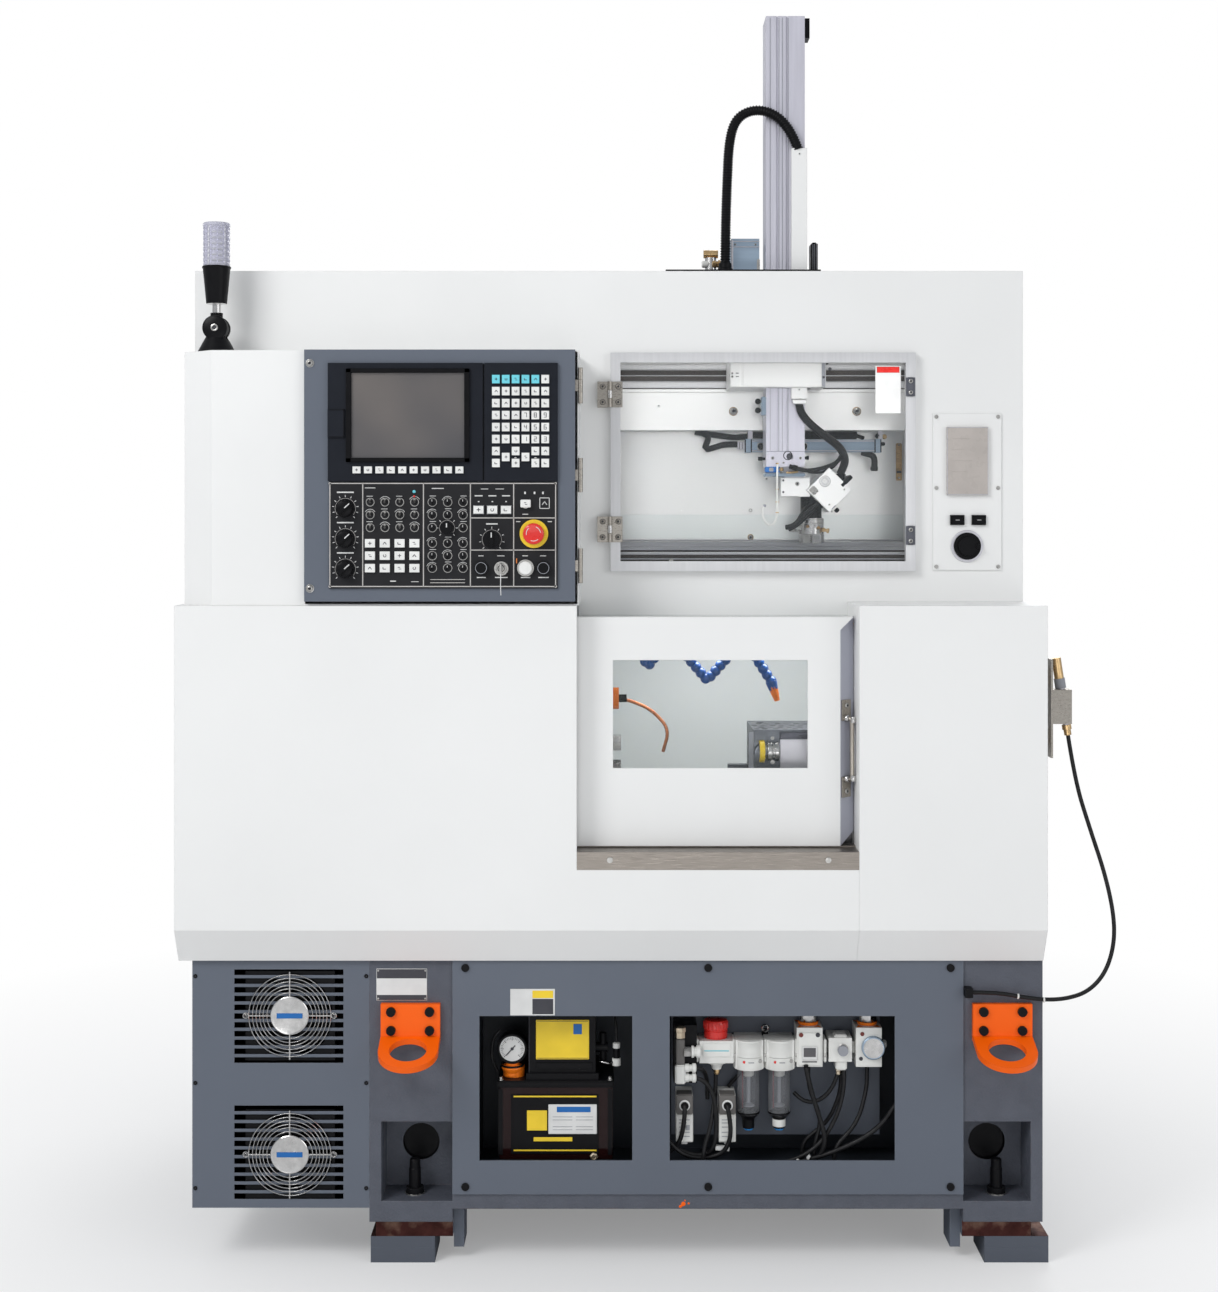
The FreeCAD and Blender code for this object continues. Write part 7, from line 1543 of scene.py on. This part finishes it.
def air_unit_details():
    """Elbows, collars, cups, gauge faces, valve plugs and hoses of the air preparation unit."""
    bits = Bits()
    # Inlet elbow, check valve and ports at the left
    bits.turned((105, -518, 430), UP,
                [(7, 0), (9.6, 1), (9.6, 12), (11, 13), (11, 21), (8, 23), (0, 23)], BRASS_LIGHT, 6)
    bits.bar((97, 114), (-522, -476), (380, 429), TAUPE, 1.6)
    bits.bar((95, 116), (-524, -470), (342, 379), WHITE_PLASTIC, 2.4)
    for z in (372, 353):
        bits.turned((114, -517, z), RIGHT, [(8.2, 0), (8.2, 8), (6.4, 9), (6.4, 14), (9, 15), (9, 21),
                                            (6, 22.6), (0, 20)], WHITE_PLASTIC, 24)
    bits.turned((112, -518, 404), RIGHT, [(9, 0), (10.4, 1), (10.4, 13), (9, 14)], SCREW_STEEL, 6)
    bits.turned((126, -518, 404), RIGHT,
                [(6, 0), (11.4, 1.4), (11.4, 5), (9, 6.4), (9, 10), (12, 11), (12, 18)], WHITE_PLASTIC, 28)
    # Shut-off valve body
    bits.bar((147, 206), (-511.4, -468), (389, 421), WHITE_PLASTIC, 3.0)
    bits.bar((152, 200), (-512, -511.2), (402.6, 404.4), KEY_CYAN, 0.2)
    bits.bar((158, 196), (-509, -470), (377, 390), WHITE_PLASTIC, 2.6)
    bits.turned((177.5, -486, 380), DOWN, [(14, 0), (14, 8), (10.4, 12), (9, 18)], WHITE_PLASTIC, 28)
    bits.turned((178, -486, 368), DOWN, [(7, 0), (7, 6), (5.6, 7), (5.6, 14), (4, 17), (0, 17.4)], BRASS, 20)
    # Clamping spacers between the modules
    for x in (136, 207, 268.4, 328, 384.4, 446.6):
        bits.bar((x, x + 5.6), (-508, -470), (380, 425), WHITE_PLASTIC, 1.6)
        bits.turned((x + 2.8, -507.6, 394), FRONT,
                    [(3.4, 0), (3.4, 1.8), (1.8, 2.4), (0, 2)], SCREW_STEEL, 14)
    # Filters: flange, collar, marks, inner core and the drain cup with its tip
    for x, pale_neck in ((240, False), (300, True)):
        bits.turned((x, -494, 424.6), DOWN,
                    [(24, 0), (28.4, 0.8), (29, 4), (27.6, 6), (27, 20), (27.4, 33)], WHITE_PLASTIC, 44)
        bits.turned((x, -493, 391.6), DOWN,
                    [(26, 0), (29.4, 1), (30.6, 22.4), (29.4, 24.6), (22, 24.8)], WHITE_PLASTIC, 44)
        bits.turned((x - 11, -520.6, 384), FRONT, [(2.8, 0), (2.6, 0.7), (0, 0.8)], RED, 16)
        bits.bar((x - 3, x + 8), (-523.2, -520), (382.4, 384.4), LINE_GREY, 0.2)
        bits.turned((x + 20, -514.6, 384.6), (0.6, -1, 0),
                    [(4, 0), (4, 1.6), (2, 1.8), (0, 1)], SCREW_STEEL, 16)
        bits.turned((x, BOWL_Y, 368), DOWN,
                    [(13.6, 0), (13.6, 9), (11, 12), (11, 20), (8, 22), (0, 22.4)], WHITE_PLASTIC, 28)
        bits.turned((x, BOWL_Y, 346), DOWN, [(4, 0), (4, 52), (12, 56), (12, 58), (0, 59)], GREY_PLASTIC, 24)
        bits.bar((x - 13.5, x - 10.5), (-492, -489), (286, 364), RED_SHADE, 0.8)
        bits.turned((x, BOWL_Y, 278.6), DOWN,
                    [(22.2, 0), (22.4, 3.6), (17, 9.4), (13, 13), (12, 17), (11.6, 33), (9, 34)], BLACK, 36)
        if pale_neck:
            bits.turned((x, BOWL_Y, 263.4), DOWN,
                        [(12.4, 0), (12.8, 1), (12.8, 14), (11, 15)], WHITE_PLASTIC, 28)
        bits.turned((x, BOWL_Y, 247), DOWN, [(9.6, 0), (9.6, 3.6), (7.8, 5.6), (0, 6)], KEY_CYAN_DEEP, 28)
    # Lifting eye behind the second filter
    ring(bits, 274, -470, 436.6, 6.2, 2.0, POLISHED, 24)
    bits.bar((268, 280), (-468, -452), (404, 432), BLACK, 1.6)
    # Digital regulator: raised display, plug and cap knob
    bits.bar((333, 381), (-512.4, -480), (373, 441), WHITE_PLASTIC, 2.6)
    bits.bar((341.6, 372), (-514.6, -512), (386, 413), MARK_WHITE, 1.0)
    bits.bar((344.8, 368.4), (-515, -514.2), (392.4, 410), SCREEN, 0.3)
    bits.bar((342, 371), (-513, -512), (381.4, 383.4), INK, 0.2)
    bits.bar((345, 353.6), (-520, -512), (368, 378), BLACK, 1.2)
    for x in (340, 372.6):
        bits.turned((x, -512, 434.6), FRONT, [(4.4, 0), (4.4, 1), (2.6, 1.2), (0, 0.4)],
                    DARK_RED if x < 350 else INK, 16)
    for x in (357, 472):
        bits.turned((x, -481, 441), UP, [(20, 0), (20, 7), (17.4, 9), (17.4, 12)], GREY_LIGHT, 36)
        bits.turned((x, -481, 449.6), UP, [(19, 0), (19.6, 1), (19.6, 4), (18.4, 5)], ORANGE_PLASTIC, 36)
        bits.turned((x, -481, 454.6), UP,
                    [(17.6, 0), (18.2, 1), (18.2, 17), (16.4, 19), (0, 19.4)], POLISHED, 24)
    # Tee with its round knob and outlet
    bits.bar((394, 440), (-508, -472), (384, 425), WHITE_PLASTIC, 3.4)
    bits.bar((405, 430), (-506, -474), (424, 433), WHITE_PLASTIC, 2.0)
    bits.turned((422, -507.6, 407), FRONT,
                [(10, 0), (10, 3), (8.4, 4), (7.4, 3), (4.2, 3), (3.4, 4.6), (0, 4.8)], SCREW_STEEL, 28)
    bits.bar((408, 430), (-507, -476), (364, 386), WHITE_PLASTIC, 2.6)
    bits.turned((415, -492, 365), DOWN, [(7, 0), (7, 5), (5.4, 6), (5.4, 12), (0, 12)], BRASS_LIGHT, 6)
    # Second regulator: gauge with a pale face and its side knob
    bits.bar((450, 496), (-510.6, -476), (372, 438), WHITE_PLASTIC, 3.0)
    bits.turned((480, -509, 410), FRONT,
                [(22.6, 0), (22.6, 8), (21, 9.4), (19.4, 9.4), (18.6, 8)], CYLINDER, 48)
    bits.turned((480, -509, 410), FRONT, [(19, 7.8), (0, 7.9)], FACE_BLUE, 44)
    bits.ticks(*REGULATOR_GAUGE, 14.2, 17.4, -130, 130, 21, 0.6, -516.9, GREY_PLASTIC)
    bits.stroke((475, 407.4), (484, 413), 3.4, -516.9, INK, 0.6)
    bits.turned((459, -510.4, 436), FRONT, [(4, 0), (4, 1), (2.4, 1.2), (0, 0.4)], DARK_RED, 16)
    bits.turned((456.4, -510.4, 388), FRONT, [(3.8, 0), (3.8, 1), (2.4, 1.2), (0, 0.4)], INK, 16)
    bits.turned((496, -490, 411), RIGHT,
                [(6.4, 0), (6.4, 5), (8, 6), (8, 11), (5.4, 13), (0, 13)], GREY_LIGHT, 22)
    # Solenoid boxes: dark upper part with its ringed plug, pale lower part
    for x in (114, 197):
        bits.bar((x - 16.4, x + 16.4), (-512, -480), (279.5, 318.4), TAUPE, 1.8)
        bits.bar((x - 16.4, x + 16.4), (-512.6, -480), (227, 278.6), WHITE_PLASTIC, 1.4)
        bits.turned((x, -512, 298), FRONT, [(10.6, 0), (10.6, 2.6), (9, 3.4), (7.4, 3.4)], MARK_WHITE, 30)
        bits.turned((x, -512, 298), FRONT, [(7.6, 0), (7.6, 6), (6, 8), (0, 8)], BLACK, 26)
        for level in (270, 264, 256, 246, 238):
            bits.bar((x - 11, x + (10 if level % 4 else 4)),
                     VALVE_PRINT, (level - 0.8, level + 0.8), LINE_GREY)
        bits.bar((x + 2, x + 10), VALVE_PRINT, (250, 260), LINE_GREY, 0.2)
        bits.bar((x - 6, x + 6), (-508, -494), (221, 228), GREY_LIGHT, 1.0)
    bits.bar((174, 201), (-511, -500), (209, 217.6), MARK_WHITE, 1.0, (187, 213), 4)
    # Hoses, from the fittings down to the floor of the bay
    hoses = (
        (4.4, [(134, -517, 353), (146, -516, 350), (160, -514, 338), (170, -513, 318), (175, -512, 288),
               (176, -510, 255),
               (174, -510, 228), (166, -508, 208), (150, -506, 199),
               (126, -506, 201), (100, -506, 212), (84, -504, 224),
               (74, -500, 236)]),
        (4.2, [(134, -517, 372), (142, -516, 371), (150, -508, 366), (156, -494, 352), (160, -480, 330),
               (160, -476, 300)]),
        (4.4, [(114, -518, 298), (114, -524, 291), (113, -524, 276), (110, -520, 250), (104, -514, 228),
               (94, -508, 212),
               (80, -504, 204)]),
        (4.4, [(197, -518, 298), (198, -524, 291), (201, -525, 274), (203, -523, 250), (200, -518, 228),
               (190, -514, 208),
               (172, -511, 199), (150, -512, 195), (120, -512, 199), (98, -512, 212), (84, -510, 228)]),
        (4.0, [(222, -470, 345), (212, -466, 334), (202, -462, 320)]),
        (4.0, [(330, -476, 312), (342, -488, 302), (358, -492, 298), (374, -492, 300), (392, -492, 312),
               (406, -492, 332),
               (413, -492, 352)]),
        (4.6, [(349.4, -517, 372), (353, -520, 352), (362, -520, 318), (374, -519, 280), (384, -518, 248),
               (386, -517, 228),
               (380, -514, 206), (368, -510, 192), (350, -506, 184)]),
        (4.2, [(425, -494, 364), (426, -497, 344), (422, -500, 312), (412, -504, 280), (396, -508, 250),
               (378, -512, 226),
               (350, -514, 204), (322, -514, 192), (300, -512, 186)]),
        (4.6, [(536, -520, 322), (520, -522, 300), (500, -522, 270), (474, -520, 246), (440, -518, 226),
               (404, -516, 210),
               (372, -514, 198), (340, -512, 190)]),
    )
    for radius, points in hoses:
        bits.tube(points, radius, RUBBER)
    for x, z in ((330, 194), (352, 201)):
        bits.bar((x, x + 5), (-521, -506), (z - 5, z + 4), MARK_WHITE, 1.0, (x, z), 30)
    bits.place("air_unit_details", "frame", "white_plastic")


def shutoff_cap():
    """The ribbed red grip of the shut-off valve."""
    bits = Bits()
    bits.turned((176, -481, 424.6), UP, [(19, 0), (23, 1), (23, 12), (22, 13), (22, 14.4), (23.4, 15.4),
                                         (23.4, 30), (21.4, 33), (16, 34.6), (0, 35)], RED, 44)
    for number in range(22):
        turn = 2 * math.pi * number / 22
        x, y = 176 + 23.2 * math.sin(turn), -481 + 23.2 * math.cos(turn)
        bits.turned((x, y, 440.5), UP, [(0, 0), (1.2, 0.8), (1.2, 13), (0, 14)], RED, 8)
    bits.place("shutoff_cap", "shutoff", "red_plastic")


base_fixings()
lubricator_details()
air_unit_details()
shutoff_cap()


# ---------------------------------------------------------------- doors, chamber and signal lamp


def main_door_fixings():
    """Screws and collars of the door handle, and the clear pane's seal."""
    bits = Bits()
    outward = (1, -1, 0)
    for z, collar_z in ((1076, 1051.5), (910.5, 934.5)):
        face = (426.3, -531.3, z)
        bits.turned(face, outward, [(5.4, 0), (5.4, 0.8), (4.4, 2.0), (2.6, 2.4)], SCREW_STEEL, 24)
        bits.turned(face, outward, [(2.6, 2.4), (2.2, 1.0), (0, 1.0)], INK, 6)
        bits.turned((426.1, -531.1, collar_z), outward,
                    [(7.4, 0), (7.4, 2.6), (6.4, 5), (5.0, 7)], POLISHED, 28)
        bits.turned((437.6, -542.4, collar_z), (0, 0, -1 if z > 1000 else 1),
                    [(0, -4.6), (4.6, -3.4), (5.8, 0), (5.2, 5), (4.6, 8)], POLISHED, 24)
    for low, high in ((951.6, 955.6), (1164.4, 1168.4)):
        bits.bar((-28, 353), (-536.8, -534), (low, high), GREY_LIGHT, 0.6)
    for low, high in ((-29.4, -25.4), (350.4, 354.4)):
        bits.bar((low, high), (-536.8, -534), (952, 1168), GREY_LIGHT, 0.6)
    bits.place("main_door_fixings", "sliding_door", "bare_steel")


HINGE_SPANS = ((1658, 1709), (1390, 1441))


def leaf_screws(bits, x):
    """Ringed screws of one side's hinge leaves."""
    for low, high in HINGE_SPANS:
        for z in (low + 10, high - 10):
            bits.screw(x, -427, z, 4.9, HINGE_STEEL)
            ring(bits, x, -427.4, z, 5.2, 0.5, INK, 22)


def window_fixings():
    """Screws and barrel rings of the window hinges, catch screws and the plain field on the pane."""
    bits = Bits()
    leaf_screws(bits, -14.6)
    for low, high in HINGE_SPANS:
        third = (high - low) / 3
        bits.turned((-31, -430, low + third + 0.6), UP,
                    [(4.4, 0), (5, 0.6), (5, third - 1.8), (4.4, third - 1.2)], POLISHED, 22)
    for low in (1680, 1385):
        bits.bar((557.6, 574.4), (-429.4, -424), (low - 0.6, low + 37.6), CATCH_GREY, 4.0)
        for z in (low + 7.4, low + 29.6):
            bits.screw(566, -429.6, z, 4.4)
    bits.bar((497, 548), (-420.4, -418.6), (1646, 1741), MARK_WHITE, 0.8)
    bits.bar((500, 545), (-420.8, -420.2), (1727, 1739), RED, 0.3)
    bits.place("window_fixings", "window_door", "bare_steel")


def hinge_leaf_screws():
    """Screws of the hinge leaves that stay on the cabinet."""
    bits = Bits()
    leaf_screws(bits, -45.4)
    bits.place("hinge_leaf_screws", "frame", "bare_steel")


def tool_details():
    """The tool in its holder seen from the side, clamp screws, and dark discs and bars on the tool block's
    top that are painted reflection.
    """
    bits = Bits()
    bits.turned((261.5, -476, 980.5), RIGHT,
                [(16, 0), (21.4, 0.6), (21.6, 9.8), (19, 10.6), (18, 11)], YELLOW, 44)
    bits.turned((272, -476, 980.5), RIGHT, [(15.6, 0), (15.6, 4), (18.6, 5.4), (19.4, 8), (19.4, 14),
                                            (17, 16), (17, 19), (19.6, 20), (19.6, 27),
                                            (16, 30), (0, 30)], POLISHED, 44)
    bits.turned((286, -495, 962), FRONT, [(4.4, 0), (4.4, 1.6), (2.4, 2), (0, 1)], SCREW_STEEL, 18)
    bits.bar((240.6, 252), (-471.4, -469.8), (846, 1020), GREY_PLASTIC, 1.2)
    bits.bar((302, 429), (-474, -469.6), (1000, 1018), DARK_STEEL_AND_REFLECTION, 1.0)
    bits.turned((343, -474, 1008), FRONT, [(4.6, 0), (4.6, 0.6), (3.4, 0.8), (3, -1), (0, -1)], INK, 20)
    bits.turned((288, -471, 1006), FRONT, [(3.8, 0), (3.8, 1.4), (2.2, 1.8), (0, 0.8)], SCREW_STEEL, 18)
    # The dark recessed discs and short dark bars on the block's top are painted reflection
    for row, y in enumerate((-452, -424, -392, -356)):
        for number in range(5):
            x = 258 + number * 38 + (row % 2) * 12
            bits.turned((x, y, 1022), UP, [(6, 0), (6, 0.3), (5, 0.5), (4.6, -0.6), (0, -0.6)], INK, 22)
            bits.bar((x + 12, x + 21), (y - 8, y + 6), (1021.8, 1022.5), DARK_STEEL_AND_REFLECTION, 0.3)
    bits.place("tool_details", "cross_slide", "ground_steel")


LAMP_X = -801
LAMP_Y = -480


def lamp_details():
    """Ribs and core inside the signal lamp's lens, its posts and the knuckle's screw."""
    bits = Bits()
    for number in range(12):
        turn = math.radians(15 + 30 * number)
        x, y = LAMP_X + 23.4 * math.sin(turn), LAMP_Y + 23.4 * math.cos(turn)
        bits.turned((x, y, 1932), UP, [(0, 0), (2.0, 0.6), (2.0, 78), (0, 79)], LENS_SHADE, 10)
    bits.turned((LAMP_X, LAMP_Y, 1931), UP, [(12, 0), (12, 74), (9, 79), (0, 79.6)], LENS_SHADE)
    for level in range(1940, 2006, 11):
        bits.turned((LAMP_X, LAMP_Y, level), UP, [(12, 0), (14.6, 1), (14.6, 2.6), (12, 3.6)], WHITE_PLASTIC)
    bits.turned((LAMP_X, LAMP_Y, 2009), UP,
                [(26.3, 0), (26.5, 1), (26.5, 4.6), (24.6, 5.8), (0, 5.9)], LENS, 48)
    bits.turned((LAMP_X, LAMP_Y, 1926), UP, [(27.2, 0), (27.9, 1), (27.9, 3.6), (26.4, 4.6)], BLACK, 48)
    bits.place("lamp_details", "signal_lamp", "lens_plastic")


def lamp_foot_details():
    """The knuckle's domed cheek and screw, and the rim of the lamp's foot."""
    bits = Bits()
    bits.turned((LAMP_X, -497.2, 1809), FRONT,
                [(24, -2), (24.6, 0), (24, 2.4), (20, 4.4), (7.4, 4.8)], BLACK, 48)
    bits.turned((LAMP_X, -501.6, 1809), FRONT,
                [(7.2, 0), (7.2, 1.4), (5.4, 2), (4.2, 1.6), (3.6, 0.4)], SCREW_STEEL, 28)
    bits.turned((LAMP_X, -501.6, 1809), FRONT, [(4.2, 1.5), (3.6, 0.2), (0, 0.2)], INK, 6)
    bits.turned((LAMP_X, LAMP_Y, 1758), UP,
                [(36.6, 0), (37, 1), (37, 3.4), (35.4, 5.6), (33, 6.4)], BLACK, 56)
    for x, y in ((-826, -494), (-776, -494)):
        bits.turned((x, y, 1764), (0, -0.4, 1), [(3, -2), (3, 1.4), (1.6, 2), (0, 1.2)], SCREW_STEEL, 16)
    bits.place("lamp_foot_details", "frame", "black_plastic")


def hose_ties():
    """Bands that hold the blow gun's hose."""
    bits = Bits()
    for at, heading in (((751.5, -557, 521), (1, 0, -0.1)), ((801, -557, 514), (1, 0, -0.05))):
        bits.turned(at, heading, [(4.2, -1.8), (5.0, -1.4), (5.0, 1.4), (4.2, 1.8)], WHITE_PLASTIC, 22)
    bits.place("hose_ties", "frame", "white_plastic")


main_door_fixings()
window_fixings()
hinge_leaf_screws()
tool_details()
lamp_details()
lamp_foot_details()
hose_ties()
